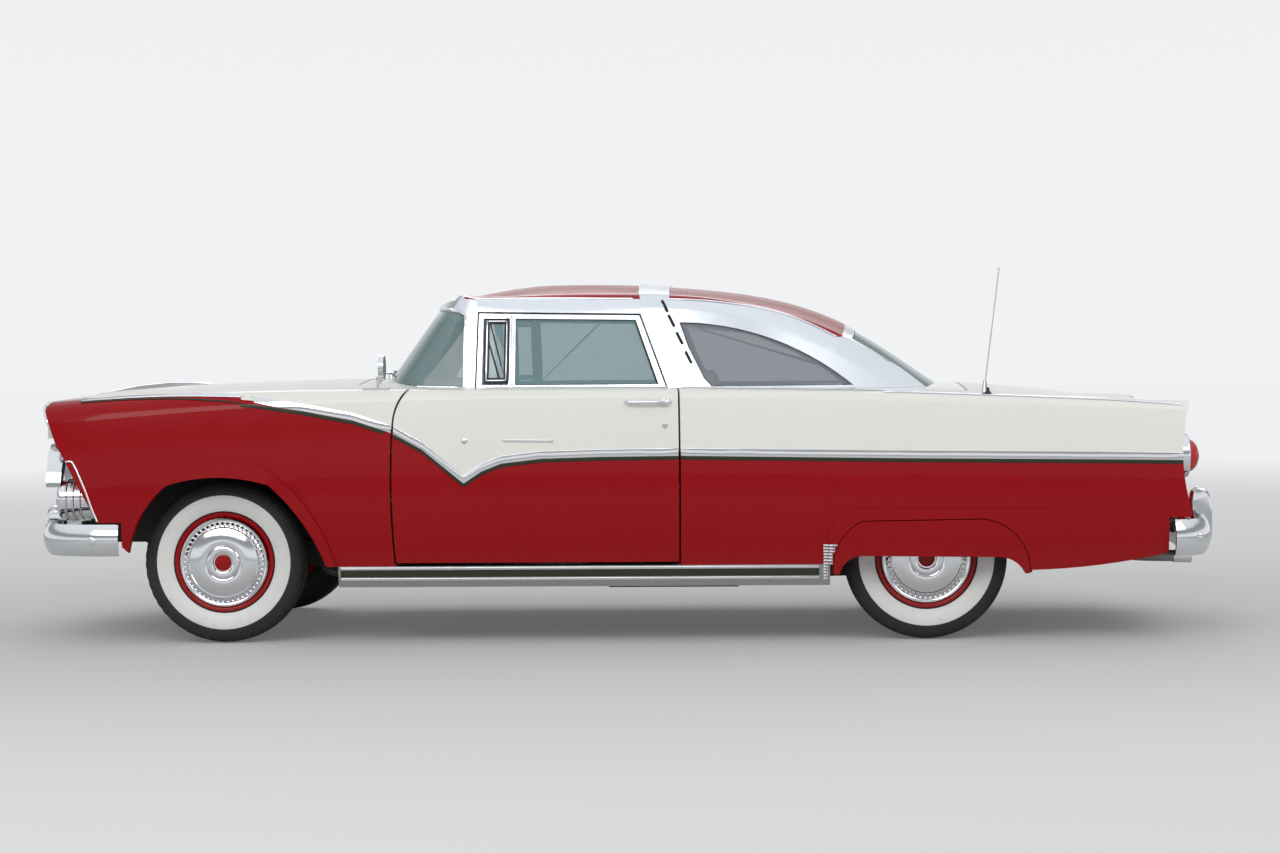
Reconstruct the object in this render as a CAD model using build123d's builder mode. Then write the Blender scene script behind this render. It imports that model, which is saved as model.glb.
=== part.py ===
from build123d import *
import os
from math import atan2, cos, hypot, radians, sin

# Overall sizes of the car, in millimetres
WHEELBASE = 2934
FRONT_OVERHANG = 865
REAR_OVERHANG = 1243
WIDTH = 1928
HEIGHT = 1499
FRONT_TRACK = 1473
REAR_TRACK = 1422

# Tyre, rim and steering
TYRE_RADIUS = 340
TYRE_WIDTH = 170
RIM_SEAT_RADIUS = 190
RIM_FLANGE_RADIUS = 208
HUBCAP_RADIUS = 178
KINGPIN_INSET = 82
STEERING_WHEEL_RADIUS = 215

# Body heights above the ground
BELT_Z = 1056
WAIST_Z = 700
BODY_FLOOR_Z = 240
DOOR_FLOOR_Z = 335
FLOOR_Z = 312
TRUNK_FLOOR_Z = 510
SHEET = 12

# Panel thicknesses and running gaps
DOOR_THICKNESS = 165
FENDER_THICKNESS = 30
QUARTER_THICKNESS = 40
LID_THICKNESS = 28
ROOF_THICKNESS = 40
SASH_THICKNESS = 25
GLASS_THICKNESS = 6
GLASS_DEPTH = 8
DOOR_GAP = 8
LID_GAP = 8
SEAT = 0.3
SILL_TOP_Z = DOOR_FLOOR_Z - DOOR_GAP

# Lengths along the car, from the front axle (front) or the rear axle (rear)
LENGTH = FRONT_OVERHANG + WHEELBASE + REAR_OVERHANG
NOSE_X = LENGTH / 2
TAIL_X = -LENGTH / 2
FRONT_AXLE_X = NOSE_X - FRONT_OVERHANG
REAR_AXLE_X = FRONT_AXLE_X - WHEELBASE
DOOR_FRONT_X = FRONT_AXLE_X - 734
DOOR_REAR_X = REAR_AXLE_X + 1018
HOOD_REAR_X = FRONT_AXLE_X - 551
FIREWALL_X = FRONT_AXLE_X - 720
LID_FRONT_X = REAR_AXLE_X - 182
SHELF_FRONT_X = REAR_AXLE_X + 30

# Widths across the car
HALF_WIDTH = WIDTH / 2
SIDE_TURN_IN = 48
SHOULDER_TURN_IN = 30
HOOD_HALF_WIDTH = HALF_WIDTH - 322
LID_HALF_WIDTH = HALF_WIDTH - 264
CABIN_HALF_WIDTH = HALF_WIDTH - 189
COWL_HALF_WIDTH = HALF_WIDTH - 148
DOOR_NOTCH_Y = COWL_HALF_WIDTH + 22

# Body sections: x, narrowing of the side, height of the fender crest,
# height of the crown on the centre line, shoulder radius, wheel flare
BODY_SECTIONS = [
    (FRONT_AXLE_X + 829, 95, 1008, 1014, 92, 0),
    (FRONT_AXLE_X + 344, 28, 1040, 1070, 85, 10),
    (FRONT_AXLE_X - 356, 14, 1059, 1096, 60, 13),
    (FRONT_AXLE_X - 1056, 8, 1057, 1100, 40, 0),
    (REAR_AXLE_X + 878, 8, 1050, 1085, 36, 0),
    (REAR_AXLE_X + 28, 14, 1027, 1072, 36, 13),
    (REAR_AXLE_X - 622, 28, 1003, 1022, 36, 10),
    (REAR_AXLE_X - 1172, 55, 981, 950, 36, 0),
]

# Roof sections: x, half width at the sill, half width at the eave, and the
# eave and crown heights as shares of the height from the belt to the roof
ROOF_SILL_Z = 800
ROOF_SECTIONS = [
    (FRONT_AXLE_X - 456, 59, 249, 0.62, 0.74),
    (FRONT_AXLE_X - 1156, 59, 262, 0.75, 0.97),
    (REAR_AXLE_X + 1178, 59, 264, 0.745, 1.0),
    (REAR_AXLE_X + 728, 64, 267, 0.635, 0.90),
    (REAR_AXLE_X + 498, 74, 274, 0.44, 0.78),
    (REAR_AXLE_X + 298, 94, 284, 0.21, 0.595),
    (REAR_AXLE_X + 78, 119, 296, -0.06, 0.295),
    (REAR_AXLE_X - 142, 149, 309, -0.35, -0.035),
]


def front(distance):
    """A place measured forward from the front axle."""
    return FRONT_AXLE_X + distance


def rear(distance):
    """A place measured forward from the rear axle."""
    return REAR_AXLE_X + distance


def up(share):
    """A height at a share of the way from the belt to the top of the roof."""
    return BELT_Z + share * (HEIGHT - BELT_Z)


def side_plane(y=0):
    """A plane seen from the car's right side: x forward, y up."""
    return Plane(origin=(0, y, 0), x_dir=(1, 0, 0), z_dir=(0, -1, 0))


def cross_plane(x):
    """A plane across the car: x to the left, y up."""
    return Plane(origin=(x, 0, 0), x_dir=(0, 1, 0), z_dir=(1, 0, 0))


def save(part, name):
    part.label = name
    export_step(part, f"parts/{name}.step")


def mirrored(part):
    """The same piece on the other side of the car."""
    return part.mirror(Plane.XZ)


def body_section(x, narrowing, crest, crown, shoulder, flare, wall, lid, flared):
    """One closed section of the body below the belt."""
    widest = HALF_WIDTH - narrowing - wall + flare * flared
    rim = widest - SHOULDER_TURN_IN
    edge = rim - 1.1 * shoulder
    foot = widest - SIDE_TURN_IN
    top = crest - lid
    with BuildSketch(cross_plane(x)) as section:
        with BuildLine():
            for side in (1, -1):
                flank = ThreePointArc(
                    (side * foot, BODY_FLOOR_Z), (side * widest, WAIST_Z), (side * rim, top - shoulder)
                )
                TangentArc(flank @ 1, (side * edge, top), tangent=flank % 1)
            ThreePointArc((edge, top), (0, crown - lid), (-edge, top))
            Line((foot, BODY_FLOOR_Z), (-foot, BODY_FLOOR_Z))
        make_face()
    return section.sketch


def body_block(wall=0, lid=0, flared=0):
    """The whole body below the belt, drawn in by a wall and a lid."""
    with BuildPart() as block:
        loft([body_section(*row, wall, lid, flared) for row in BODY_SECTIONS])
    return block.part


def roof_section(x, sill_in, eave_in, eave, crown, inset):
    """One closed section of the roof and pillars."""
    sill = HALF_WIDTH - sill_in - inset
    eave_y = HALF_WIDTH - eave_in - inset
    eave_z = up(eave) - inset / 2
    crown_z = up(crown) - inset
    corner = (eave_y - 95, eave_z + 0.6 * (crown_z - eave_z))
    with BuildSketch(cross_plane(x)) as section:
        with BuildLine():
            for side in (1, -1):
                pillar = Line((side * sill, ROOF_SILL_Z), (side * eave_y, eave_z))
                TangentArc(pillar @ 1, (side * corner[0], corner[1]), tangent=pillar % 1)
            ThreePointArc(corner, (0, crown_z), (-corner[0], corner[1]))
            Line((sill, ROOF_SILL_Z), (-sill, ROOF_SILL_Z))
        make_face()
    return section.sketch


# Plan of the windscreen at two heights: z, centre x, x and y of the start of
# the wrapped corner, x and y of its end at the front pillar
SCREEN_PLANS = [
    (1000, front(-546), front(-656), 600, front(-996), 835),
    (1500, front(-906), front(-1016), 620, front(-1073), 660),
]


def screen_plan(z, centre_x, corner_x, corner_y, pillar_x, pillar_y, inset):
    """The plan outline that bounds the cabin in front, at one height."""
    widen = HALF_WIDTH - 964
    corner = (corner_x - inset, corner_y + widen)
    pillar = (pillar_x, pillar_y + widen - inset)
    wide = (pillar_x - 40, HALF_WIDTH + 100)
    back = rear(-400)
    with BuildSketch(Plane.XY.offset(z)) as plan:
        with BuildLine():
            bow = ThreePointArc(
                (corner[0], -corner[1]), (centre_x - inset, 0), (corner[0], corner[1])
            )
            TangentArc(bow @ 1, pillar, tangent=bow % 1)
            Line(pillar, wide)
            Line(wide, (back, wide[1]))
            Line((back, wide[1]), (back, -wide[1]))
            Line((back, -wide[1]), (wide[0], -wide[1]))
            Line((wide[0], -wide[1]), (pillar[0], -pillar[1]))
            TangentArc(bow @ 0, (pillar[0], -pillar[1]), tangent=-(bow % 0))
        make_face()
    return plan.sketch


def cabin_block(inset=0):
    """Roof, pillars and windscreen as one closed form, drawn in by an inset."""
    with BuildPart() as block:
        loft([roof_section(*row, inset) for row in ROOF_SECTIONS])
        loft([screen_plan(*row, inset) for row in SCREEN_PLANS], ruled=True, mode=Mode.INTERSECT)
    return block.part


def door_outline(y, grow, lean):
    """Side outline of a door below the belt, at one depth."""
    rear_x = DOOR_REAR_X - grow + lean
    foot_z = DOOR_FLOOR_Z - grow + lean
    with BuildSketch(side_plane(y)) as outline:
        with BuildLine():
            foot = Line((rear_x, foot_z), (DOOR_FRONT_X - 6 + grow, foot_z))
            edge = ThreePointArc(
                foot @ 1, (DOOR_FRONT_X + 8 + grow, 640), (DOOR_FRONT_X + grow, 920)
            )
            shoulder = TangentArc(
                edge @ 1, (DOOR_FRONT_X - 68 + grow, BELT_Z + 6 + grow), tangent=edge % 1
            )
            crest = Line(shoulder @ 1, (DOOR_FRONT_X - 68 + grow, BELT_Z + 64 + grow))
            over = Line(crest @ 1, (rear_x, BELT_Z + 64 + grow))
            Line(over @ 1, foot @ 0)
        make_face()
    return outline.sketch


# The door's rear and lower faces lean so that it swings clear of the pillar
SHUT_LEAN = 20


def door_prism(grow):
    """The space that the left door takes below the belt."""
    outside = HALF_WIDTH + 36
    inside = CABIN_HALF_WIDTH
    with BuildPart() as prism:
        loft([door_outline(outside, grow, 0), door_outline(inside, grow, SHUT_LEAN)], ruled=True)
    return prism.part


def arch_prism():
    """The front wheel opening, through the whole car."""
    with BuildPart() as prism:
        with BuildSketch(side_plane()):
            with BuildLine():
                rise = ThreePointArc((front(376), 220), (front(346), 493), (front(214), 668))
                top = ThreePointArc(rise @ 1, (front(-20), 701), (front(-215), 668))
                fall = ThreePointArc(top @ 1, (front(-327), 549), (front(-478), 220))
                Line(fall @ 1, rise @ 0)
            make_face()
        extrude(amount=HALF_WIDTH + 50, both=True)
    return prism.part


OUTER_BODY = body_block()
FLARED_BODY = body_block(flared=1)
CABIN_SPACE = body_block(wall=DOOR_THICKNESS, lid=45)
FENDER_SPACE = body_block(wall=FENDER_THICKNESS, lid=LID_THICKNESS)
UNDER_HOOD = body_block(wall=FENDER_THICKNESS, lid=LID_THICKNESS + SEAT)
QUARTER_SPACE = body_block(wall=QUARTER_THICKNESS, lid=LID_THICKNESS)
BODY_SEAT = body_block(lid=-SEAT)
CABIN_OUTER = cabin_block()
CABIN_SASH = cabin_block(SASH_THICKNESS)
CABIN_INNER = cabin_block(ROOF_THICKNESS)
CABIN_GLASS = cabin_block(GLASS_DEPTH)
CABIN_GLASS_BACK = cabin_block(GLASS_DEPTH + GLASS_THICKNESS)
CABIN_BAND = cabin_block(-GLASS_DEPTH)
CABIN_SEAT = cabin_block(-SEAT)

os.makedirs("parts", exist_ok=True)

# The hood: a shell between the fenders, with its lip turned down at the nose
HOOD_LIP_Z = 858
NOSE_BOW = 72


def nose_outline(inset):
    """Side outline of everything behind the hood's nose."""
    with BuildSketch(side_plane()) as outline:
        with BuildLine():
            brow = ThreePointArc(
                (front(664) - inset, 1066 - inset),
                (front(786) - inset, 1024 - inset),
                (front(816) - inset, 930),
            )
            lip = Line(brow @ 1, (front(806) - inset, HOOD_LIP_Z - 60))
            foot = Line(lip @ 1, (HOOD_REAR_X - 400, HOOD_LIP_Z - 60))
            back = Line(foot @ 1, (HOOD_REAR_X - 400, BELT_Z + 200))
            top = Line(back @ 1, (front(664) - inset, BELT_Z + 200))
            Line(top @ 1, brow @ 0)
        make_face()
    return outline.sketch


def bow_outline(z, reach, bow, inset=0):
    """Plan outline of the body between a bowed nose and the rear axle."""
    with BuildSketch(Plane.XY.offset(z)) as outline:
        with BuildLine():
            corner = HALF_WIDTH + 60
            arc = ThreePointArc(
                (reach - bow - inset, -corner), (reach - inset, 0), (reach - bow - inset, corner)
            )
            right = Line(arc @ 1, (REAR_AXLE_X, corner))
            back = Line(right @ 1, (REAR_AXLE_X, -corner))
            Line(back @ 1, arc @ 0)
        make_face()
    return outline.sketch


def nose_block(inset):
    """The front of the body under the hood's curve, drawn in by an inset."""
    with BuildPart() as block:
        extrude(nose_outline(inset), amount=HALF_WIDTH + 50, both=True)
        extrude(
            bow_outline(0, front(810), NOSE_BOW, inset), amount=HEIGHT, mode=Mode.INTERSECT
        )
    return block.part


with BuildPart() as hood:
    add(OUTER_BODY)
    add(nose_block(0), mode=Mode.INTERSECT)
    with BuildPart(mode=Mode.PRIVATE) as hood_space:
        add(FENDER_SPACE)
        add(nose_block(LID_THICKNESS), mode=Mode.INTERSECT)
    add(hood_space.part, mode=Mode.SUBTRACT)
    with BuildSketch(Plane.XY.offset(HOOD_LIP_Z)):
        with BuildLine():
            Polyline(
                (HOOD_REAR_X, HOOD_HALF_WIDTH),
                (front(900), HOOD_HALF_WIDTH - 14),
                (front(900), -HOOD_HALF_WIDTH + 14),
                (HOOD_REAR_X, -HOOD_HALF_WIDTH),
                close=True,
            )
        make_face()
    extrude(amount=HEIGHT, mode=Mode.INTERSECT)
save(hood.part, "hood")


# Front fenders, with a headlight opening and a flat ledge over the wheel
HEADLIGHT_Y = HALF_WIDTH - 224
HEADLIGHT_Z = 915
HEADLIGHT_RADIUS = 84


def fender_outline(inset=0):
    """Side outline of a front fender, from the door to the headlight brow."""
    with BuildSketch(side_plane()) as outline:
        with BuildLine():
            foot = Line((DOOR_FRONT_X - 6, SILL_TOP_Z + SEAT), (DOOR_FRONT_X - 6, BELT_Z - 126))
            step = Line(foot @ 1, (DOOR_FRONT_X - 90, BELT_Z - 126))
            back = Line(step @ 1, (DOOR_FRONT_X - 90, BELT_Z + 200))
            top = Line(back @ 1, (front(640) - inset, BELT_Z + 200))
            cap = Line(top @ 1, (front(640) - inset, BELT_Z))
            brow = ThreePointArc(
                cap @ 1, (front(725) - inset, 1018), (front(744) - inset, 985 - inset / 2)
            )
            bezel = Line(brow @ 1, (front(690) - inset, 848))
            edge = Line(bezel @ 1, (front(642) - inset, 765))
            slant = Line(edge @ 1, (front(505) - inset, 515))
            notch = Line(slant @ 1, (front(404), 515))
            heel = Line(notch @ 1, (front(404), 414))
            under = Line(heel @ 1, (front(374), 386))
            tuck = Line(under @ 1, (front(300), SILL_TOP_Z + SEAT))
            Line(tuck @ 1, foot @ 0)
        make_face()
    return outline.sketch


def fender_ledge():
    """The raised area below the ledge that runs over the front wheel."""
    with BuildPart() as region:
        with BuildSketch(side_plane()):
            with BuildLine():
                ahead = Line((front(700), 756), (front(378), 759))
                crest = ThreePointArc(ahead @ 1, (front(60), 773), (front(-155), 767))
                fall = ThreePointArc(crest @ 1, (front(-360), 589), (front(-486), 330))
                down = Line(fall @ 1, (front(-486), 200))
                foot = Line(down @ 1, (front(700), 200))
                Line(foot @ 1, ahead @ 0)
            make_face()
        extrude(amount=HALF_WIDTH + 50, both=True)
    return region.part


def build_front_fender():
    """The left front fender."""
    with BuildPart() as fender:
        add(OUTER_BODY)
        with BuildPart(mode=Mode.PRIVATE) as flare:
            add(FLARED_BODY)
            add(fender_ledge(), mode=Mode.INTERSECT)
        add(flare.part)
        extrude(fender_outline(), amount=HALF_WIDTH + 50, both=True, mode=Mode.INTERSECT)
        extrude(
            bow_outline(0, front(816), NOSE_BOW), amount=HEIGHT, mode=Mode.INTERSECT
        )
        with BuildPart(mode=Mode.PRIVATE) as space:
            add(FENDER_SPACE)
            extrude(
                fender_outline(FENDER_THICKNESS),
                amount=HALF_WIDTH + 50,
                both=True,
                mode=Mode.INTERSECT,
            )
        add(space.part, mode=Mode.SUBTRACT)
        with BuildPart(mode=Mode.PRIVATE) as below:
            with BuildSketch(Plane.XY.offset(BODY_FLOOR_Z)):
                with Locations((front(0), 0)):
                    Rectangle(2 * 1000, 2 * (HALF_WIDTH - 90))
            extrude(amount=DOOR_FLOOR_Z + 60 - BODY_FLOOR_Z)
        add(below.part, mode=Mode.SUBTRACT)
        add(arch_prism(), mode=Mode.SUBTRACT)
        add(door_prism(DOOR_GAP), mode=Mode.SUBTRACT)
        with BuildSketch(Plane.XY):
            with BuildLine():
                Polyline(
                    (HOOD_REAR_X - 173, HOOD_HALF_WIDTH + LID_GAP),
                    (HOOD_REAR_X, HOOD_HALF_WIDTH + LID_GAP),
                    (front(900), HOOD_HALF_WIDTH + LID_GAP - 14),
                    (front(900), HALF_WIDTH + 50),
                    (DOOR_FRONT_X - 90, HALF_WIDTH + 50),
                    (DOOR_FRONT_X - 90, COWL_HALF_WIDTH + LID_GAP),
                    (HOOD_REAR_X - 173, COWL_HALF_WIDTH + LID_GAP),
                    close=True,
                )
            make_face()
        extrude(amount=HEIGHT, mode=Mode.INTERSECT)
        with BuildSketch(cross_plane(front(300))):
            with Locations((HEADLIGHT_Y, HEADLIGHT_Z)):
                Circle(HEADLIGHT_RADIUS + SEAT)
        extrude(amount=600, mode=Mode.SUBTRACT)
    return fender.part


front_fender = build_front_fender()
save(front_fender, "front_fender_left")
save(mirrored(front_fender), "front_fender_right")


# Door hinges: the axis is vertical, inside the door's front edge
DOOR_AXIS_X = DOOR_FRONT_X - 52
DOOR_AXIS_Y = HALF_WIDTH - 26
HINGE_RADIUS = 6
HINGE_HEIGHT = 50
HINGE_HEIGHTS = (610, 810)
HINGE_PILLAR_X = DOOR_FRONT_X + 26

# Width of the chassis side rails
RAIL_WIDTH = 76

# The tunnel over the gearbox and drive shaft
TUNNEL_HALF_WIDTH = 150
TUNNEL_TOP_Z = FLOOR_Z + 130


def tunnel_outline(x, inset=0):
    """Cross outline of the tunnel, drawn in by an inset."""
    with BuildSketch(cross_plane(x)) as outline:
        with BuildLine():
            Polyline(
                (TUNNEL_HALF_WIDTH - inset, FLOOR_Z - 20),
                (TUNNEL_HALF_WIDTH - inset, FLOOR_Z),
                (TUNNEL_HALF_WIDTH - 40 - inset, TUNNEL_TOP_Z - inset),
                (-TUNNEL_HALF_WIDTH + 40 + inset, TUNNEL_TOP_Z - inset),
                (-TUNNEL_HALF_WIDTH + inset, FLOOR_Z),
                (-TUNNEL_HALF_WIDTH + inset, FLOOR_Z - 20),
                close=True,
            )
        make_face()
    return outline.sketch


# The cowl: the panel under the windscreen, the firewall and the hinge pillars
FIREWALL_THICKNESS = 30
COWL_REAR_X = DOOR_FRONT_X - 317
with BuildPart() as under_cowl:
    with BuildSketch(Plane.XY):
        for low_x, high_x in (
            (COWL_REAR_X - 10, FIREWALL_X),
            (FIREWALL_X + FIREWALL_THICKNESS, HOOD_REAR_X + 10),
        ):
            with Locations(((low_x + high_x) / 2, 0)):
                Rectangle(high_x - low_x, WIDTH)
    extrude(amount=HEIGHT)
    add(FENDER_SPACE, mode=Mode.INTERSECT)

with BuildPart() as cowl:
    add(OUTER_BODY)
    add(under_cowl.part, mode=Mode.SUBTRACT)
    with BuildSketch(Plane.XY.offset(FLOOR_Z + SHEET + SEAT)):
        with BuildLine():
            Polyline(
                (COWL_REAR_X, COWL_HALF_WIDTH),
                (HOOD_REAR_X - 173, COWL_HALF_WIDTH),
                (HOOD_REAR_X - 173, HOOD_HALF_WIDTH),
                (HOOD_REAR_X - LID_GAP, HOOD_HALF_WIDTH),
                (HOOD_REAR_X - LID_GAP, -HOOD_HALF_WIDTH),
                (HOOD_REAR_X - 173, -HOOD_HALF_WIDTH),
                (HOOD_REAR_X - 173, -COWL_HALF_WIDTH),
                (COWL_REAR_X, -COWL_HALF_WIDTH),
                close=True,
            )
        make_face()
    extrude(amount=HEIGHT, mode=Mode.INTERSECT)
    extrude(tunnel_outline(FIREWALL_X - 20, -SEAT), amount=FIREWALL_THICKNESS + 40, mode=Mode.SUBTRACT)
    for side in (1, -1):
        with BuildSketch(Plane.XY.offset(SILL_TOP_Z + SEAT)):
            with BuildLine():
                Polyline(
                    (FIREWALL_X + FIREWALL_THICKNESS - 2, side * (HOOD_HALF_WIDTH - 30)),
                    (FIREWALL_X + FIREWALL_THICKNESS - 2, side * (COWL_HALF_WIDTH + 44)),
                    (HINGE_PILLAR_X + 60, side * (COWL_HALF_WIDTH + 44)),
                    (HINGE_PILLAR_X + 60, side * (HOOD_HALF_WIDTH - 30)),
                    close=True,
                )
            make_face()
        extrude(amount=BELT_Z - 90 - SILL_TOP_Z)
        for z in HINGE_HEIGHTS:
            with Locations((DOOR_AXIS_X, side * DOOR_AXIS_Y, z)):
                Cylinder(HINGE_RADIUS, HINGE_HEIGHT)
            with BuildSketch(Plane.XY.offset(z - HINGE_HEIGHT / 2 + 4)):
                with BuildLine():
                    Polyline(
                        (DOOR_AXIS_X - 3, side * (DOOR_AXIS_Y - 3)),
                        (DOOR_AXIS_X - 3, side * (COWL_HALF_WIDTH + 30)),
                        (HINGE_PILLAR_X + 20, side * (COWL_HALF_WIDTH + 30)),
                        (HINGE_PILLAR_X + 20, side * (COWL_HALF_WIDTH + 38)),
                        (DOOR_AXIS_X + 5, side * (COWL_HALF_WIDTH + 38)),
                        (DOOR_AXIS_X + 5, side * (DOOR_AXIS_Y - 3)),
                        close=True,
                    )
                make_face()
            extrude(amount=HINGE_HEIGHT - 8)
save(cowl.part, "cowl")


# Doors: the skin and trim as one thick panel, with the sash of the window
# above it. The sash is cut along a slant so that it clears the rear pillar.
# Outlines are points at the sash's outer face: x, share of the roof's height.
SASH_SLANT = 0.42
SASH_FRONT_X = DOOR_FRONT_X - 337
SASH_POINTS = [
    (SASH_FRONT_X, -0.1),
    (SASH_FRONT_X, 0.715),
    (DOOR_REAR_X + 171, 0.685),
    (DOOR_REAR_X + 40, -0.1),
]
VENT_POINTS = [
    (SASH_FRONT_X - 18, 0.035),
    (SASH_FRONT_X - 18, 0.67),
    (SASH_FRONT_X - 126, 0.665),
    (SASH_FRONT_X - 126, 0.035),
]
DOOR_GLASS_POINTS = [
    (SASH_FRONT_X - 154, 0.035),
    (SASH_FRONT_X - 154, 0.665),
    (DOOR_REAR_X + 186, 0.645),
    (DOOR_REAR_X + 88, 0.035),
]


def sash_y(z):
    """How far out the middle of the roof's side lies at a height."""
    sill_in, eave_in, eave = ROOF_SECTIONS[2][1:4]
    rise = (z - ROOF_SILL_Z) / (up(eave) - ROOF_SILL_Z)
    return HALF_WIDTH - sill_in - rise * (eave_in - sill_in)


def sash_prism(points, grow=0):
    """A window outline of the left door, run inward along the slant."""
    outline = [(x - SASH_SLANT * (HALF_WIDTH - sash_y(up(z))), up(z)) for x, z in points]
    with BuildPart() as prism:
        with BuildSketch(side_plane(HALF_WIDTH)):
            with BuildLine():
                Polyline(*outline, close=True)
            make_face()
            if grow:
                offset(amount=grow, kind=Kind.INTERSECTION)
        extrude(amount=(HALF_WIDTH - 560) * hypot(1, SASH_SLANT), dir=(SASH_SLANT, -1, 0))
    return prism.part


def build_door():
    """The left door with its window sash."""
    with BuildPart() as door:
        add(OUTER_BODY)
        add(door_prism(0), mode=Mode.INTERSECT)
        add(CABIN_SPACE, mode=Mode.SUBTRACT)
        with BuildPart(mode=Mode.PRIVATE) as pillar_foot:
            with BuildSketch(Plane.XY.offset(BELT_Z - 126)):
                with Locations((COWL_REAR_X - LID_GAP + 500, 0)):
                    Rectangle(1000, 2 * DOOR_NOTCH_Y)
            extrude(amount=400)
        add(pillar_foot.part, mode=Mode.SUBTRACT)
        with BuildPart(mode=Mode.PRIVATE) as notches:
            reach = HINGE_RADIUS + SEAT
            width = DOOR_AXIS_Y + reach - CABIN_HALF_WIDTH + 20
            for z in HINGE_HEIGHTS:
                with Locations(
                    (DOOR_AXIS_X - reach + 60, DOOR_AXIS_Y + reach - width / 2, z)
                ):
                    Box(120, width, HINGE_HEIGHT + 10)
        add(notches.part, mode=Mode.SUBTRACT)
        with BuildPart(mode=Mode.PRIVATE) as sash:
            add(CABIN_OUTER)
            add(sash_prism(SASH_POINTS), mode=Mode.INTERSECT)
            add(CABIN_SASH, mode=Mode.SUBTRACT)
            for glass in (VENT_POINTS, DOOR_GLASS_POINTS):
                add(sash_prism(glass), mode=Mode.SUBTRACT)
        add(sash.part)
    return door.part


def build_door_glass():
    """The vent pane and the main pane of the left door, seated in the sash."""
    with BuildPart() as glass:
        for points in (VENT_POINTS, DOOR_GLASS_POINTS):
            with BuildPart(mode=Mode.PRIVATE) as pane:
                add(CABIN_GLASS)
                add(sash_prism(points, -SEAT), mode=Mode.INTERSECT)
                add(CABIN_GLASS_BACK, mode=Mode.SUBTRACT)
                add(BODY_SEAT, mode=Mode.SUBTRACT)
            add(pane.part)
    return glass.part


door = build_door()
door_glass = build_door_glass()
save(door, "door_left")
save(mirrored(door), "door_right")
save(door_glass, "door_glass_left")
save(mirrored(door_glass), "door_glass_right")


# Rear quarter panels, open over the wheel for a skirt
TAIL_LIGHT_Y = HALF_WIDTH - 150
TAIL_LIGHT_Z = 760
TAIL_LIGHT_RADIUS = 80
WHEELHOUSE_RADIUS = 402
WHEELHOUSE_INNER_Y = REAR_TRACK / 2 - TYRE_WIDTH / 2 - 40


def quarter_outline(inset=0):
    """Side outline of a quarter panel, from the door to the tail."""
    with BuildSketch(side_plane()) as outline:
        with BuildLine():
            sill = Line((DOOR_REAR_X + 10, SILL_TOP_Z + SEAT), (rear(368), SILL_TOP_Z + SEAT))
            drop = Line(sill @ 1, (rear(368), 298))
            step = Line(drop @ 1, (rear(-407), 298))
            sweep_up = ThreePointArc(step @ 1, (rear(-706), 318), (rear(-973), 363))
            heel = Line(sweep_up @ 1, (rear(-985), 372))
            notch = Line(heel @ 1, (rear(-985), 512))
            corner = Line(notch @ 1, (rear(-1087) + inset, 512))
            hollow = ThreePointArc(
                corner @ 1, (rear(-1044) + inset, 720), (rear(-1076) + inset, 990)
            )
            top = Line(hollow @ 1, (rear(-1076) + inset, BELT_Z + 200))
            over = Line(top @ 1, (DOOR_REAR_X + 10, BELT_Z + 200))
            Line(over @ 1, sill @ 0)
        make_face()
    return outline.sketch


def skirt_outline(grow=0):
    """Side outline of the rear wheel opening."""
    with BuildSketch(side_plane()) as outline:
        with BuildLine():
            fore = ThreePointArc(
                (rear(376) + grow, 230), (rear(352) + grow, 440), (rear(270), 507 + grow)
            )
            top = Line(fore @ 1, (rear(-220), 513 + grow))
            aft = ThreePointArc(top @ 1, (rear(-372) - grow, 430), (rear(-408) - grow, 230))
            Line(aft @ 1, fore @ 0)
        make_face()
    return outline.sketch


def skirt_edge():
    """The space above the skirt's lower edge."""
    with BuildSketch(side_plane()) as outline:
        with BuildLine():
            fore = Line((rear(400), 700), (rear(400), 284))
            toe = Line(fore @ 1, (rear(366), 284))
            rise = ThreePointArc(toe @ 1, (rear(330), 340), (rear(262), 361))
            hem = Line(rise @ 1, (rear(-290), 353))
            fall = ThreePointArc(hem @ 1, (rear(-358), 330), (rear(-398), 284))
            heel = Line(fall @ 1, (rear(-430), 284))
            back = Line(heel @ 1, (rear(-430), 700))
            Line(back @ 1, fore @ 0)
        make_face()
    return outline.sketch


def quarter_ledge():
    """The raised area below the ledge that runs over the rear wheel."""
    with BuildPart() as region:
        with BuildSketch(side_plane()):
            with BuildLine():
                fore = Line((rear(412), 200), (rear(409), 407))
                bend = ThreePointArc(fore @ 1, (rear(372), 520), (rear(258), 558))
                crest = Line(bend @ 1, (rear(-981), 543))
                tail = Line(crest @ 1, (rear(-1200), 540))
                down = Line(tail @ 1, (rear(-1200), 200))
                Line(down @ 1, fore @ 0)
            make_face()
        extrude(amount=HALF_WIDTH + 50, both=True)
    return region.part


def tail_bow(reach, inset=0):
    """Plan outline of the body between the doors and a bowed tail."""
    with BuildSketch(Plane.XY) as outline:
        with BuildLine():
            corner = HALF_WIDTH + 60
            arc = ThreePointArc(
                (reach + 66 + inset, -corner), (reach + inset, 0), (reach + 66 + inset, corner)
            )
            left = Line(arc @ 1, (FRONT_AXLE_X, corner))
            ahead = Line(left @ 1, (FRONT_AXLE_X, -corner))
            Line(ahead @ 1, arc @ 0)
        make_face()
    return outline.sketch


def build_wheelhouse_space(radius):
    """The round space that the left rear wheel turns in."""
    with BuildPart() as space:
        with BuildSketch(side_plane(HALF_WIDTH - 14 - QUARTER_THICKNESS - 2)):
            with Locations((REAR_AXLE_X, TYRE_RADIUS)):
                Circle(radius)
        extrude(amount=HALF_WIDTH - 56 - WHEELHOUSE_INNER_Y)
    return space.part


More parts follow.
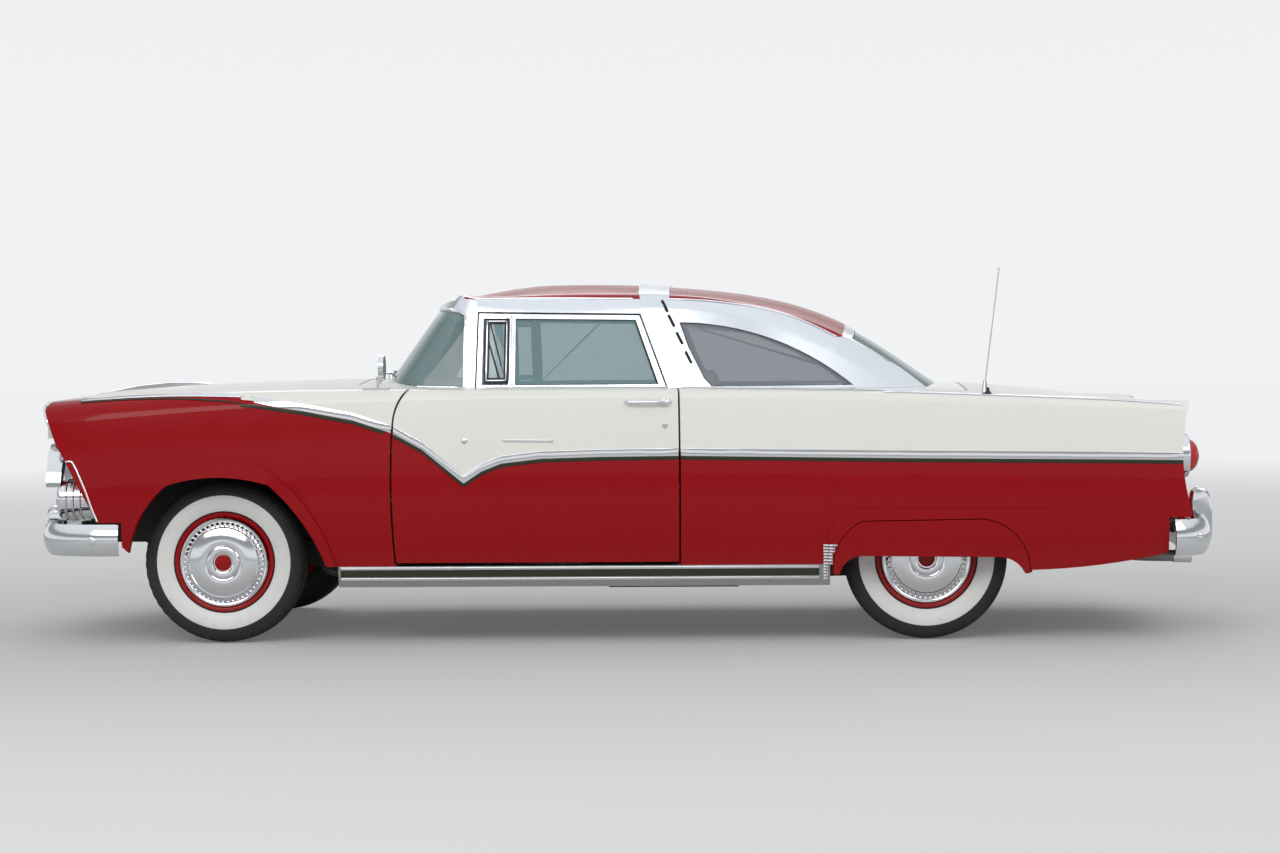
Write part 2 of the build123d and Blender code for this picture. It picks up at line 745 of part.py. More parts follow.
def build_quarter_panel():
    """The left quarter panel: thick beside the seat, a shell round the trunk."""
    with BuildPart() as panel:
        add(OUTER_BODY)
        with BuildPart(mode=Mode.PRIVATE) as flare:
            add(FLARED_BODY)
            add(quarter_ledge(), mode=Mode.INTERSECT)
        add(flare.part)
        extrude(quarter_outline(), amount=HALF_WIDTH + 50, both=True, mode=Mode.INTERSECT)
        extrude(tail_bow(rear(-1130)), amount=HEIGHT, mode=Mode.INTERSECT)
        with BuildPart(mode=Mode.PRIVATE) as trunk_side:
            add(QUARTER_SPACE)
            extrude(
                quarter_outline(QUARTER_THICKNESS),
                amount=HALF_WIDTH + 50,
                both=True,
                mode=Mode.INTERSECT,
            )
            with BuildSketch(Plane.XY):
                with Locations((SHELF_FRONT_X - 1500, 0)):
                    Rectangle(3000, WIDTH)
            extrude(amount=HEIGHT, mode=Mode.INTERSECT)
        add(trunk_side.part, mode=Mode.SUBTRACT)
        add(CABIN_SPACE, mode=Mode.SUBTRACT)
        with BuildSketch(Plane.XY):
            with BuildLine():
                Polyline(
                    (DOOR_REAR_X + 30, CABIN_HALF_WIDTH),
                    (DOOR_REAR_X + 30, HALF_WIDTH + 50),
                    (rear(-1250), HALF_WIDTH + 50),
                    (rear(-1250), LID_HALF_WIDTH + LID_GAP),
                    (LID_FRONT_X + LID_GAP, LID_HALF_WIDTH + LID_GAP),
                    (LID_FRONT_X + LID_GAP, CABIN_HALF_WIDTH),
                    close=True,
                )
            make_face()
        extrude(amount=HEIGHT, mode=Mode.INTERSECT)
        add(build_wheelhouse_space(WHEELHOUSE_RADIUS), mode=Mode.SUBTRACT)
        extrude(skirt_outline(), amount=HALF_WIDTH + 50, both=True, mode=Mode.SUBTRACT)
        add(door_prism(DOOR_GAP), mode=Mode.SUBTRACT)
        with BuildSketch(cross_plane(rear(-900))):
            with Locations((TAIL_LIGHT_Y, TAIL_LIGHT_Z)):
                Circle(TAIL_LIGHT_RADIUS + SEAT)
        extrude(amount=-400, mode=Mode.SUBTRACT)
    return panel.part


quarter_panel = build_quarter_panel()
save(quarter_panel, "quarter_panel_left")
save(mirrored(quarter_panel), "quarter_panel_right")

# Fender skirts: the raised panel in each rear wheel opening, on a flange that
# lies against the inside of the quarter panel
SKIRT_GAP = 4
SKIRT_FLANGE = 14
SKIRT_FLANGE_THICKNESS = 8
FLANGE_FACE = body_block(wall=QUARTER_THICKNESS + SEAT)
FLANGE_BACK = body_block(wall=QUARTER_THICKNESS + SKIRT_FLANGE_THICKNESS)


def build_skirt():
    """The left fender skirt."""
    with BuildPart() as skirt:
        add(FLARED_BODY)
        extrude(
            skirt_outline(-SKIRT_GAP), amount=HALF_WIDTH + 50, both=True, mode=Mode.INTERSECT
        )
        add(FLANGE_FACE, mode=Mode.SUBTRACT)
        with BuildPart(mode=Mode.PRIVATE) as flange:
            add(FLANGE_FACE)
            extrude(
                skirt_outline(SKIRT_FLANGE), amount=HALF_WIDTH + 50, both=True, mode=Mode.INTERSECT
            )
            add(FLANGE_BACK, mode=Mode.SUBTRACT)
        add(flange.part)
        extrude(skirt_edge(), amount=HALF_WIDTH + 50, both=True, mode=Mode.INTERSECT)
        split(bisect_by=Plane.XZ, keep=Keep.BOTTOM)
    return skirt.part


skirt = build_skirt()
with BuildPart() as fender_skirts:
    add(skirt)
    add(mirrored(skirt))
save(fender_skirts.part, "fender_skirts")


# Deck lid and the panel below it: one bowed tail, split at the lid's lip
LID_LIP_Z = 650
TAIL_BOTTOM_Z = 372


def tail_outline(inset=0):
    """Side outline of the tail on the centre line."""
    with BuildSketch(side_plane()) as outline:
        with BuildLine():
            lip = ThreePointArc(
                (rear(-1058) + inset, 964 - inset),
                (rear(-1100) + inset, 942 - inset),
                (rear(-1118) + inset, 890),
            )
            hollow = ThreePointArc(lip @ 1, (rear(-1096) + inset, 640), (rear(-1110) + inset, TAIL_BOTTOM_Z))
            foot = Line(hollow @ 1, (LID_FRONT_X + 60, TAIL_BOTTOM_Z))
            ahead = Line(foot @ 1, (LID_FRONT_X + 60, BELT_Z + 200))
            top = Line(ahead @ 1, (rear(-1058) + inset, BELT_Z + 200))
            Line(top @ 1, lip @ 0)
        make_face()
    return outline.sketch


def tail_block(space, inset):
    """The body behind the rear window, drawn in by an inset at the tail."""
    with BuildPart() as block:
        add(space)
        extrude(tail_outline(inset), amount=HALF_WIDTH + 50, both=True, mode=Mode.INTERSECT)
        extrude(tail_bow(rear(-1112), inset), amount=HEIGHT, mode=Mode.INTERSECT)
    return block.part


with BuildPart() as tail_shell:
    add(tail_block(OUTER_BODY, 0))
    add(tail_block(QUARTER_SPACE, LID_THICKNESS), mode=Mode.SUBTRACT)

with BuildPart() as deck_lid:
    add(tail_shell.part)
    with BuildSketch(Plane.XY.offset(LID_LIP_Z)):
        with Locations((LID_FRONT_X - 1000, 0)):
            Rectangle(2000, 2 * LID_HALF_WIDTH)
    extrude(amount=HEIGHT, mode=Mode.INTERSECT)
save(deck_lid.part, "deck_lid")

# The tail panel lies on the trunk floor with a flange, carries two stops for
# the lid, and is open for the bumper brackets
REAR_RAIL_Y = HALF_WIDTH - 512
REAR_RAIL_Z = 440
with BuildPart() as tail_panel:
    add(tail_shell.part)
    with BuildSketch(Plane.XY.offset(TAIL_BOTTOM_Z - 10)):
        with Locations((LID_FRONT_X - 1000, 0)):
            Rectangle(2000, 2 * (LID_HALF_WIDTH + LID_GAP - SEAT))
    extrude(amount=LID_LIP_Z - LID_GAP - TAIL_BOTTOM_Z + 10, mode=Mode.INTERSECT)
    with Locations((rear(-1010), 0, TRUNK_FLOOR_Z + SHEET + SEAT + 5)):
        Box(150, 1200, 10)
    for side in (1, -1):
        with Locations((rear(-1076), side * 300, LID_LIP_Z - SEAT - 15)):
            Box(12, 90, 30)
        with Locations((rear(-1100), side * REAR_RAIL_Y, REAR_RAIL_Z)):
            Box(200, RAIL_WIDTH, 48, mode=Mode.SUBTRACT)
save(tail_panel.part, "tail_panel")

# The shelf behind the rear seat, up to the deck lid's front edge, with an arm
# forward along each side under the roof frame
SHELF_ARM_X = rear(290)
SHELF_ARM_Y = CABIN_HALF_WIDTH - 155
SHELF_ARM_Z = 1025
with BuildPart() as package_shelf:
    add(OUTER_BODY)
    add(QUARTER_SPACE, mode=Mode.SUBTRACT)
    with BuildSketch(Plane.XY.offset(BELT_Z - 250)):
        with BuildLine():
            Polyline(
                (SHELF_FRONT_X, SHELF_ARM_Y),
                (SHELF_ARM_X, SHELF_ARM_Y),
                (SHELF_ARM_X, CABIN_HALF_WIDTH - SEAT),
                (LID_FRONT_X + LID_GAP, CABIN_HALF_WIDTH - SEAT),
                (LID_FRONT_X + LID_GAP, -CABIN_HALF_WIDTH + SEAT),
                (SHELF_ARM_X, -CABIN_HALF_WIDTH + SEAT),
                (SHELF_ARM_X, -SHELF_ARM_Y),
                (SHELF_FRONT_X, -SHELF_ARM_Y),
                close=True,
            )
        make_face()
    extrude(amount=HEIGHT, mode=Mode.INTERSECT)
    with Locations(((SHELF_FRONT_X + SHELF_ARM_X) / 2, 0, SHELF_ARM_Z - 50)):
        Box(SHELF_ARM_X - SHELF_FRONT_X, WIDTH, 100, mode=Mode.SUBTRACT)
save(package_shelf.part, "package_shelf")

# Rocker panels: the sills under the doors
ROCKER_FRONT_X = front(-496)
ROCKER_REAR_X = rear(404)
with BuildPart() as rocker_panels:
    add(OUTER_BODY)
    with BuildSketch(Plane.XY.offset(BODY_FLOOR_Z - 10)):
        for side in (1, -1):
            with Locations(
                ((ROCKER_FRONT_X + ROCKER_REAR_X) / 2, side * (CABIN_HALF_WIDTH + 115))
            ):
                Rectangle(ROCKER_FRONT_X - ROCKER_REAR_X, 200)
    extrude(amount=SILL_TOP_Z - BODY_FLOOR_Z + 10, mode=Mode.INTERSECT)
save(rocker_panels.part, "rocker_panels")


# Roof: the panel above the drip line, the pillars and rails below it, and
# the bright band that crosses the roof and runs down the middle pillars.
# Outlines are points seen from the side: x, share of the roof's height.
SCREEN_REAR_X = COWL_REAR_X + 40
BAND_FRONT_X = DOOR_REAR_X + 192


def roof_prism(grow=0):
    """Everything above the drip line and ahead of the rear window."""
    with BuildPart() as prism:
        with BuildSketch(side_plane()):
            with BuildLine():
                rail = Line(
                    (SCREEN_REAR_X + 4, up(0.736) - grow), (BAND_FRONT_X - 32, up(0.707) - grow)
                )
                step = Line(rail @ 1, (BAND_FRONT_X - 82, up(0.74) - grow))
                drip = ThreePointArc(
                    step @ 1, (rear(758), up(0.66) - grow), (rear(519), up(0.456) - grow)
                )
                tail = Line(drip @ 1, (rear(372), up(0.30) - grow))
                edge = Line(tail @ 1, (rear(345) - grow, up(0.44)))
                rise = Line(edge @ 1, (rear(285) - grow, up(0.70)))
                over = Line(rise @ 1, (rear(285) - grow, up(1.3)))
                ahead = Line(over @ 1, (SCREEN_REAR_X + 190 + grow, up(1.3)))
                Line(ahead @ 1, rail @ 0)
            make_face()
        extrude(amount=HALF_WIDTH, both=True)
    return prism.part


def screen_prism(grow=0):
    """The windscreen opening, seen from the side."""
    with BuildPart() as prism:
        with BuildSketch(side_plane()):
            with BuildLine():
                Polyline(
                    (SCREEN_REAR_X - grow, up(-0.5)),
                    (SCREEN_REAR_X - grow, up(0.69) + grow),
                    (SCREEN_REAR_X + 24, up(0.727) + grow),
                    (SCREEN_REAR_X + 255, up(0.80) + grow),
                    (SCREEN_REAR_X + 900, up(0.80) + grow),
                    (SCREEN_REAR_X + 900, up(-0.5)),
                    close=True,
                )
            make_face()
        extrude(amount=HALF_WIDTH, both=True)
    return prism.part


def quarter_window_prism(grow=0):
    """The quarter window openings, seen from the side."""
    with BuildPart() as prism:
        with BuildSketch(side_plane()):
            with BuildLine():
                arch = ThreePointArc(
                    (DOOR_REAR_X + 3 + grow, up(0.617) + grow),
                    (rear(658), up(0.475) + grow),
                    (rear(295) - 4 * grow, up(0.012) - grow),
                )
                sill = Line(arch @ 1, (DOOR_REAR_X - 131, up(0.012) - grow))
                heel = Line(sill @ 1, (DOOR_REAR_X - 68 + grow, up(0.165)))
                Line(heel @ 1, arch @ 0)
            make_face()
        extrude(amount=HALF_WIDTH, both=True)
    return prism.part


def rear_window_prism(grow=0):
    """The rear window opening, square to the slope of the glass."""
    slope = radians(32)
    pane = Plane(
        origin=(rear(118), 0, up(0.36)), x_dir=(0, 1, 0), z_dir=(-sin(slope), 0, cos(slope))
    )
    half = HALF_WIDTH - 424
    with BuildPart() as prism:
        with BuildSketch(pane):
            with BuildLine():
                Polyline(
                    (half + 12 + grow, -168 - grow),
                    (half + 62 + grow, 380),
                    (-half - 62 - grow, 380),
                    (-half - 12 - grow, -168 - grow),
                    close=True,
                )
            make_face()
            fillet(
                [corner for corner in vertices() if corner.Z > up(0.36)], radius=55
            )
        extrude(amount=260, both=True)
    return prism.part


with BuildPart() as roof_panel:
    add(CABIN_OUTER)
    add(CABIN_INNER, mode=Mode.SUBTRACT)
    add(roof_prism(), mode=Mode.INTERSECT)
save(roof_panel.part, "roof_panel")

with BuildPart() as roof_frame:
    add(CABIN_OUTER)
    add(CABIN_INNER, mode=Mode.SUBTRACT)
    add(BODY_SEAT, mode=Mode.SUBTRACT)
    add(roof_prism(SEAT), mode=Mode.SUBTRACT)
    add(screen_prism(), mode=Mode.SUBTRACT)
    add(quarter_window_prism(), mode=Mode.SUBTRACT)
    add(rear_window_prism(), mode=Mode.SUBTRACT)
    door_opening = sash_prism(SASH_POINTS, DOOR_GAP)
    add(door_opening, mode=Mode.SUBTRACT)
    add(mirrored(door_opening), mode=Mode.SUBTRACT)
save(roof_frame.part, "roof_frame")

BAND_POINTS = [
    (BAND_FRONT_X + 12, 1.2),
    (BAND_FRONT_X - 36, 0.722),
    (DOOR_REAR_X - 6, -0.3),
    (DOOR_REAR_X - 184, -0.3),
    (BAND_FRONT_X - 156, 0.70),
    (BAND_FRONT_X - 127, 1.2),
]
with BuildPart() as roof_band:
    add(CABIN_BAND)
    with BuildSketch(side_plane()):
        with BuildLine():
            Polyline(*[(x, up(z)) for x, z in BAND_POINTS], close=True)
        make_face()
    extrude(amount=HALF_WIDTH, both=True, mode=Mode.INTERSECT)
    add(CABIN_SEAT, mode=Mode.SUBTRACT)
    add(BODY_SEAT, mode=Mode.SUBTRACT)
save(roof_band.part, "roof_band")


def glass_pane(prism):
    """The glass that fills an opening, with its edge in the frame."""
    with BuildPart() as pane:
        add(CABIN_GLASS)
        add(prism, mode=Mode.INTERSECT)
        add(CABIN_GLASS_BACK, mode=Mode.SUBTRACT)
        add(BODY_SEAT, mode=Mode.SUBTRACT)
    return pane.part


save(glass_pane(screen_prism(-SEAT)), "windshield")
save(glass_pane(quarter_window_prism(-SEAT)), "quarter_windows")
save(glass_pane(rear_window_prism(-SEAT)), "rear_window")


def bar(length, width, height, place, radius=0):
    """A straight bar or box with its centre at a place."""
    with BuildPart() as box:
        with Locations(place):
            Box(length, width, height)
        if radius:
            fillet(box.edges(), radius=radius)
    return box.part


def tube(points, radius, bend):
    """A round tube along straight runs joined by bends."""
    with BuildPart() as pipe:
        with BuildLine() as path:
            FilletPolyline(*points, radius=bend)
        with BuildSketch(Plane(origin=path.line @ 0, z_dir=path.line % 0)):
            Circle(radius)
        sweep()
    return pipe.part


# Chassis frame: two side rails that rise over the rear axle, each in three
# lengths, and crossmembers between them
EXHAUST_Y = 400
EXHAUST_Z = 250
EXHAUST_RADIUS = 24
RAIL_PLAN = [
    (front(700), HALF_WIDTH - 564),
    (front(-420), HALF_WIDTH - 558),
    (front(-800), HALF_WIDTH - 384),
    (rear(440), HALF_WIDTH - 384),
    (rear(300), HALF_WIDTH - 474),
    (rear(-1000), HALF_WIDTH - 474),
]
RAIL_SIDE = [
    (front(701), 400, 490),
    (front(420), 400, 490),
    (front(230), 300, 400),
    (front(-300), 300, 400),
    (front(-600), 216, 306),
    (rear(450), 216, 306),
    (rear(300), 430, 510),
    (rear(-300), 430, 510),
    (rear(-480), 400, 480),
    (rear(-1001), 400, 480),
]
AXLE_MEMBER_BOTTOM_Z = TYRE_RADIUS - 111 + SEAT
RAIL_BOTTOM_Z = 300
RAIL_JOINT_FRONT_X = front(-800)
RAIL_JOINT_REAR_X = rear(440)
CROSSMEMBERS = [
    (front(640), 420, 470, 70),
    (front(0), AXLE_MEMBER_BOTTOM_Z, 330, 190),
    (front(-900), 216, 286, 80),
    (rear(700), 216, 286, 80),
    (rear(-420), 425, 475, 70),
    (rear(-960), 410, 470, 60),
]


# The engine stands on two mounts in front and one under its gearbox
ENGINE_BOTTOM_Z = 370
GEARBOX_BOTTOM_Z = 295


def build_rails(front_x, rear_x):
    """Both side rails between two cross planes."""
    inner = [(x, y - RAIL_WIDTH) for x, y in reversed(RAIL_PLAN)]
    low = [(x, z) for x, z, _ in RAIL_SIDE]
    high = [(x, z) for x, _, z in reversed(RAIL_SIDE)]
    with BuildPart() as rail:
        with BuildSketch(Plane.XY):
            with BuildLine():
                Polyline(*RAIL_PLAN, *inner, close=True)
            make_face()
        extrude(amount=600)
        with BuildSketch(side_plane()):
            with BuildLine():
                Polyline(*low, *high, close=True)
            make_face()
        extrude(amount=HALF_WIDTH, both=True, mode=Mode.INTERSECT)
        with BuildSketch(cross_plane(rear_x)):
            Rectangle(2 * WIDTH, 2 * HEIGHT)
        extrude(amount=front_x - rear_x, mode=Mode.INTERSECT)
    with BuildPart() as rails:
        add(rail.part)
        add(mirrored(rail.part))
    return rails.part


def build_crossmembers():
    """The members between the rails, with the engine's and gearbox's mounts."""
    between = [(x, y - RAIL_WIDTH - SEAT) for x, y in RAIL_PLAN]
    with BuildPart() as members:
        for x, bottom, top, length in CROSSMEMBERS:
            with Locations((x, 0, (bottom + top) / 2)):
                Box(length, WIDTH, top - bottom)
        for side in (1, -1):
            with Locations((front(0), side * 200, (320 + ENGINE_BOTTOM_Z - SEAT) / 2)):
                Box(80, 60, ENGINE_BOTTOM_Z - SEAT - 320)
        with Locations((front(-900), 0, (280 + GEARBOX_BOTTOM_Z - SEAT) / 2)):
            Box(60, 120, GEARBOX_BOTTOM_Z - SEAT - 280)
        with BuildSketch(Plane.XY):
            with BuildLine():
                Polyline(*between, *[(x, -y) for x, y in reversed(between)], close=True)
            make_face()
        extrude(amount=HEIGHT, mode=Mode.INTERSECT)
        with BuildSketch(cross_plane(rear(560))):
            with Locations((EXHAUST_Y, EXHAUST_Z)):
                Circle(EXHAUST_RADIUS + 6)
        extrude(amount=front(-700) - rear(560), mode=Mode.SUBTRACT)
        with Locations((front(0), 0, (AXLE_MEMBER_BOTTOM_Z + RAIL_BOTTOM_Z - SEAT) / 2)):
            Box(190, 2 * RAIL_PLAN[0][1] - RAIL_WIDTH, RAIL_BOTTOM_Z - SEAT - AXLE_MEMBER_BOTTOM_Z)
    return members.part


save(build_rails(NOSE_X, RAIL_JOINT_FRONT_X + SEAT), "frame_rails_front")
save(build_rails(RAIL_JOINT_FRONT_X, RAIL_JOINT_REAR_X), "frame_rails_middle")
save(build_rails(RAIL_JOINT_REAR_X - SEAT, TAIL_X), "frame_rails_rear")
save(build_crossmembers(), "frame_crossmembers")

# Floor pan: cabin floor with a tunnel, a step over the rear axle, and the
# trunk floor. It is one bent sheet, drawn from the side, with the tunnel over.
FLOOR_HALF_WIDTH = CABIN_HALF_WIDTH + 15 - SEAT
REAR_STEP_Z = 560
FLOOR_LINE = [
    (FIREWALL_X + FIREWALL_THICKNESS, FLOOR_Z),
    (rear(460), FLOOR_Z),
    (rear(400), REAR_STEP_Z),
    (rear(-330), REAR_STEP_Z),
    (rear(-400), TRUNK_FLOOR_Z),
    (rear(-998), TRUNK_FLOOR_Z),
]


def build_floor():
    """The floor of the cabin and trunk, with the rear wheelhouses."""
    above = [(x, z + SHEET) for x, z in reversed(FLOOR_LINE)]
    with BuildPart() as floor:
        with BuildSketch(side_plane()):
            with BuildLine():
                Polyline(*FLOOR_LINE, *above, close=True)
            make_face()
        extrude(amount=FLOOR_HALF_WIDTH, both=True)
        reach = FIREWALL_X + FIREWALL_THICKNESS - rear(440)
        extrude(tunnel_outline(rear(440)), amount=reach)
        extrude(tunnel_outline(rear(340), SHEET), amount=reach + 110, mode=Mode.SUBTRACT)
        with BuildSketch(Plane.XY.offset(FLOOR_Z - 30)):
            with Locations((rear(440) + reach / 2, 0)):
                Rectangle(reach, 4 * TUNNEL_HALF_WIDTH)
        extrude(amount=30, mode=Mode.SUBTRACT)
        with BuildSketch(Plane.XY.offset(FLOOR_Z + SHEET)):
            for side in (1, -1):
                with Locations((rear(-300), side * (CABIN_HALF_WIDTH - SEAT + 50))):
                    Rectangle(1600, 100)
        extrude(amount=HEIGHT, mode=Mode.SUBTRACT)
        with BuildSketch(Plane.XY.offset(REAR_STEP_Z - 10)):
            for side in (1, -1):
                with Locations((rear(0), side * (WHEELHOUSE_INNER_Y + 150))):
                    Rectangle(2 * WHEELHOUSE_RADIUS + 60, 300)
        extrude(amount=60, mode=Mode.SUBTRACT)
        with BuildSketch(Plane.XY.offset(FLOOR_Z - 10)):
            for side in (1, -1):
                with Locations((rear(0), side * (WHEELHOUSE_INNER_Y + 150))):
                    Rectangle(2 * WHEELHOUSE_RADIUS, 300)
        extrude(amount=300, mode=Mode.SUBTRACT)
    with BuildPart() as house:
        with BuildSketch(side_plane(WHEELHOUSE_INNER_Y - SHEET)):
            with Locations((REAR_AXLE_X, TYRE_RADIUS)):
                Circle(WHEELHOUSE_RADIUS - SEAT)
        extrude(amount=-(CABIN_HALF_WIDTH - WHEELHOUSE_INNER_Y + SHEET + 76))
        with BuildSketch(side_plane(WHEELHOUSE_INNER_Y)):
            with Locations((REAR_AXLE_X, TYRE_RADIUS)):
                Circle(WHEELHOUSE_RADIUS - SHEET)
        extrude(amount=-(CABIN_HALF_WIDTH - WHEELHOUSE_INNER_Y + 100), mode=Mode.SUBTRACT)
        with BuildSketch(Plane.XY.offset(FLOOR_Z + SHEET)):
            with Locations((rear(0), 0)):
                Rectangle(3 * WHEELHOUSE_RADIUS, WIDTH)
        extrude(amount=HEIGHT, mode=Mode.INTERSECT)
        with Locations((REAR_AXLE_X, WHEELHOUSE_INNER_Y, TYRE_RADIUS)):
            Box(160, 60, 230, mode=Mode.SUBTRACT)
    with BuildPart() as pan:
        add(floor.part)
        add(house.part)
        add(mirrored(house.part))
    return pan.part


floor_pan = build_floor()
save(floor_pan, "floor_pan")

# Inner fenders: the aprons between the engine bay and the front wheels
APRON_Y = HALF_WIDTH - 500
with BuildPart() as inner_fenders:
    for side in (1, -1):
        with Locations((front(-40), side * APRON_Y, 700)):
            Box(1240, SHEET, 560)
        with Locations((front(-40), side * (APRON_Y + 100), 980 - SHEET / 2)):
            Box(1240, 200, SHEET)
    with Locations((front(585), 0, 490 + SEAT + 245)):
        Box(30, 2 * HOOD_HALF_WIDTH - 8, 490)
    with BuildSketch(cross_plane(front(500))):
        with Locations((0, 690)):
            Rectangle(640, 380)
    extrude(amount=200, mode=Mode.SUBTRACT)
    with Locations((front(0), 0, 440)):
        Box(300, 3 * APRON_Y, 120, mode=Mode.SUBTRACT)
    with BuildPart(mode=Mode.PRIVATE) as hood_stops:
        for side in (1, -1):
            with Locations((front(585), side * 300, 1000)):
                Box(26, 60, 200)
        add(UNDER_HOOD, mode=Mode.INTERSECT)
    add(hood_stops.part)
save(inner_fenders.part, "inner_fenders")

# Engine with its gearbox, as one plain block, and the radiator
with BuildPart() as engine:
    with Locations((front(-150), 0, ENGINE_BOTTOM_Z + 220)):
        Box(560, 520, 440)
    with Locations((front(-550), 0, 430)):
        Box(260, 260, 260)
    with Locations((front(-900), 0, GEARBOX_BOTTOM_Z + 55)):
        Box(460, 180, 110)
    with Locations((front(150), 0, 520)):
        Box(60, 180, 260)
save(engine.part, "engine")
save(bar(60, 620, 470, (front(540) - SEAT, 0, 680), 8), "radiator")

# Front suspension: arms on each side of the crossmember and the kingpin posts
KINGPIN_Y = FRONT_TRACK / 2 - KINGPIN_INSET
KNUCKLE_HALF_HEIGHT = 110


def build_knuckle():
    """The left steering knuckle: a kingpin post with a spindle."""
    with BuildPart() as knuckle:
        with Locations((FRONT_AXLE_X, KINGPIN_Y, TYRE_RADIUS)):
            Cylinder(26, 2 * (KNUCKLE_HALF_HEIGHT + 1 - SEAT))
            Box(70, 44, 120)
        with Locations((FRONT_AXLE_X - 90, KINGPIN_Y - 20, TYRE_RADIUS - 60)):
            Box(180, 24, 20)
        with Locations(
            Location((FRONT_AXLE_X, KINGPIN_Y + KINGPIN_INSET / 2, TYRE_RADIUS), (90, 0, 0))
        ):
            Cylinder(16, KINGPIN_INSET)
    return knuckle.part


with BuildPart() as front_suspension:
    for side in (1, -1):
        for z, inner_y in (
            (TYRE_RADIUS + KNUCKLE_HALF_HEIGHT + 12, HALF_WIDTH - 559),
            (TYRE_RADIUS - KNUCKLE_HALF_HEIGHT - 12, HALF_WIDTH - 634),
        ):
            with BuildSketch(Plane.XY.offset(z - 11)):
                with BuildLine():
                    Polyline(
                        (front(120), side * inner_y),
                        (front(24), side * (KINGPIN_Y + 16)),
                        (front(-24), side * (KINGPIN_Y + 16)),
                        (front(-120), side * inner_y),
                        close=True,
                    )
                make_face()
            extrude(amount=22)
        with Locations((front(0), side * (HALF_WIDTH - 532), TYRE_RADIUS)):
            Cylinder(26, 2 * KNUCKLE_HALF_HEIGHT + 2)
save(front_suspension.part, "front_suspension")

# Rear axle, its leaf springs and the drive shaft
SPRING_Y = HALF_WIDTH - 474 - RAIL_WIDTH / 2
with BuildPart() as rear_axle:
    with Locations(Location((REAR_AXLE_X, 0, TYRE_RADIUS), (90, 0, 0))):
        Cylinder(38, REAR_TRACK - 2 * 62)
        Cylinder(16, REAR_TRACK - 4)
    with Locations((REAR_AXLE_X, 0, TYRE_RADIUS)):
        Sphere(120)
    for side in (1, -1):
        with BuildSketch(side_plane(side * SPRING_Y)):
            with BuildLine():
                ThreePointArc((rear(640), 248), (rear(0), 262), (rear(-640), 376))
                Line((rear(-640), 376), (rear(-640), 400 - SEAT))
                ThreePointArc((rear(-640), 400 - SEAT), (rear(0), 304), (rear(640), 272))
                Line((rear(640), 272), (rear(640), 248))
            make_face()
        extrude(amount=24, both=True)
        with Locations(Location((rear(620), side * (SPRING_Y + 37), 260), (90, 0, 0))):
            Cylinder(10, 2 * (HALF_WIDTH - 460 - SEAT - SPRING_Y - 37))
    with Locations(Location(((rear(100) + front(-1130)) / 2, 0, 350), (0, 90, 0))):
        Cylinder(32, front(-1130) - rear(100) - 2 * SEAT)
save(rear_axle.part, "rear_axle")

# Exhaust pipe with its silencer, and the fuel tank under the trunk floor
with BuildPart() as exhaust:
    add(tube(
        [
            (front(-330), EXHAUST_Y - 200, ENGINE_BOTTOM_Z - SEAT),
            (front(-330), EXHAUST_Y - 200, EXHAUST_Z),
            (front(-560), EXHAUST_Y - 180, EXHAUST_Z),
            (front(-760), EXHAUST_Y, EXHAUST_Z),
            (rear(420), EXHAUST_Y, EXHAUST_Z),
            (rear(230), EXHAUST_Y - 60, 420),
            (rear(-150), EXHAUST_Y - 60, 420),
            (rear(-360), EXHAUST_Y - 60, 350),
            (rear(-720), EXHAUST_Y - 60, 345),
            (rear(-900), EXHAUST_Y + 220, 335),
            (rear(-1120), EXHAUST_Y + 220, 330),
        ], EXHAUST_RADIUS, 60))
    with Locations(Location((rear(1060), EXHAUST_Y, EXHAUST_Z), (0, 90, 0))):
        Cylinder(58, 560)
save(exhaust.part, "exhaust")
save(bar(440, 600, 170, (rear(-710), -60, TRUNK_FLOOR_Z - 85 - SEAT), 24), "fuel_tank")


# Bumpers: a curved blade that wraps round each corner, on brackets
BUMPER_BULGE = 26
BUMPER_PLATE = 12
BUMPER_SPAN = HALF_WIDTH - 204


def bumper(centre_x, side_x, bow, wrap, z, height, rail_end):
    """A bowed blade with brackets to the rail ends, at either end of the car."""
    facing = 1 if centre_x > side_x else -1
    end_x = centre_x - facing * bow
    with BuildPart() as blade:
        with BuildLine() as path:
            arc = ThreePointArc((end_x, -BUMPER_SPAN, z), (centre_x, 0, z), (end_x, BUMPER_SPAN, z))
            for end, way, sign in ((arc @ 1, arc % 1, 1), (arc @ 0, -(arc % 0), -1)):
                corner = TangentArc(
                    end, (end_x - facing * wrap, sign * (BUMPER_SPAN + 140), z), tangent=way
                )
                TangentArc(corner @ 1, (side_x, sign * (BUMPER_SPAN + 172), z), tangent=corner % 1)
        section_plane = Plane(
            origin=(centre_x, 0, z), x_dir=(facing, 0, 0), z_dir=(0, -facing, 0)
        )
        half = height / 2
        with BuildSketch(section_plane):
            with BuildLine():
                outer = ThreePointArc((0, -half), (BUMPER_BULGE, 0), (0, half))
                top = Line(outer @ 1, (-BUMPER_PLATE, half - 4))
                inner = ThreePointArc(
                    top @ 1, (BUMPER_BULGE - BUMPER_PLATE, 0), (-BUMPER_PLATE, 4 - half)
                )
                Line(inner @ 1, outer @ 0)
            make_face()
        sweep(path=path.line)
        rail_x, rail_y, rail_z = rail_end
        plate_x = BUMPER_BULGE - BUMPER_PLATE + 5 - bow * (rail_y / BUMPER_SPAN) ** 2
        reach = abs(centre_x + facing * plate_x - rail_x) - SEAT
        for side in (1, -1):
            with Locations((rail_x + facing * (SEAT + reach / 2), side * rail_y, rail_z)):
                Box(reach, RAIL_WIDTH - 20, 36)
    return blade.part


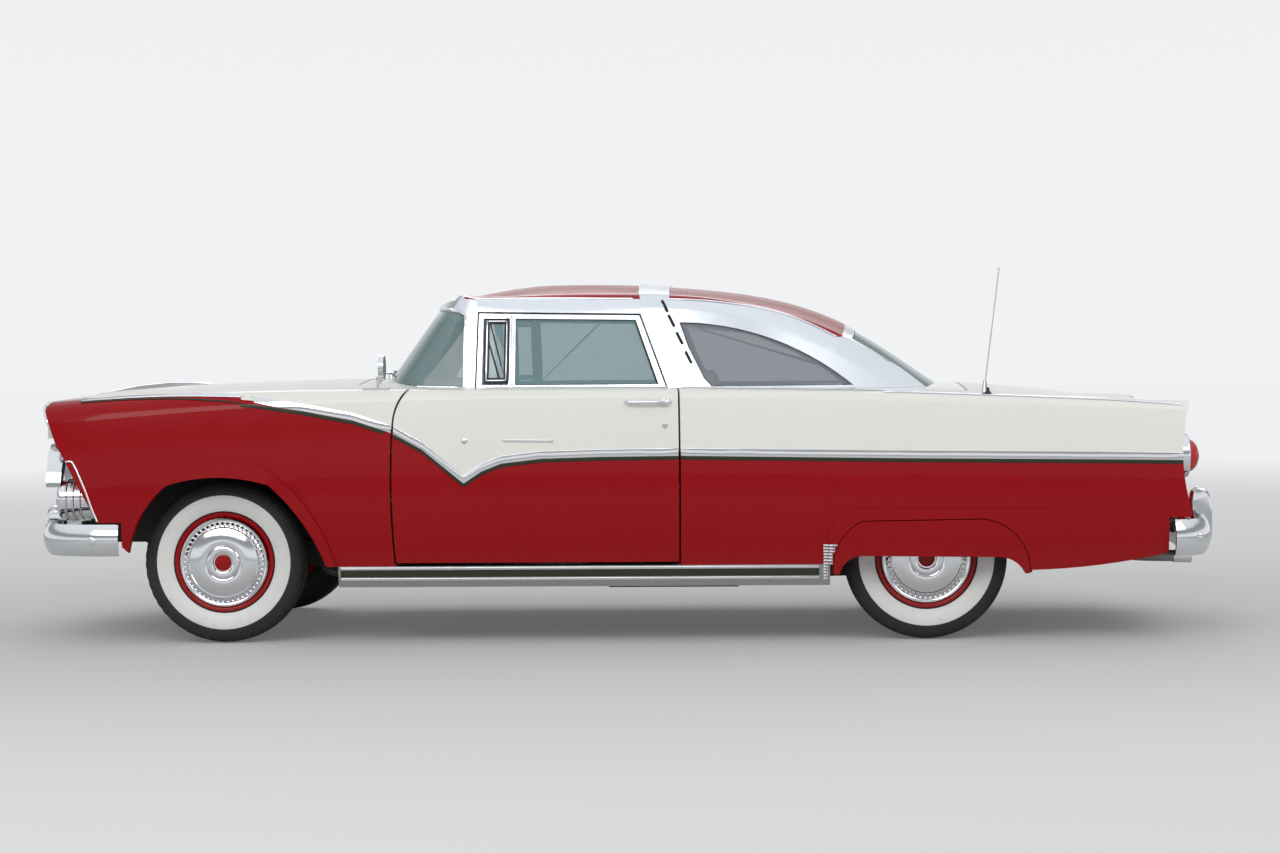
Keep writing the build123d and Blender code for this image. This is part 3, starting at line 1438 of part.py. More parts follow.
front_rail = (front(700), HALF_WIDTH - 602, 445)
rear_rail = (rear(-1000), REAR_RAIL_Y, REAR_RAIL_Z)
front_blade = bumper(NOSE_X - BUMPER_BULGE, front(417), 92, 120, 442, 132, front_rail)
rear_blade = bumper(TAIL_X + BUMPER_BULGE, rear(-1005), 62, 78, 428, 150, rear_rail)
save(front_blade, "front_bumper")
save(rear_blade, "rear_bumper")



def dome(rim_x, rim_radius, rise):
    """The arc of a lens from its rim to its middle, for a turned profile."""
    facing = 1 if rise > 0 else -1
    radius = (rim_radius**2 + rise**2) / (2 * abs(rise))
    half = atan2(rim_radius, radius - abs(rise)) / 2
    centre = rim_x + rise - facing * radius
    middle = (centre + facing * radius * cos(half), radius * sin(half))
    return ThreePointArc((rim_x, rim_radius), middle, (rim_x + rise, 0))


# Headlights: a bucket with a domed lens in each fender, behind a bright bezel
BEZEL_LEAN = atan2(54, 137)
BEZEL_THICKNESS = 14


def build_headlight():
    """The left headlight."""
    with BuildPart() as lamp:
        with BuildSketch(Plane(origin=(0, HEADLIGHT_Y, HEADLIGHT_Z), x_dir=(1, 0, 0), z_dir=(0, -1, 0))):
            with BuildLine():
                back = Line((front(600), 0), (front(600), 50))
                cone = Line(back @ 1, (front(650), HEADLIGHT_RADIUS))
                wall = Line(cone @ 1, (front(694), HEADLIGHT_RADIUS))
                lens = dome(front(694), HEADLIGHT_RADIUS, 32)
                Line(lens @ 1, back @ 0)
            make_face()
        revolve(axis=Axis((0, HEADLIGHT_Y, HEADLIGHT_Z), (1, 0, 0)))
        with BuildPart(mode=Mode.PRIVATE) as bezel:
            face = Plane(
                origin=(front(716.4) + 1.1 * SEAT, HEADLIGHT_Y, HEADLIGHT_Z),
                x_dir=(0, 1, 0),
                z_dir=(cos(BEZEL_LEAN), 0, -sin(BEZEL_LEAN)),
            )
            with BuildSketch(face):
                Circle(HEADLIGHT_RADIUS + 17)
                Circle(HEADLIGHT_RADIUS - 8, mode=Mode.SUBTRACT)
            extrude(amount=BEZEL_THICKNESS)
            rims = bezel.edges().filter_by(GeomType.CIRCLE).group_by(SortBy.RADIUS)[-1]
            fillet(rims.sort_by(Axis.X)[-1:], radius=6)
        add(bezel.part)
    return lamp.part


headlight = build_headlight()
with BuildPart() as headlights:
    add(headlight)
    add(mirrored(headlight))
save(headlights.part, "headlights")

# Place of the parking lamp pods
POD_Y = HALF_WIDTH - 226
POD_Z = 604
POD_RADIUS = 82

# Grille: a curved egg-crate screen in a rounded surround
GRILLE_BOTTOM_Z = 513
GRILLE_TOP_Z = HOOD_LIP_Z - LID_GAP
GRILLE_HALF_WIDTH = HALF_WIDTH - 164
GRILLE_BAR = 34
GRILLE_COLUMNS = 22
GRILLE_ROWS = 6
CRATE_BAR = 8
CRATE_DEPTH = 24


def grille_outline(x, inset=0):
    """Front outline of the grille's surround."""
    top = GRILLE_TOP_Z - inset
    low = GRILLE_BOTTOM_Z + inset
    half = GRILLE_HALF_WIDTH - inset
    with BuildSketch(cross_plane(x)) as outline:
        with BuildLine():
            crown = ThreePointArc((190 - half, top - 14), (0, top), (half - 190, top - 14))
            right = TangentArc(crown @ 1, (half, top - 190), tangent=crown % 1)
            left = TangentArc(crown @ 0, (-half, top - 190), tangent=-(crown % 0))
            low_right = TangentArc(right @ 1, (half - 110, low), tangent=right % 1)
            low_left = TangentArc(left @ 1, (110 - half, low), tangent=left % 1)
            Line(low_right @ 1, low_left @ 1)
        make_face()
    return outline.sketch


def front_face():
    """The bowed and raked space behind the front of the grille."""
    with BuildPart() as space:
        extrude(bow_outline(300, front(795), NOSE_BOW), amount=700)
        with BuildSketch(side_plane()):
            with BuildLine():
                Polyline(
                    (front(812), 900),
                    (front(800), 840),
                    (front(770), 470),
                    (front(500), 470),
                    (front(500), 900),
                    close=True,
                )
            make_face()
        extrude(amount=HALF_WIDTH, both=True, mode=Mode.INTERSECT)
    return space.part


with BuildPart() as fender_front:
    extrude(fender_outline(-SEAT), amount=HALF_WIDTH + 50, both=True)
    with BuildSketch(Plane.XY):
        with Locations((front(600), 0)):
            Rectangle(1200, 2 * (HOOD_HALF_WIDTH - 14))
    extrude(amount=HEIGHT, mode=Mode.SUBTRACT)

with BuildPart() as grille:
    extrude(grille_outline(front(690)), amount=300)
    extrude(grille_outline(front(690), GRILLE_BAR), amount=300, mode=Mode.SUBTRACT)
    add(front_face(), mode=Mode.INTERSECT)
    with BuildPart(mode=Mode.PRIVATE) as crate:
        with BuildSketch(side_plane()):
            with BuildLine():
                face = ThreePointArc(
                    (front(748), GRILLE_TOP_Z), (front(716), 665), (front(744), GRILLE_BOTTOM_Z)
                )
                low = Line(face @ 1, (front(744) - CRATE_DEPTH, GRILLE_BOTTOM_Z))
                back = ThreePointArc(
                    low @ 1, (front(716) - CRATE_DEPTH, 665), (front(748) - CRATE_DEPTH, GRILLE_TOP_Z)
                )
                Line(back @ 1, face @ 0)
            make_face()
        extrude(amount=HOOD_HALF_WIDTH - 16, both=True)
        pitch_y = 2 * (HOOD_HALF_WIDTH - 16) / GRILLE_COLUMNS
        pitch_z = (GRILLE_TOP_Z - GRILLE_BOTTOM_Z - 2 * GRILLE_BAR) / GRILLE_ROWS
        middle_z = (GRILLE_TOP_Z + GRILLE_BOTTOM_Z) / 2
        with BuildSketch(Plane(origin=(front(600), 0, middle_z), x_dir=(0, 1, 0), z_dir=(1, 0, 0))):
            with GridLocations(pitch_y, pitch_z, GRILLE_COLUMNS, GRILLE_ROWS):
                Rectangle(pitch_y - CRATE_BAR, pitch_z - CRATE_BAR)
        extrude(amount=300, mode=Mode.SUBTRACT)
        extrude(grille_outline(front(600), GRILLE_BAR - 2), amount=300, mode=Mode.INTERSECT)
    add(crate.part)
    add(fender_front.part, mode=Mode.SUBTRACT)
    with BuildSketch(cross_plane(front(500))):
        with Locations((POD_Y, POD_Z), (-POD_Y, POD_Z)):
            Circle(POD_RADIUS + SEAT)
    extrude(amount=400, mode=Mode.SUBTRACT)
save(grille.part, "grille")


# Parking lamps: a bright pod at each end of the grille


def build_parking_lamp():
    """The left parking lamp."""
    with BuildPart() as pod:
        with BuildSketch(Plane(origin=(0, POD_Y, POD_Z), x_dir=(1, 0, 0), z_dir=(0, -1, 0))):
            with BuildLine():
                back = Line((front(500), 0), (front(500), POD_RADIUS))
                wall = Line(back @ 1, (front(686), POD_RADIUS))
                brow = ThreePointArc(wall @ 1, (front(704), POD_RADIUS - 8), (front(708), POD_RADIUS - 22))
                step = Line(brow @ 1, (front(692), POD_RADIUS - 24))
                lens = dome(front(692), POD_RADIUS - 24, 24)
                Line(lens @ 1, back @ 0)
            make_face()
        revolve(axis=Axis((0, POD_Y, POD_Z), (1, 0, 0)))
        add(fender_front.part, mode=Mode.SUBTRACT)
    return pod.part


pod = build_parking_lamp()
with BuildPart() as parking_lamps:
    add(pod)
    add(mirrored(pod))
save(parking_lamps.part, "parking_lamps")

# Tail lights: round lenses with a bright rim, low on each quarter panel
def build_tail_light():
    """The left tail light, its rim cut to lie on the quarter panel."""
    face = rear(-1060)
    with BuildPart() as lamp:
        with BuildPart(mode=Mode.PRIVATE) as rim:
            with BuildSketch(cross_plane(rear(-1030))):
                with Locations((TAIL_LIGHT_Y, TAIL_LIGHT_Z)):
                    Circle(TAIL_LIGHT_RADIUS + 9)
                    Circle(TAIL_LIGHT_RADIUS - 12, mode=Mode.SUBTRACT)
            extrude(amount=face - 16 - rear(-1030))
            fillet(rim.edges().group_by(Axis.X)[0].sort_by(SortBy.RADIUS)[-1:], radius=7)
            extrude(quarter_outline(-SEAT), amount=WIDTH, both=True, mode=Mode.SUBTRACT)
        add(rim.part)
        with BuildSketch(Plane(origin=(0, TAIL_LIGHT_Y, TAIL_LIGHT_Z), x_dir=(1, 0, 0), z_dir=(0, -1, 0))):
            with BuildLine():
                back = Line((rear(-1010), 0), (rear(-1010), TAIL_LIGHT_RADIUS))
                wall = Line(back @ 1, (face, TAIL_LIGHT_RADIUS))
                shoulder = Line(wall @ 1, (face, TAIL_LIGHT_RADIUS - 11))
                lens = dome(face, TAIL_LIGHT_RADIUS - 11, -62)
                Line(lens @ 1, back @ 0)
            make_face()
        revolve(axis=Axis((0, TAIL_LIGHT_Y, TAIL_LIGHT_Z), (1, 0, 0)))
    return lamp.part


tail_light = build_tail_light()
with BuildPart() as tail_lights:
    add(tail_light)
    add(mirrored(tail_light))
save(tail_lights.part, "tail_lights")

# Dashboard under the cowl's rear edge, with the steering column
COLUMN_Y = HALF_WIDTH - 594
COLUMN_FOOT = (FIREWALL_X - SEAT, 660)
COLUMN_LENGTH = 600
COLUMN_RAKE = 27
COLUMN_RADIUS = 22
DASH_HALF_WIDTH = CABIN_HALF_WIDTH - 55
column_way = (-cos(radians(COLUMN_RAKE)), 0, sin(radians(COLUMN_RAKE)))
column_foot = (COLUMN_FOOT[0], COLUMN_Y, COLUMN_FOOT[1])
wheel_hub = tuple(foot + (COLUMN_LENGTH + 12) * way for foot, way in zip(column_foot, column_way))

with BuildPart() as dashboard:
    with BuildSketch(side_plane()):
        with BuildLine():
            low = Line((COWL_REAR_X + 66, 842), (COWL_REAR_X - 20, 842))
            roll = ThreePointArc(
                low @ 1, (COWL_REAR_X - 52, 930), (COWL_REAR_X - 16, 1016)
            )
            top = Line(roll @ 1, (COWL_REAR_X + 4, 1020))
            step = Line(top @ 1, (COWL_REAR_X + 4, BELT_Z + 60))
            over = Line(step @ 1, (COWL_REAR_X + 66, BELT_Z + 60))
            Line(over @ 1, low @ 0)
        make_face()
    extrude(amount=DASH_HALF_WIDTH, both=True)
    add(UNDER_HOOD, mode=Mode.INTERSECT)
    with BuildPart(mode=Mode.PRIVATE) as column:
        with BuildSketch(Plane(origin=column_foot, z_dir=column_way)):
            Circle(COLUMN_RADIUS)
        extrude(amount=COLUMN_LENGTH)
        with Locations((FIREWALL_X - SEAT + 500, COLUMN_Y, 600)):
            Box(1000, 200, 800, mode=Mode.SUBTRACT)
    add(column.part)
save(dashboard.part, "dashboard")

with BuildPart() as steering_wheel:
    wheel_plane = Plane(origin=wheel_hub, x_dir=(0, 1, 0), z_dir=column_way)
    rim_plane = Plane(origin=wheel_hub, x_dir=(0, 1, 0), z_dir=wheel_plane.y_dir)
    with BuildSketch(rim_plane):
        with Locations((STEERING_WHEEL_RADIUS - 11, 0)):
            Circle(11)
    revolve(axis=Axis(wheel_hub, column_way))
    with BuildSketch(wheel_plane.offset(SEAT - 12)):
        Circle(38)
    extrude(amount=36)
    with BuildSketch(wheel_plane.offset(-4)):
        Rectangle(2 * STEERING_WHEEL_RADIUS - 30, 26)
    extrude(amount=10)
save(steering_wheel.part, "steering_wheel")

# Front seat: a cushion over the tunnel with hinge plates, and two backs
SEAT_HALF_WIDTH = CABIN_HALF_WIDTH - 75
SEAT_REAR_X = DOOR_REAR_X - 70
CUSHION_TOP_Z = 600
BACK_PIVOT_X = SEAT_REAR_X + 45
BACK_PIVOT_Z = CUSHION_TOP_Z + 90
BACK_LEAN = radians(12)
HINGE_PLATE = 8
with BuildPart() as front_seat_base:
    with Locations((SEAT_REAR_X + 240, 0, (CUSHION_TOP_Z + FLOOR_Z + SHEET + SEAT) / 2)):
        Box(480, 2 * SEAT_HALF_WIDTH, CUSHION_TOP_Z - FLOOR_Z - SHEET - SEAT)
    fillet(front_seat_base.edges().group_by(Axis.Z)[-1], radius=45)
    extrude(tunnel_outline(SEAT_REAR_X - 10, -SEAT), amount=520, mode=Mode.SUBTRACT)
    for y in (SEAT_HALF_WIDTH + HINGE_PLATE / 2, 0, -SEAT_HALF_WIDTH - HINGE_PLATE / 2):
        with Locations((BACK_PIVOT_X, y, (CUSHION_TOP_Z - 100 + BACK_PIVOT_Z + 24) / 2)):
            Box(56, HINGE_PLATE, BACK_PIVOT_Z + 24 - CUSHION_TOP_Z + 100)
save(front_seat_base.part, "front_seat_base")


def build_seat_back():
    """The left back of the front seat."""
    with BuildPart() as back:
        lean = Plane(
            origin=(BACK_PIVOT_X, 0, BACK_PIVOT_Z),
            x_dir=(cos(BACK_LEAN), 0, sin(BACK_LEAN)),
            z_dir=(0, -1, 0),
        )
        with BuildSketch(lean.offset(-HINGE_PLATE / 2 - SEAT)):
            with BuildLine():
                foot = Line((-66, -48), (58, -48))
                face = ThreePointArc(foot @ 1, (66, 200), (46, 420))
                crown = TangentArc(face @ 1, (-44, 420), tangent=face % 1)
                Line(crown @ 1, foot @ 0)
            make_face()
        extrude(amount=-(SEAT_HALF_WIDTH - HINGE_PLATE / 2 - 2 * SEAT))
    return back.part


seat_back = build_seat_back()
save(seat_back, "front_seat_back_left")
save(mirrored(seat_back), "front_seat_back_right")

# Rear seat: its cushion lies between the wheelhouses
REAR_SEAT_FRONT_X = rear(640)
with BuildPart() as rear_seat:
    with BuildSketch(side_plane()):
        with BuildLine():
            Polyline(
                (REAR_SEAT_FRONT_X, TUNNEL_TOP_Z + SEAT),
                (REAR_SEAT_FRONT_X, 640),
                (REAR_SEAT_FRONT_X - 40, 668),
                (rear(190), 640),
                (rear(190), REAR_STEP_Z + SHEET + SEAT),
                (rear(404), REAR_STEP_Z + SHEET + SEAT),
                (rear(442), TUNNEL_TOP_Z + SEAT),
                close=True,
            )
        make_face()
    extrude(amount=WHEELHOUSE_INNER_Y - SHEET - 6, both=True)
    for low_z, half in (
        (REAR_STEP_Z + SHEET + SEAT, WHEELHOUSE_INNER_Y - SHEET - 6),
        (752, CABIN_HALF_WIDTH - 30),
    ):
        with BuildSketch(side_plane()):
            with BuildLine():
                Polyline(
                    (rear(200), low_z),
                    (rear(120), 1000),
                    (rear(60), 1020),
                    (rear(34), 990),
                    (rear(34), low_z),
                    close=True,
                )
            make_face()
        extrude(amount=half, both=True)
save(rear_seat.part, "rear_seat")

# Wheels: rim, dished disc, drum and bright cover, and the tyre round them.
# Points are distance outward from the wheel's middle, and radius.
RIM_HALF = 68
HUB_BORE = 16.05
WHEEL_POINTS = [
    (-RIM_HALF, RIM_FLANGE_RADIUS),
    (-RIM_HALF + 6, RIM_FLANGE_RADIUS),
    (-RIM_HALF + 6, RIM_SEAT_RADIUS),
    (RIM_HALF - 6, RIM_SEAT_RADIUS),
    (RIM_HALF - 6, RIM_FLANGE_RADIUS),
    (RIM_HALF, RIM_FLANGE_RADIUS),
    (RIM_HALF, HUBCAP_RADIUS + 8),
    (RIM_HALF + 4, HUBCAP_RADIUS),
    (RIM_HALF + 12, HUBCAP_RADIUS - 14),
    (RIM_HALF + 8, HUBCAP_RADIUS - 34),
    (RIM_HALF + 6, HUBCAP_RADIUS - 64),
    (RIM_HALF + 18, HUBCAP_RADIUS - 84),
    (RIM_HALF + 22, HUBCAP_RADIUS - 120),
    (RIM_HALF + 34, HUBCAP_RADIUS - 138),
    (RIM_HALF + 36, 0),
    (2, 0),
    (2, HUB_BORE),
    (-48, HUB_BORE),
    (-48, 140),
    (-4, 140),
    (-4, RIM_SEAT_RADIUS - 8),
    (-RIM_HALF, RIM_SEAT_RADIUS - 8),
]


def build_wheel(x, y):
    """A left wheel about its own middle."""
    with BuildPart() as wheel:
        with BuildSketch(Plane(origin=(x, y, TYRE_RADIUS), x_dir=(0, 1, 0), z_dir=(1, 0, 0))):
            with BuildLine():
                Polyline(*WHEEL_POINTS, close=True)
            make_face()
        revolve(axis=Axis((x, y, TYRE_RADIUS), (0, 1, 0)))
    return wheel.part


def build_tyre(x, y):
    """A tyre seated on the rim."""
    bead = RIM_HALF - 6 - SEAT
    with BuildPart() as tyre:
        with BuildSketch(Plane(origin=(x, y, TYRE_RADIUS), x_dir=(0, 1, 0), z_dir=(1, 0, 0))):
            with BuildLine():
                Line((-bead, RIM_SEAT_RADIUS + SEAT), (bead, RIM_SEAT_RADIUS + SEAT))
                for sign in (1, -1):
                    wall = Line(
                        (sign * bead, RIM_SEAT_RADIUS + SEAT), (sign * bead, RIM_FLANGE_RADIUS + 2)
                    )
                    bulge = ThreePointArc(
                        wall @ 1,
                        (sign * TYRE_WIDTH / 2, (RIM_FLANGE_RADIUS + TYRE_RADIUS) / 2 - 4),
                        (sign * (TYRE_WIDTH / 2 - 18), TYRE_RADIUS - 14),
                    )
                    Line(bulge @ 1, (sign * (TYRE_WIDTH / 2 - 27), TYRE_RADIUS - 6))
                ThreePointArc(
                    (TYRE_WIDTH / 2 - 27, TYRE_RADIUS - 6),
                    (0, TYRE_RADIUS),
                    (27 - TYRE_WIDTH / 2, TYRE_RADIUS - 6),
                )
            make_face()
        revolve(axis=Axis((x, y, TYRE_RADIUS), (0, 1, 0)))
    return tyre.part


for end, x, y in (("front", FRONT_AXLE_X, FRONT_TRACK / 2), ("rear", REAR_AXLE_X, REAR_TRACK / 2)):
    wheel = build_wheel(x, y)
    tyre = build_tyre(x, y)
    save(wheel, f"wheel_{end}_left")
    save(mirrored(wheel), f"wheel_{end}_right")
    save(tyre, f"tyre_{end}_left")
    save(mirrored(tyre), f"tyre_{end}_right")

knuckle = build_knuckle()
save(knuckle, "knuckle_left")
save(mirrored(knuckle), "knuckle_right")

# Mirror on the left fender, and the aerial on the left quarter panel
MIRROR_X = FIREWALL_X + 64
MIRROR_Y = HALF_WIDTH - 104
with BuildPart() as mirror_head:
    with BuildSketch(Plane(origin=(MIRROR_X, MIRROR_Y, BELT_Z - 6), z_dir=(0, 0, 1))):
        Ellipse(58, 20)
    extrude(amount=16)
    with BuildSketch(Plane(origin=(MIRROR_X, MIRROR_Y, BELT_Z + 4), z_dir=(-0.25, 0, 1))):
        Circle(7)
    extrude(amount=64)
    with BuildSketch(Plane(origin=(MIRROR_X - 34, MIRROR_Y, BELT_Z + 94), z_dir=(1, 0, 0))):
        Circle(51)
    extrude(amount=22)
    add(BODY_SEAT, mode=Mode.SUBTRACT)
save(mirror_head.part, "mirror")

AERIAL_X = rear(-240)
AERIAL_Y = HALF_WIDTH - 104
with BuildPart() as antenna:
    with BuildSketch(Plane.XY.offset(BELT_Z - 60)):
        with Locations((AERIAL_X, AERIAL_Y)):
            Circle(20)
    with BuildSketch(Plane.XY.offset(BELT_Z + 20)):
        with Locations((AERIAL_X, AERIAL_Y)):
            Circle(7)
    loft()
    with BuildSketch(Plane(origin=(AERIAL_X, AERIAL_Y, BELT_Z + 10), z_dir=(-60, 0, 480))):
        Circle(3)
    extrude(amount=480)
    add(BODY_SEAT, mode=Mode.SUBTRACT)
save(antenna.part, "antenna")
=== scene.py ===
"""The looks of a 1950s two-door hardtop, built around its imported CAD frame."""

from __future__ import annotations

import logging
import math
from dataclasses import dataclass
from enum import Enum
from typing import Callable, Sequence, Union

import bmesh
import bpy
from mathutils import Matrix, Vector
from mathutils.bvhtree import BVHTree


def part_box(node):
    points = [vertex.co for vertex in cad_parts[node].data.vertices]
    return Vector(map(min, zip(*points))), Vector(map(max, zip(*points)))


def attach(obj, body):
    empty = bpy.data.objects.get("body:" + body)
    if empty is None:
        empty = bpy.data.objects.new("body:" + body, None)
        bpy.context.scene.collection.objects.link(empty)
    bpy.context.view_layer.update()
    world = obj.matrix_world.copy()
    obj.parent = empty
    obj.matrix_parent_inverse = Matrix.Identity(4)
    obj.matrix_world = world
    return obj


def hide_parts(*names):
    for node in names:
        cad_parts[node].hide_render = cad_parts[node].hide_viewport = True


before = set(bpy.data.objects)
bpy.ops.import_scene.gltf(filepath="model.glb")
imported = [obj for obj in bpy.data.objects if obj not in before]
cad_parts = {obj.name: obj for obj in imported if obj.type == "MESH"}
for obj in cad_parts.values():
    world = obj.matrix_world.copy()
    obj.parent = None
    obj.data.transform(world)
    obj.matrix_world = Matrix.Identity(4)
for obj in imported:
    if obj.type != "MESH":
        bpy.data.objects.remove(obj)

log = logging.getLogger("car")

Piece = bpy.types.Object
Socket = bpy.types.NodeSocket
Pair = tuple[float, float]
Place = tuple[float, float, float]
Colour = tuple[float, float, float]
Spot = Union[Place, Vector]
Term = Union["Field", float, Socket]

AHEAD, LEFT, UP = (1, 0, 0), (0, 1, 0), (0, 0, 1)
BACK, RIGHT, DOWN = (-1, 0, 0), (0, -1, 0), (0, 0, -1)
TURN = 2 * math.pi
MERGE_DISTANCE = 0.00002
TRIM_STAND = 0.0006
GLASS_STAND = (0, 0.003, 0)
DOOR_CUT_FRONT = 0.926
DOOR_CUT_REAR = -0.258
NOSE_CUT = 2.25
TAIL_CUT = -2.35
BUMPER_REACH = 2.519

# Half lengths of the car and of the roof, for tables that are read in a shader
CAR_REACH = 2.6
ROOF_REACH = 1.2

# Height of the paint split along the car, and its distance from the centre
# line where it runs along the crest of the front fender
SPLIT_HEIGHTS = [
    (1.706, 1.036), (1.501, 1.017), (1.296, 0.987), (1.091, 0.948), (0.927, 0.894),
    (0.804, 0.827), (0.702, 0.744), (0.632, 0.686), (0.558, 0.735), (0.476, 0.767),
    (0.312, 0.786), (0.066, 0.792), (-0.262, 0.794), (-1.164, 0.778), (-1.984, 0.767),
    (-2.390, 0.760),
]
SPLIT_WIDTHS = [(1.560, 0.893), (1.706, 0.874), (1.850, 0.852), (2.000, 0.832), (2.260, 0.800)]
CREST_FROM = 1.56

# Lower edge of the roof's red paint, over the polished sides
ROOF_LINE = [
    (-0.917, 1.263), (-0.780, 1.333), (-0.700, 1.362), (-0.571, 1.394), (-0.361, 1.421),
    (-0.172, 1.4286), (-0.060, 1.4295), (0.300, 1.436), (0.604, 1.435), (0.650, 1.436),
    (0.665, 1.470), (0.900, 1.500),
]

CREAM_PAINT = (0.79, 0.775, 0.73)
POLISHED = (0.80, 0.83, 0.87)
LINING = (0.55, 0.53, 0.47)


class Side(Enum):
    """The two sides of the car, and the sign of y on each."""

    LEFT = 1
    RIGHT = -1

    @property
    def word(self) -> str:
        """The side's name in a piece name."""
        return self.name.lower()


class Kind(Enum):
    """What a selection in edit mode is made of."""

    VERTS = "VERT"
    FACES = "FACE"


def along(table: Sequence[Pair], x: float) -> float:
    """Reads a table of points at x, with straight lines between them.

    Args:
        table: Pairs of x and value, in falling or rising order of x.
        x: The place to read.

    Returns:
        The value at x, held at the table's ends.
    """
    rows = sorted(table)
    if x <= rows[0][0]:
        return rows[0][1]
    for (x0, v0), (x1, v1) in zip(rows, rows[1:]):
        if x <= x1:
            return v0 + (v1 - v0) * (x - x0) / (x1 - x0)
    return rows[-1][1]


def spaced(start: float, end: float, count: int) -> list[float]:
    """The ends of a length and the even steps between them."""
    return [start + (end - start) * i / count for i in range(count + 1)]


def dim(colour: Colour, share: float) -> Colour:
    """A colour at a share of its brightness."""
    return tuple(share * part for part in colour)


def cad(node: str) -> Piece:
    """The object of a CAD node."""
    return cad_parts[node]


# ---------------------------------------------------------------- materials


class Field:
    """A value that varies over a surface, with Math nodes behind its operators."""

    def __init__(self, nodes: "Nodes", socket: Socket) -> None:
        """Wraps one socket of a material's nodes.

        Args:
            nodes: The material's nodes.
            socket: The output that carries the value.
        """
        self.nodes = nodes
        self.socket = socket

    def math(self, operation: str, *others: Term, swapped: bool = False) -> "Field":
        """Adds one Math node.

        Args:
            operation: Its operation.
            others: The other terms.
            swapped: True if this value comes last.

        Returns:
            The node's result.
        """
        terms = [self, *others]
        if swapped:
            terms.reverse()
        made = self.nodes.node("ShaderNodeMath", dict(enumerate(terms)), operation=operation)
        return Field(self.nodes, made.outputs[0])

    def __add__(self, other: Term) -> "Field":
        """This value plus another."""
        return self.math("ADD", other)

    __radd__ = __add__

    def __sub__(self, other: Term) -> "Field":
        """This value less another."""
        return self.math("SUBTRACT", other)

    def __rsub__(self, other: Term) -> "Field":
        """Another value less this one."""
        return self.math("SUBTRACT", other, swapped=True)

    def __mul__(self, other: Term) -> "Field":
        """This value times another."""
        return self.math("MULTIPLY", other)

    __rmul__ = __mul__

    def __truediv__(self, other: Term) -> "Field":
        """This value over another."""
        return self.math("DIVIDE", other)

    def __gt__(self, other: Term) -> "Field":
        """One where this value is the larger."""
        return self.math("GREATER_THAN", other)

    def __lt__(self, other: Term) -> "Field":
        """One where this value is the smaller."""
        return self.math("LESS_THAN", other)

    def __abs__(self) -> "Field":
        """The value without its sign."""
        return self.math("ABSOLUTE")

    def larger(self, other: Term) -> "Field":
        """The larger of two values."""
        return self.math("MAXIMUM", other)

    def clamped(self) -> "Field":
        """The value held between 0 and 1."""
        return self.math("MAXIMUM", 0.0).math("MINIMUM", 1.0)


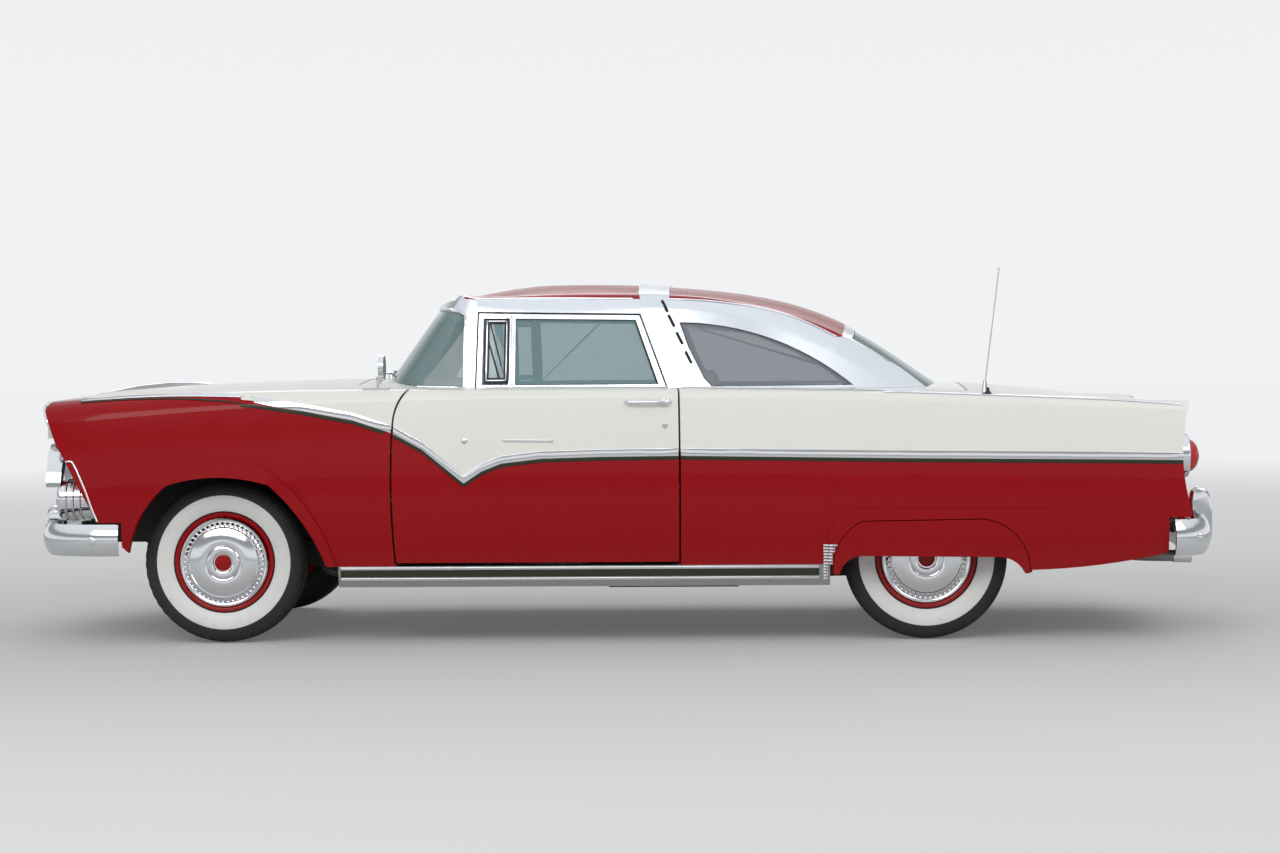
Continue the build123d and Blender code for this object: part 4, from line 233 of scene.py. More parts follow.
class Nodes:
    """The nodes of one material or of the background."""

    def __init__(self, owner: bpy.types.Material | bpy.types.World) -> None:
        """Empties the owner's node tree.

        Args:
            owner: The material or the background to build.
        """
        owner.use_nodes = True
        self.tree = owner.node_tree
        self.tree.nodes.clear()

    def node(self, kind: str, inputs: dict | None = None, **settings: object) -> bpy.types.Node:
        """Adds a node.

        Args:
            kind: The node's type.
            inputs: Values or links of its sockets, by name or number.
            settings: Its own settings, with a ramp's stops as stops.

        Returns:
            The new node.
        """
        made = self.tree.nodes.new(kind)
        for count, (place, colour) in enumerate(settings.pop("stops", ())):
            ramp = made.color_ramp.elements
            stop = ramp[count] if count < 2 else ramp.new(place)
            stop.position = place
            stop.color = (*colour, 1)
        for key, value in settings.items():
            setattr(made, key, value)
        for key, value in (inputs or {}).items():
            source = value.socket if isinstance(value, Field) else value
            if isinstance(source, Socket):
                self.tree.links.new(source, made.inputs[key])
            else:
                made.inputs[key].default_value = source
        return made

    def field(self, kind: str, inputs: dict, output: str | int = 0, **settings: object) -> Field:
        """Adds a node and reads one of its outputs as a value.

        Args:
            kind: The node's type.
            inputs: Values or links of its sockets.
            output: The output's name or number.
            settings: Its own settings.

        Returns:
            The value.
        """
        return Field(self, self.node(kind, inputs, **settings).outputs[output])

    def coordinates(self, output: str) -> Socket:
        """One output of a Texture Coordinate node."""
        return self.node("ShaderNodeTexCoord").outputs[output]

    def place(self, scale: Place = (1, 1, 1)) -> Socket:
        """Object coordinates, stretched by a Mapping node."""
        inputs = {0: self.coordinates("Object"), 3: scale}
        return self.node("ShaderNodeMapping", inputs).outputs[0]

    def split(self, vector: Socket) -> list[Field]:
        """The three parts of a vector."""
        made = self.node("ShaderNodeSeparateXYZ", {0: vector})
        return [Field(self, out) for out in made.outputs]

    def where(self) -> list[Field]:
        """The place of a point on the car: x, y and z in metres."""
        return self.split(self.coordinates("Object"))

    def facing(self) -> list[Field]:
        """The direction of the surface, in the object's own axes."""
        return self.split(self.coordinates("Normal"))

    def noise(self, scale: float, detail: float = 2, stretch: Place = (1, 1, 1)) -> Field:
        """A noise pattern.

        Args:
            scale: Lumps per metre.
            detail: Octaves of finer lumps.
            stretch: Its stretch on each axis.

        Returns:
            The pattern, around 0.5.
        """
        inputs = {"Vector": self.place(stretch), "Scale": scale, "Detail": detail}
        return self.field("ShaderNodeTexNoise", inputs)

    def cells(self, scale: float) -> Field:
        """Distance to the nearest of many scattered points."""
        inputs = {"Vector": self.place(), "Scale": scale}
        return self.field("ShaderNodeTexVoronoi", inputs, "Distance")

    def wave(self, scale: float, axis: str) -> Field:
        """Even ribs across one axis, from 0 to 1."""
        return self.field("ShaderNodeTexWave", {"Vector": self.place(), "Scale": scale}, "Fac",
                          wave_type="BANDS", bands_direction=axis, wave_profile="SIN")

    def ramp(self, value: Term, stops: Sequence[tuple[float, Colour]]) -> Socket:
        """Colours laid along a value from 0 to 1."""
        return self.node("ShaderNodeValToRGB", {0: value}, stops=stops).outputs[0]

    def follow(self, x: Field, table: Sequence[Pair], reach: float) -> Field:
        """Reads a table of points along the car.

        Args:
            x: The place to read.
            table: Pairs of x and value.
            reach: A length that x stays under on both sides of zero.

        Returns:
            The value at x.
        """
        stops = [((px + reach) / (2 * reach), (value, 0, 0)) for px, value in sorted(table)]
        return self.split(self.ramp((x + reach) / (2 * reach), stops))[0]

    def mix(self, share: Term, first: Socket | Colour, second: Socket | Colour) -> Socket:
        """Mixes two colours.

        Args:
            share: How much of the second shows.
            first: A colour or a link.
            second: A colour or a link.

        Returns:
            The mixed colour.
        """
        ends = [(*c, 1) if isinstance(c, tuple) else c for c in (first, second)]
        return self.node("ShaderNodeMix", {0: share, 6: ends[0], 7: ends[1]},
                         data_type="RGBA", clamp_factor=True).outputs[2]

    def bump(self, height: Term, distance: float, strength: float = 1.0) -> Socket:
        """Turns a height into a normal.

        Args:
            height: The height, from 0 to 1.
            distance: What a height of 1 stands for, in metres.
            strength: Share of the effect.

        Returns:
            The normal.
        """
        inputs = {"Height": height, "Distance": distance, "Strength": strength}
        return self.node("ShaderNodeBump", inputs).outputs[0]

    def principled(self, inputs: dict) -> Socket:
        """Adds a Principled shader.

        Args:
            inputs: Values or links of its sockets.

        Returns:
            The shader's output.
        """
        full = {
            key: (*value, 1) if isinstance(value, tuple) and len(value) == 3 else value
            for key, value in inputs.items()
        }
        return self.node("ShaderNodeBsdfPrincipled", full).outputs[0]

    def surface(self, inputs: dict) -> None:
        """Adds the Principled shader and the output."""
        self.node("ShaderNodeOutputMaterial", {0: self.principled(inputs)})


@dataclass(frozen=True)
class Finish:
    """One finish of the car: its material name and the record's slot."""

    name: str
    slot: str

    def lay(self, nodes: Nodes) -> None:
        """Builds the finish's nodes."""
        raise NotImplementedError

    def material(self) -> bpy.types.Material:
        """The finish as a material, built the first time."""
        found = bpy.data.materials.get(self.name)
        if found is None:
            found = bpy.data.materials.new(self.name)
            self.lay(Nodes(found))
        return found


@dataclass(frozen=True)
class Lacquer(Finish):
    """Plain glossy body paint with a trace of orange peel and road dust."""

    colour: Colour = (0.30, 0.0005, 0.004)
    dusty: Colour = (0.24, 0.17, 0.12)
    gloss: float = 0.24
    coat: float = 0.22
    dust_below: float = 0.42

    def uneven(self, nodes: Nodes, colour: Colour, share: float) -> Socket:
        """A colour that fades in places to a share of its brightness."""
        return nodes.mix(nodes.noise(1.7, 3), colour, dim(colour, share))

    def base(self, nodes: Nodes) -> Socket:
        """The clean paint's colour, a little uneven."""
        return self.uneven(nodes, self.colour, 0.93)

    def dust(self, nodes: Nodes, colour: Socket) -> Socket:
        """Lays thin road dust on the lowest part of the body.

        Args:
            nodes: The material's nodes.
            colour: The clean paint's colour.

        Returns:
            The colour with the dust on it.
        """
        height = nodes.where()[2]
        share = ((self.dust_below - height) * 1.6).clamped() * nodes.noise(60, 4) * 0.35
        return nodes.mix(share, colour, self.dusty)

    def spray(self, nodes: Nodes, colour: Socket, bare: Term = 0.0, metal: Term = 0.0) -> None:
        """Adds the paint's shader.

        Args:
            nodes: The material's nodes.
            colour: The colour that shows.
            bare: One where a dull covering takes the paint's place.
            metal: One where the sheet is polished metal.
        """
        worn = nodes.noise(9, 3) * 0.08 + (self.gloss - 0.04)
        nodes.surface({
            "Base Color": colour,
            "Roughness": worn + bare * 0.6,
            "Metallic": metal,
            "Coat Weight": (1 - bare) * self.coat,
            "Coat Roughness": 0.03,
            "Specular IOR Level": 0.1,
            "Normal": nodes.bump(nodes.noise(170), 0.0004, 0.10),
        })

    def lay(self, nodes: Nodes) -> None:
        """Builds the paint."""
        self.spray(nodes, self.dust(nodes, self.base(nodes)))


@dataclass(frozen=True)
class TwoTone(Lacquer):
    """Body paint that is red below the trim line and white above it.

    Above the belt the same sheet metal is polished, and inside the wheel
    arches it has a dark undercoat.
    """

    upper: Colour = CREAM_PAINT
    bright_above: float = 9.0
    crest_above: float = 0.9
    under: Colour = (0.028, 0.026, 0.024)
    under_below: float = 0.98

    def lay(self, nodes: Nodes) -> None:
        """Builds the paint, its split, the polished part and the undercoat."""
        x, y, z = nodes.where()
        height = nodes.follow(x, SPLIT_HEIGHTS, CAR_REACH)
        width = nodes.follow(x, SPLIT_WIDTHS, CAR_REACH)
        crest = (x > CREST_FROM) * (x < NOSE_CUT) * (abs(y) < width) * (z > self.crest_above)
        white = (crest + (x < CREST_FROM) * (z > height)).clamped()
        top = self.uneven(nodes, self.upper, 0.96)
        paint = self.dust(nodes, nodes.mix(white, self.base(nodes), top))
        polished = z > self.bright_above
        inner = ((nodes.facing()[1] * y) < -0.12) * (z < self.under_below)
        shown = nodes.mix(polished, paint, POLISHED)
        self.spray(nodes, nodes.mix(inner, shown, self.under), inner, polished)


@dataclass(frozen=True)
class RoofPaint(Lacquer):
    """Red paint on the roof, polished metal down its sides and cloth underneath."""

    sides_from: float = 0.50

    def lay(self, nodes: Nodes) -> None:
        """Builds the paint, the polished sides and the lining."""
        x, y, z = nodes.where()
        polished = (z < nodes.follow(x, ROOF_LINE, ROOF_REACH)) * (abs(y) > self.sides_from)
        inside = nodes.facing()[2] < -0.25
        shown = nodes.mix(polished, self.base(nodes), POLISHED)
        colour = nodes.mix(inside, shown, LINING)
        self.spray(nodes, colour, inside, polished * (1 - inside))


@dataclass(frozen=True)
class ShelfPaint(Lacquer):
    """White paint outside the rear glass, and dark red board inside it."""

    board: Colour = (0.16, 0.010, 0.012)
    edge: float = -1.354
    bow: float = 0.19
    half_width: float = 0.585
    arms_from: float = -1.28
    slant: float = 0.45

    def lay(self, nodes: Nodes) -> None:
        """Builds the paint and the board."""
        x, y, _ = nodes.where()
        arms = (x - self.arms_from).clamped() * self.slant + self.half_width
        inside = (x > y * y * self.bow + self.edge) * (abs(y) < arms)
        weave = nodes.noise(700)
        board = nodes.mix(weave * 0.6, self.board, dim(self.board, 0.5))
        nodes.surface({
            "Base Color": nodes.mix(inside, self.base(nodes), board),
            "Roughness": inside * 0.6 + self.gloss,
            "Coat Weight": (1 - inside) * 0.8,
            "Coat Roughness": 0.04,
            "Normal": nodes.bump(weave * inside, 0.0008, 0.4),
        })


@dataclass(frozen=True)
class FloorCover(Finish):
    """Carpet on the cabin floor, a mat in the trunk and black paint underneath."""

    carpet: Colour = (0.13, 0.012, 0.014)
    mat: Colour = (0.10, 0.105, 0.11)
    speckles: Colour = (0.30, 0.30, 0.30)
    under: Colour = (0.018, 0.018, 0.018)
    trunk_from: float = -1.50

    def lay(self, nodes: Nodes) -> None:
        """Builds the three coverings."""
        up = nodes.facing()[2] > -0.3
        trunk = nodes.where()[0] < self.trunk_from
        tufts = nodes.noise(620, 3)
        carpet = nodes.mix(tufts, self.carpet, dim(self.carpet, 0.4))
        mat = nodes.mix((nodes.cells(160) < 0.25) * 0.7, self.mat, self.speckles)
        nodes.surface({
            "Base Color": nodes.mix(up, self.under, nodes.mix(trunk, carpet, mat)),
            "Roughness": tufts * 0.2 + 0.72,
            "Specular IOR Level": 0.25,
            "Normal": nodes.bump(tufts, 0.003, 0.6),
        })


@dataclass(frozen=True)
class SeatVinyl(Finish):
    """Two-tone seat cover: pleated red inserts in white vinyl, with a welt between."""

    middle: float = 0.35
    half: float = 0.27
    top: float = 9.0
    front: float = 9.0
    red: Colour = (0.34, 0.010, 0.014)
    white: Colour = (0.68, 0.66, 0.60)
    welt: float = 0.0035

    def lay(self, nodes: Nodes) -> None:
        """Builds the cover."""
        x, y, z = nodes.where()
        beside = abs(abs(y) - self.middle) - self.half
        reach = beside.larger(z - self.top).larger(x - self.front)
        insert = reach < 0.0
        welt = abs(reach) < self.welt
        wear = nodes.noise(7, 4)
        threads = nodes.noise(3, 2, (300, 300, 300))
        cloth = nodes.mix(threads * 0.6, self.red, dim(self.red, 0.5))
        plain = nodes.mix(wear * 0.25, self.white, dim(self.white, 0.8))
        cover = nodes.mix(insert, plain, cloth)
        nodes.surface({
            "Base Color": nodes.mix(welt, cover, dim(self.white, 0.5)),
            "Roughness": wear * 0.15 + insert * 0.25 + 0.34,
            "Sheen Weight": 0.08,
            "Normal": nodes.bump(nodes.cells(520) + welt * 2.0, 0.0007, 0.4),
        })


@dataclass(frozen=True)
class Bright(Finish):
    """Chromed or polished metal, with fine hairlines and a slight haze."""

    colour: Colour = (0.80, 0.81, 0.83)
    haze: float = 0.07
    hairlines: float = 0.10
    grain: Place = (40, 40, 260)

    def lay(self, nodes: Nodes) -> None:
        """Builds the metal."""
        clouds = nodes.noise(5, 3)
        nodes.surface({
            "Base Color": nodes.mix(clouds, self.colour, dim(self.colour, 0.94)),
            "Metallic": 1.0,
            "Roughness": clouds * 0.06 + self.haze,
            "Normal": nodes.bump(nodes.noise(8, 2, self.grain), 0.0002, self.hairlines),
        })


@dataclass(frozen=True)
class Glazing(Finish):
    """Tinted window glass: clear to look through, glossy at a slant."""

    tint: Colour = (0.26, 0.44, 0.47)
    smeared: Colour = (0.5, 0.52, 0.52)
    body: float = 0.34
    shade_above: float = 9.0

    def lay(self, nodes: Nodes) -> None:
        """Builds the glass."""
        facing = nodes.field("ShaderNodeLayerWeight", {"Blend": 0.32}, "Fresnel")
        smear = nodes.noise(4, 3, (3, 3, 1)) * 0.03
        shade = ((nodes.where()[2] - self.shade_above) * 9).clamped() * 0.35
        nodes.surface({
            "Base Color": nodes.mix(smear, self.tint, self.smeared),
            "Roughness": smear + 0.01,
            "IOR": 1.52,
            "Specular IOR Level": 0.9,
            "Alpha": (facing * 0.75 + self.body + shade + smear).clamped(),
        })


@dataclass(frozen=True)
class LampGlass(Finish):
    """A lamp's pressed lens with ribs behind the glass."""

    colour: Colour = (0.82, 0.84, 0.84)
    ribs: float = 42.0
    clear: float = 0.5

    def lay(self, nodes: Nodes) -> None:
        """Builds the lens."""
        rib, cross = nodes.wave(self.ribs, "Y"), nodes.wave(self.ribs * 0.4, "Z")
        nodes.surface({
            "Base Color": nodes.mix(rib * 0.6 + cross * 0.3, dim(self.colour, 0.45), self.colour),
            "Roughness": 0.08,
            "Coat Weight": 1.0,
            "Coat Roughness": 0.02,
            "Specular IOR Level": 0.8,
            "Metallic": rib * self.clear,
            "Normal": nodes.bump(rib + cross * 0.4, 0.0015, 0.6),
        })


@dataclass(frozen=True)
class Rubber(Finish):
    """Black rubber, greyer where it is dusty."""

    colour: Colour = (0.012, 0.012, 0.012)
    dusty: Colour = (0.09, 0.085, 0.075)
    rough: float = 0.62

    def lay(self, nodes: Nodes) -> None:
        """Builds the rubber."""
        patch = nodes.noise(14, 4)
        nodes.surface({
            "Base Color": nodes.mix(patch * 0.32, self.colour, self.dusty),
            "Roughness": patch * 0.2 + (self.rough - 0.1),
            "Specular IOR Level": 0.35,
            "Normal": nodes.bump(nodes.noise(420), 0.0004, 0.35),
        })


@dataclass(frozen=True)
class Whitewall(Finish):
    """The white band of a tyre, scuffed a little."""

    colour: Colour = (0.74, 0.74, 0.72)
    scuff: Colour = (0.40, 0.38, 0.34)

    def lay(self, nodes: Nodes) -> None:
        """Builds the white rubber."""
        patch = nodes.noise(26, 5)
        nodes.surface({
            "Base Color": nodes.mix(((patch - 0.60) * 5).clamped() * 0.35, self.colour, self.scuff),
            "Roughness": patch * 0.2 + 0.38,
            "Normal": nodes.bump(nodes.noise(380), 0.0003, 0.25),
        })


@dataclass(frozen=True)
class Vinyl(Finish):
    """Grained seat vinyl with patches of wear, and painted shade in the creases of its grain."""

    colour: Colour = (0.31, 0.012, 0.018)
    grain: float = 520.0

    def lay(self, nodes: Nodes) -> None:
        """Builds the vinyl."""
        cells, wear = nodes.cells(self.grain), nodes.noise(7, 4)
        nodes.surface({
            # Darker in wear patches, and with the grain's cells as painted shade in its creases
            "Base Color": nodes.mix(wear * 0.5 + cells * 0.4, self.colour, dim(self.colour, 0.62)),
            "Roughness": wear * 0.2 + 0.34,
            "Sheen Weight": 0.08,
            "Coat Weight": 0.12,
            "Normal": nodes.bump(cells, 0.0006, 0.35),
        })


@dataclass(frozen=True)
class Plain(Finish):
    """Cast, sheet or moulded material with its own grain and patches of wear."""

    colour: Colour = (0.03, 0.03, 0.03)
    patches: Colour = (0.06, 0.05, 0.045)
    rough: float = 0.6
    metal: float = 0.0
    grain: float = 240.0
    relief: float = 0.0008
    spread: float = 0.6

    def lay(self, nodes: Nodes) -> None:
        """Builds the finish."""
        patch = nodes.noise(11, 5)
        share = ((patch - 0.42) * 3).clamped() * self.spread
        nodes.surface({
            "Base Color": nodes.mix(share, self.colour, self.patches),
            "Roughness": patch * 0.25 + (self.rough - 0.12),
            "Metallic": self.metal,
            "Normal": nodes.bump(nodes.noise(self.grain, 3), self.relief, 0.5),
        })


RED = Lacquer("red_lacquer", "red_paint")
WHITE = Lacquer("white_lacquer", "cream_paint", colour=CREAM_PAINT)
# Dark green paint under the side trim and in the sill's flute: a painted reflection of the dark
# ground that their downward faces mirror
DARK_REFLECTION_PAINT = Lacquer("painted_reflection_edge", "dark_plastic", colour=(0.028, 0.036, 0.022), gloss=0.4)
BODY_SIDE = TwoTone("two_tone_lacquer", "red_paint")
DOOR_SIDE = TwoTone("door_lacquer", "red_paint", bright_above=1.0625)
ROOF_RED = RoofPaint("roof_lacquer", "red_paint")
SHELF = ShelfPaint("shelf_paint", "cream_paint", colour=CREAM_PAINT)
FLOOR_COVER = FloorCover("floor_cover", "black_paint")
FRONT_SEAT = SeatVinyl("front_cushion_cover", "vinyl", front=0.095)
FRONT_BACK = SeatVinyl("front_back_cover", "vinyl", top=1.045)
REAR_SEAT = SeatVinyl("rear_seat_cover", "vinyl", middle=0.36, half=0.29, top=0.945, front=-0.70)
CHROME = Bright("chrome_plate", "chrome")
STAINLESS = Bright("polished_stainless", "chrome", colour=POLISHED, haze=0.17, hairlines=0.2)
RIBBED = Bright("ribbed_aluminium", "chrome", colour=(0.42, 0.45, 0.42), haze=0.24)
SIDE_GLASS = Glazing("side_glass", "window_glass")
QUARTER_GLASS = Glazing("quarter_glass", "window_glass", tint=(0.30, 0.34, 0.38), body=0.40)
SCREEN_GLASS = Glazing("screen_glass", "window_glass", tint=(0.28, 0.40, 0.41), body=0.28,
                       shade_above=1.33)
HEAD_LENS = LampGlass("headlamp_lens", "lamp_glass")
PARK_LENS = LampGlass("parking_lens", "lamp_glass", colour=(0.80, 0.79, 0.74), ribs=60)
RED_LENS = LampGlass("red_lens", "red_lens", colour=(0.52, 0.010, 0.008), ribs=55, clear=0.1)
TREAD = Rubber("tyre_rubber", "tyre")
SEAL = Rubber("seal_rubber", "dark_plastic", colour=(0.010, 0.010, 0.011), rough=0.5)
WHITE_BAND = Whitewall("whitewall_rubber", "tyre")
RED_VINYL = Vinyl("red_vinyl", "vinyl")
WHITE_VINYL = Vinyl("white_vinyl", "vinyl", colour=(0.66, 0.64, 0.58))
IVORY = Plain("ivory_plastic", "dark_plastic", colour=(0.66, 0.64, 0.57),
              patches=(0.60, 0.57, 0.49), rough=0.28, grain=900, relief=0.0001)
DIAL = Plain("dial_face", "dark_plastic", colour=(0.035, 0.036, 0.04),
             patches=(0.05, 0.05, 0.05), rough=0.35)
BLACK_PLASTIC = Plain("black_plastic", "dark_plastic", colour=(0.012, 0.012, 0.012), rough=0.4)
# Near-black slabs laid on the roof band: painted shade standing for the dark inside of its slots
PAINTED_SLOT_SHADE = Plain("slot_shade_paint", "dark_plastic", colour=(0.006, 0.006, 0.006), rough=0.9)
FRAME_BLACK = Plain("frame_black", "black_paint", colour=(0.016, 0.016, 0.016))
ENGINE_GREY = Plain("engine_enamel", "iron", colour=(0.045, 0.05, 0.055), rough=0.45)
BARE_STEEL = Plain("bare_steel", "steel", colour=(0.30, 0.29, 0.28), patches=(0.16, 0.10, 0.06),
                   rough=0.5, metal=0.8)
TANK_STEEL = Plain("tank_steel", "steel", colour=(0.16, 0.16, 0.16), metal=0.6)


# ---------------------------------------------------------------- modelling


def idle() -> None:
    """Leaves edit mode and selects nothing."""
    if bpy.context.mode != "OBJECT":
        bpy.ops.object.mode_set(mode="OBJECT")
    bpy.ops.object.select_all(action="DESELECT")


def take(piece: Piece) -> None:
    """Makes one piece the only one selected, and the active one.

    Args:
        piece: The piece.
    """
    idle()
    piece.select_set(True)
    bpy.context.view_layer.objects.active = piece


def edit(piece: Piece, kind: Kind = Kind.VERTS) -> None:
    """Opens a piece in edit mode with everything selected.

    Args:
        piece: The piece.
        kind: What is selected from now on.
    """
    take(piece)
    bpy.ops.object.mode_set(mode="EDIT")
    bpy.ops.mesh.select_mode(type=kind.value)
    bpy.ops.mesh.select_all(action="SELECT")


def pick(piece: Piece, kind: Kind, test: Callable[[Vector], bool]) -> None:
    """Selects parts of a piece in edit mode by place.

    Args:
        piece: The piece, open in edit mode.
        kind: Vertices or faces.
        test: Takes a part's middle.
    """
    bpy.ops.mesh.select_mode(type=kind.value)
    bpy.ops.mesh.select_all(action="DESELECT")
    mesh = bmesh.from_edit_mesh(piece.data)
    for part in mesh.faces if kind is Kind.FACES else mesh.verts:
        if test(part.calc_center_median() if kind is Kind.FACES else part.co):
            part.select_set(True)
    bmesh.update_edit_mesh(piece.data)


def dot(at: Spot) -> Piece:
    """Starts a piece as one vertex, from a small plane merged at its centre.

    Args:
        at: The vertex's place.

    Returns:
        The piece, open in edit mode with the vertex selected.
    """
    idle()
    bpy.ops.mesh.primitive_plane_add(size=0.01, location=at)
    piece = bpy.context.object
    bpy.ops.object.transform_apply(location=True, rotation=True, scale=True)
    edit(piece)
    bpy.ops.mesh.merge(type="CENTER")
    return piece


def draw(points: Sequence[Spot], closed: bool = False) -> Piece:
    """Draws a line from point to point, by pulling one vertex along.

    Args:
        points: The points in order.
        closed: True to join the last to the first.

    Returns:
        The piece, open in edit mode with everything selected.
    """
    places = [Vector(point) for point in points]
    piece = dot(places[0])
    for here, there in zip(places, places[1:]):
        bpy.ops.mesh.extrude_vertices_move(TRANSFORM_OT_translate={"value": there - here})
    if closed:
        ends = (places[0], places[-1])
        pick(piece, Kind.VERTS, lambda at: any((at - end).length < 1e-5 for end in ends))
        bpy.ops.mesh.edge_face_add()
    bpy.ops.mesh.select_all(action="SELECT")
    return piece


def modify(piece: Piece, kind: str, **settings: object) -> None:
    """Adds a modifier and applies it.

    Args:
        piece: The piece.
        kind: The modifier's type.
        settings: Its settings.
    """
    take(piece)
    made = piece.modifiers.new("shaping", kind)
    for key, value in settings.items():
        setattr(made, key, value)
    bpy.ops.object.modifier_apply(modifier=made.name)


def soften(piece: Piece, width: float, segments: int = 2, angle: float = 40) -> None:
    """Rounds a piece's sharp edges.

    Args:
        piece: The piece.
        width: Width of the rounding in metres.
        segments: Faces across it.
        angle: Edges sharper than this many degrees are rounded.
    """
    modify(piece, "BEVEL", width=width, segments=segments, limit_method="ANGLE",
           angle_limit=math.radians(angle), harden_normals=False)


def outward(piece: Piece) -> None:
    """Merges doubles and points every face outwards.

    Args:
        piece: The piece.
    """
    edit(piece)
    bpy.ops.mesh.remove_doubles(threshold=MERGE_DISTANCE)
    bpy.ops.mesh.normals_make_consistent(inside=False)
    idle()


def smooth(piece: Piece, angle: float = 38) -> None:
    """Shades a piece smooth, except over edges sharper than an angle in degrees."""
    take(piece)
    bpy.ops.object.shade_smooth_by_angle(angle=math.radians(angle))


def finish(piece: Piece, name: str, body: str, coat: Finish) -> None:
    """Names a piece, gives it its finish and fixes it to a body.

    Args:
        piece: The piece.
        name: Its name.
        body: The body that it rides on.
        coat: Its finish.
    """
    take(piece)
    bpy.ops.object.transform_apply(location=True, rotation=True, scale=True)
    piece.name = name
    piece.data.name = name
    piece.data.materials.clear()
    piece.data.materials.append(coat.material())
    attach(piece, body)
    log.info("%s on %s: %d faces", name, body, len(piece.data.polygons))


def spun(profile: Sequence[Pair], centre: Spot, axis: Spot, steps: int = 48) -> Piece:
    """Turns a closed profile about an axis.

    Args:
        profile: Pairs of radius and distance along the axis.
        centre: A point on the axis.
        axis: Its direction.
        steps: Steps of the turn.

    Returns:
        The turned piece, in object mode.
    """
    middle, along_axis = Vector(centre), Vector(axis).normalized()
    radial = along_axis.orthogonal().normalized()
    if abs(along_axis.z) < 0.9:
        radial = (Vector(UP) - along_axis * along_axis.z).normalized()
    points = [middle + radial * radius + along_axis * depth for radius, depth in profile]
    piece = draw(points, True)
    bpy.ops.mesh.spin(steps=steps, angle=TURN, center=middle, axis=along_axis)
    outward(piece)
    smooth(piece)
    return piece


def rod(points: Sequence[Spot], radius: float, sides: int = 2, closed: bool = False) -> Piece:
    """A round rod along a line.

    Args:
        points: The line's points.
        radius: The rod's radius.
        sides: Fineness of the round.
        closed: True for a ring.

    Returns:
        The rod, in object mode.
    """
    take(draw(points, closed))
    bpy.ops.object.convert(target="CURVE")
    piece = bpy.context.object
    piece.data.bevel_depth = radius
    piece.data.bevel_resolution = sides
    piece.data.use_fill_caps = True
    bpy.ops.object.convert(target="MESH")
    piece = bpy.context.object
    outward(piece)
    smooth(piece, 50)
    return piece


def slab(outline: Sequence[Spot], push: Spot, round_edge: float, segments: int = 2) -> Piece:
    """A flat outline pushed to a thickness.

    Args:
        outline: The outline's corners.
        push: The thickness as a vector.
        round_edge: Rounding of its edges.
        segments: Faces across the rounding.

    Returns:
        The slab, in object mode.
    """
    piece = draw(outline, True)
    bpy.ops.mesh.edge_face_add()
    bpy.ops.mesh.extrude_region_move(TRANSFORM_OT_translate={"value": Vector(push)})
    outward(piece)
    soften(piece, round_edge, segments)
    smooth(piece)
    return piece


def block(low: Spot, high: Spot, round_edge: float, segments: int = 2) -> Piece:
    """A block between two corners with rounded edges.

    Args:
        low: Its lowest corner.
        high: Its highest corner.
        round_edge: Rounding of its edges.
        segments: Faces across the rounding.

    Returns:
        The block, in object mode.
    """
    idle()
    middle = (Vector(low) + Vector(high)) / 2
    bpy.ops.mesh.primitive_cube_add(size=1, location=middle, scale=Vector(high) - Vector(low))
    piece = bpy.context.object
    bpy.ops.object.transform_apply(location=True, rotation=True, scale=True)
    soften(piece, round_edge, segments)
    smooth(piece)
    return piece


def repeat(piece: Piece, place: Matrix) -> Piece:
    """Copies a piece to another place, with its own mesh.

    Args:
        piece: The piece to copy.
        place: Where its points go.

    Returns:
        The copy.
    """
    take(piece)
    bpy.ops.object.duplicate(linked=False)
    copy = bpy.context.object
    copy.parent = None
    copy.data.transform(place)
    if place.determinant() < 0:
        edit(copy)
        bpy.ops.mesh.flip_normals()
        idle()
    return copy


def pair(piece: Piece, word: str, body: str, coat: Finish) -> None:
    """Finishes a left-hand piece and its mirror image on the right.

    Args:
        piece: The left-hand piece.
        word: Its name without the side.
        body: Its body, or "door" for the door of its side.
        coat: Its finish.
    """
    other = repeat(piece, Matrix.Scale(-1, 4, LEFT))
    for side, made in ((Side.LEFT, piece), (Side.RIGHT, other)):
        rides = f"door_{side.word}" if body == "door" else body
        finish(made, f"{word}_{side.word}", rides, coat)


def join(pieces: Sequence[Piece]) -> Piece:
    """Joins pieces into the first of them.

    Args:
        pieces: The pieces.

    Returns:
        The joined piece.
    """
    idle()
    for piece in pieces:
        piece.select_set(True)
    bpy.context.view_layer.objects.active = pieces[0]
    bpy.ops.object.join()
    return bpy.context.object


class Surface:
    """The skin of some CAD nodes, to lay trim on."""

    def __init__(self, *names: str) -> None:
        """Reads the nodes' triangles.

        Args:
            names: The nodes.
        """
        points: list[Vector] = []
        faces: list[list[int]] = []
        for name in names:
            mesh = cad(name).data
            start = len(points)
            points += [vertex.co.copy() for vertex in mesh.vertices]
            faces += [[start + i for i in polygon.vertices] for polygon in mesh.polygons]
        self.tree = BVHTree.FromPolygons(points, faces)

    def hit(self, start: Spot, way: Spot) -> Vector | None:
        """The first point of the skin from a start in a direction."""
        return self.tree.ray_cast(Vector(start), Vector(way))[0]

    def side(self, x: float, z: float) -> Vector | None:
        """The skin seen from the left at a place and height."""
        return self.hit((x, 2, z), RIGHT)

    def top(self, x: float, y: float) -> Vector | None:
        """The skin seen from above."""
        return self.hit((x, y, 3), DOWN)

    def trail(self, starts: Sequence[Spot], way: Spot, lift: Place = (0, 0, 0)) -> list[Vector]:
        """The points of the skin from a row of starts, where there is skin.

        Args:
            starts: The starts.
            way: The direction to look in.
            lift: How far each point is moved off the skin.

        Returns:
            The points in order.
        """
        hits = (self.hit(start, way) for start in starts)
        return [found + Vector(lift) for found in hits if found is not None]


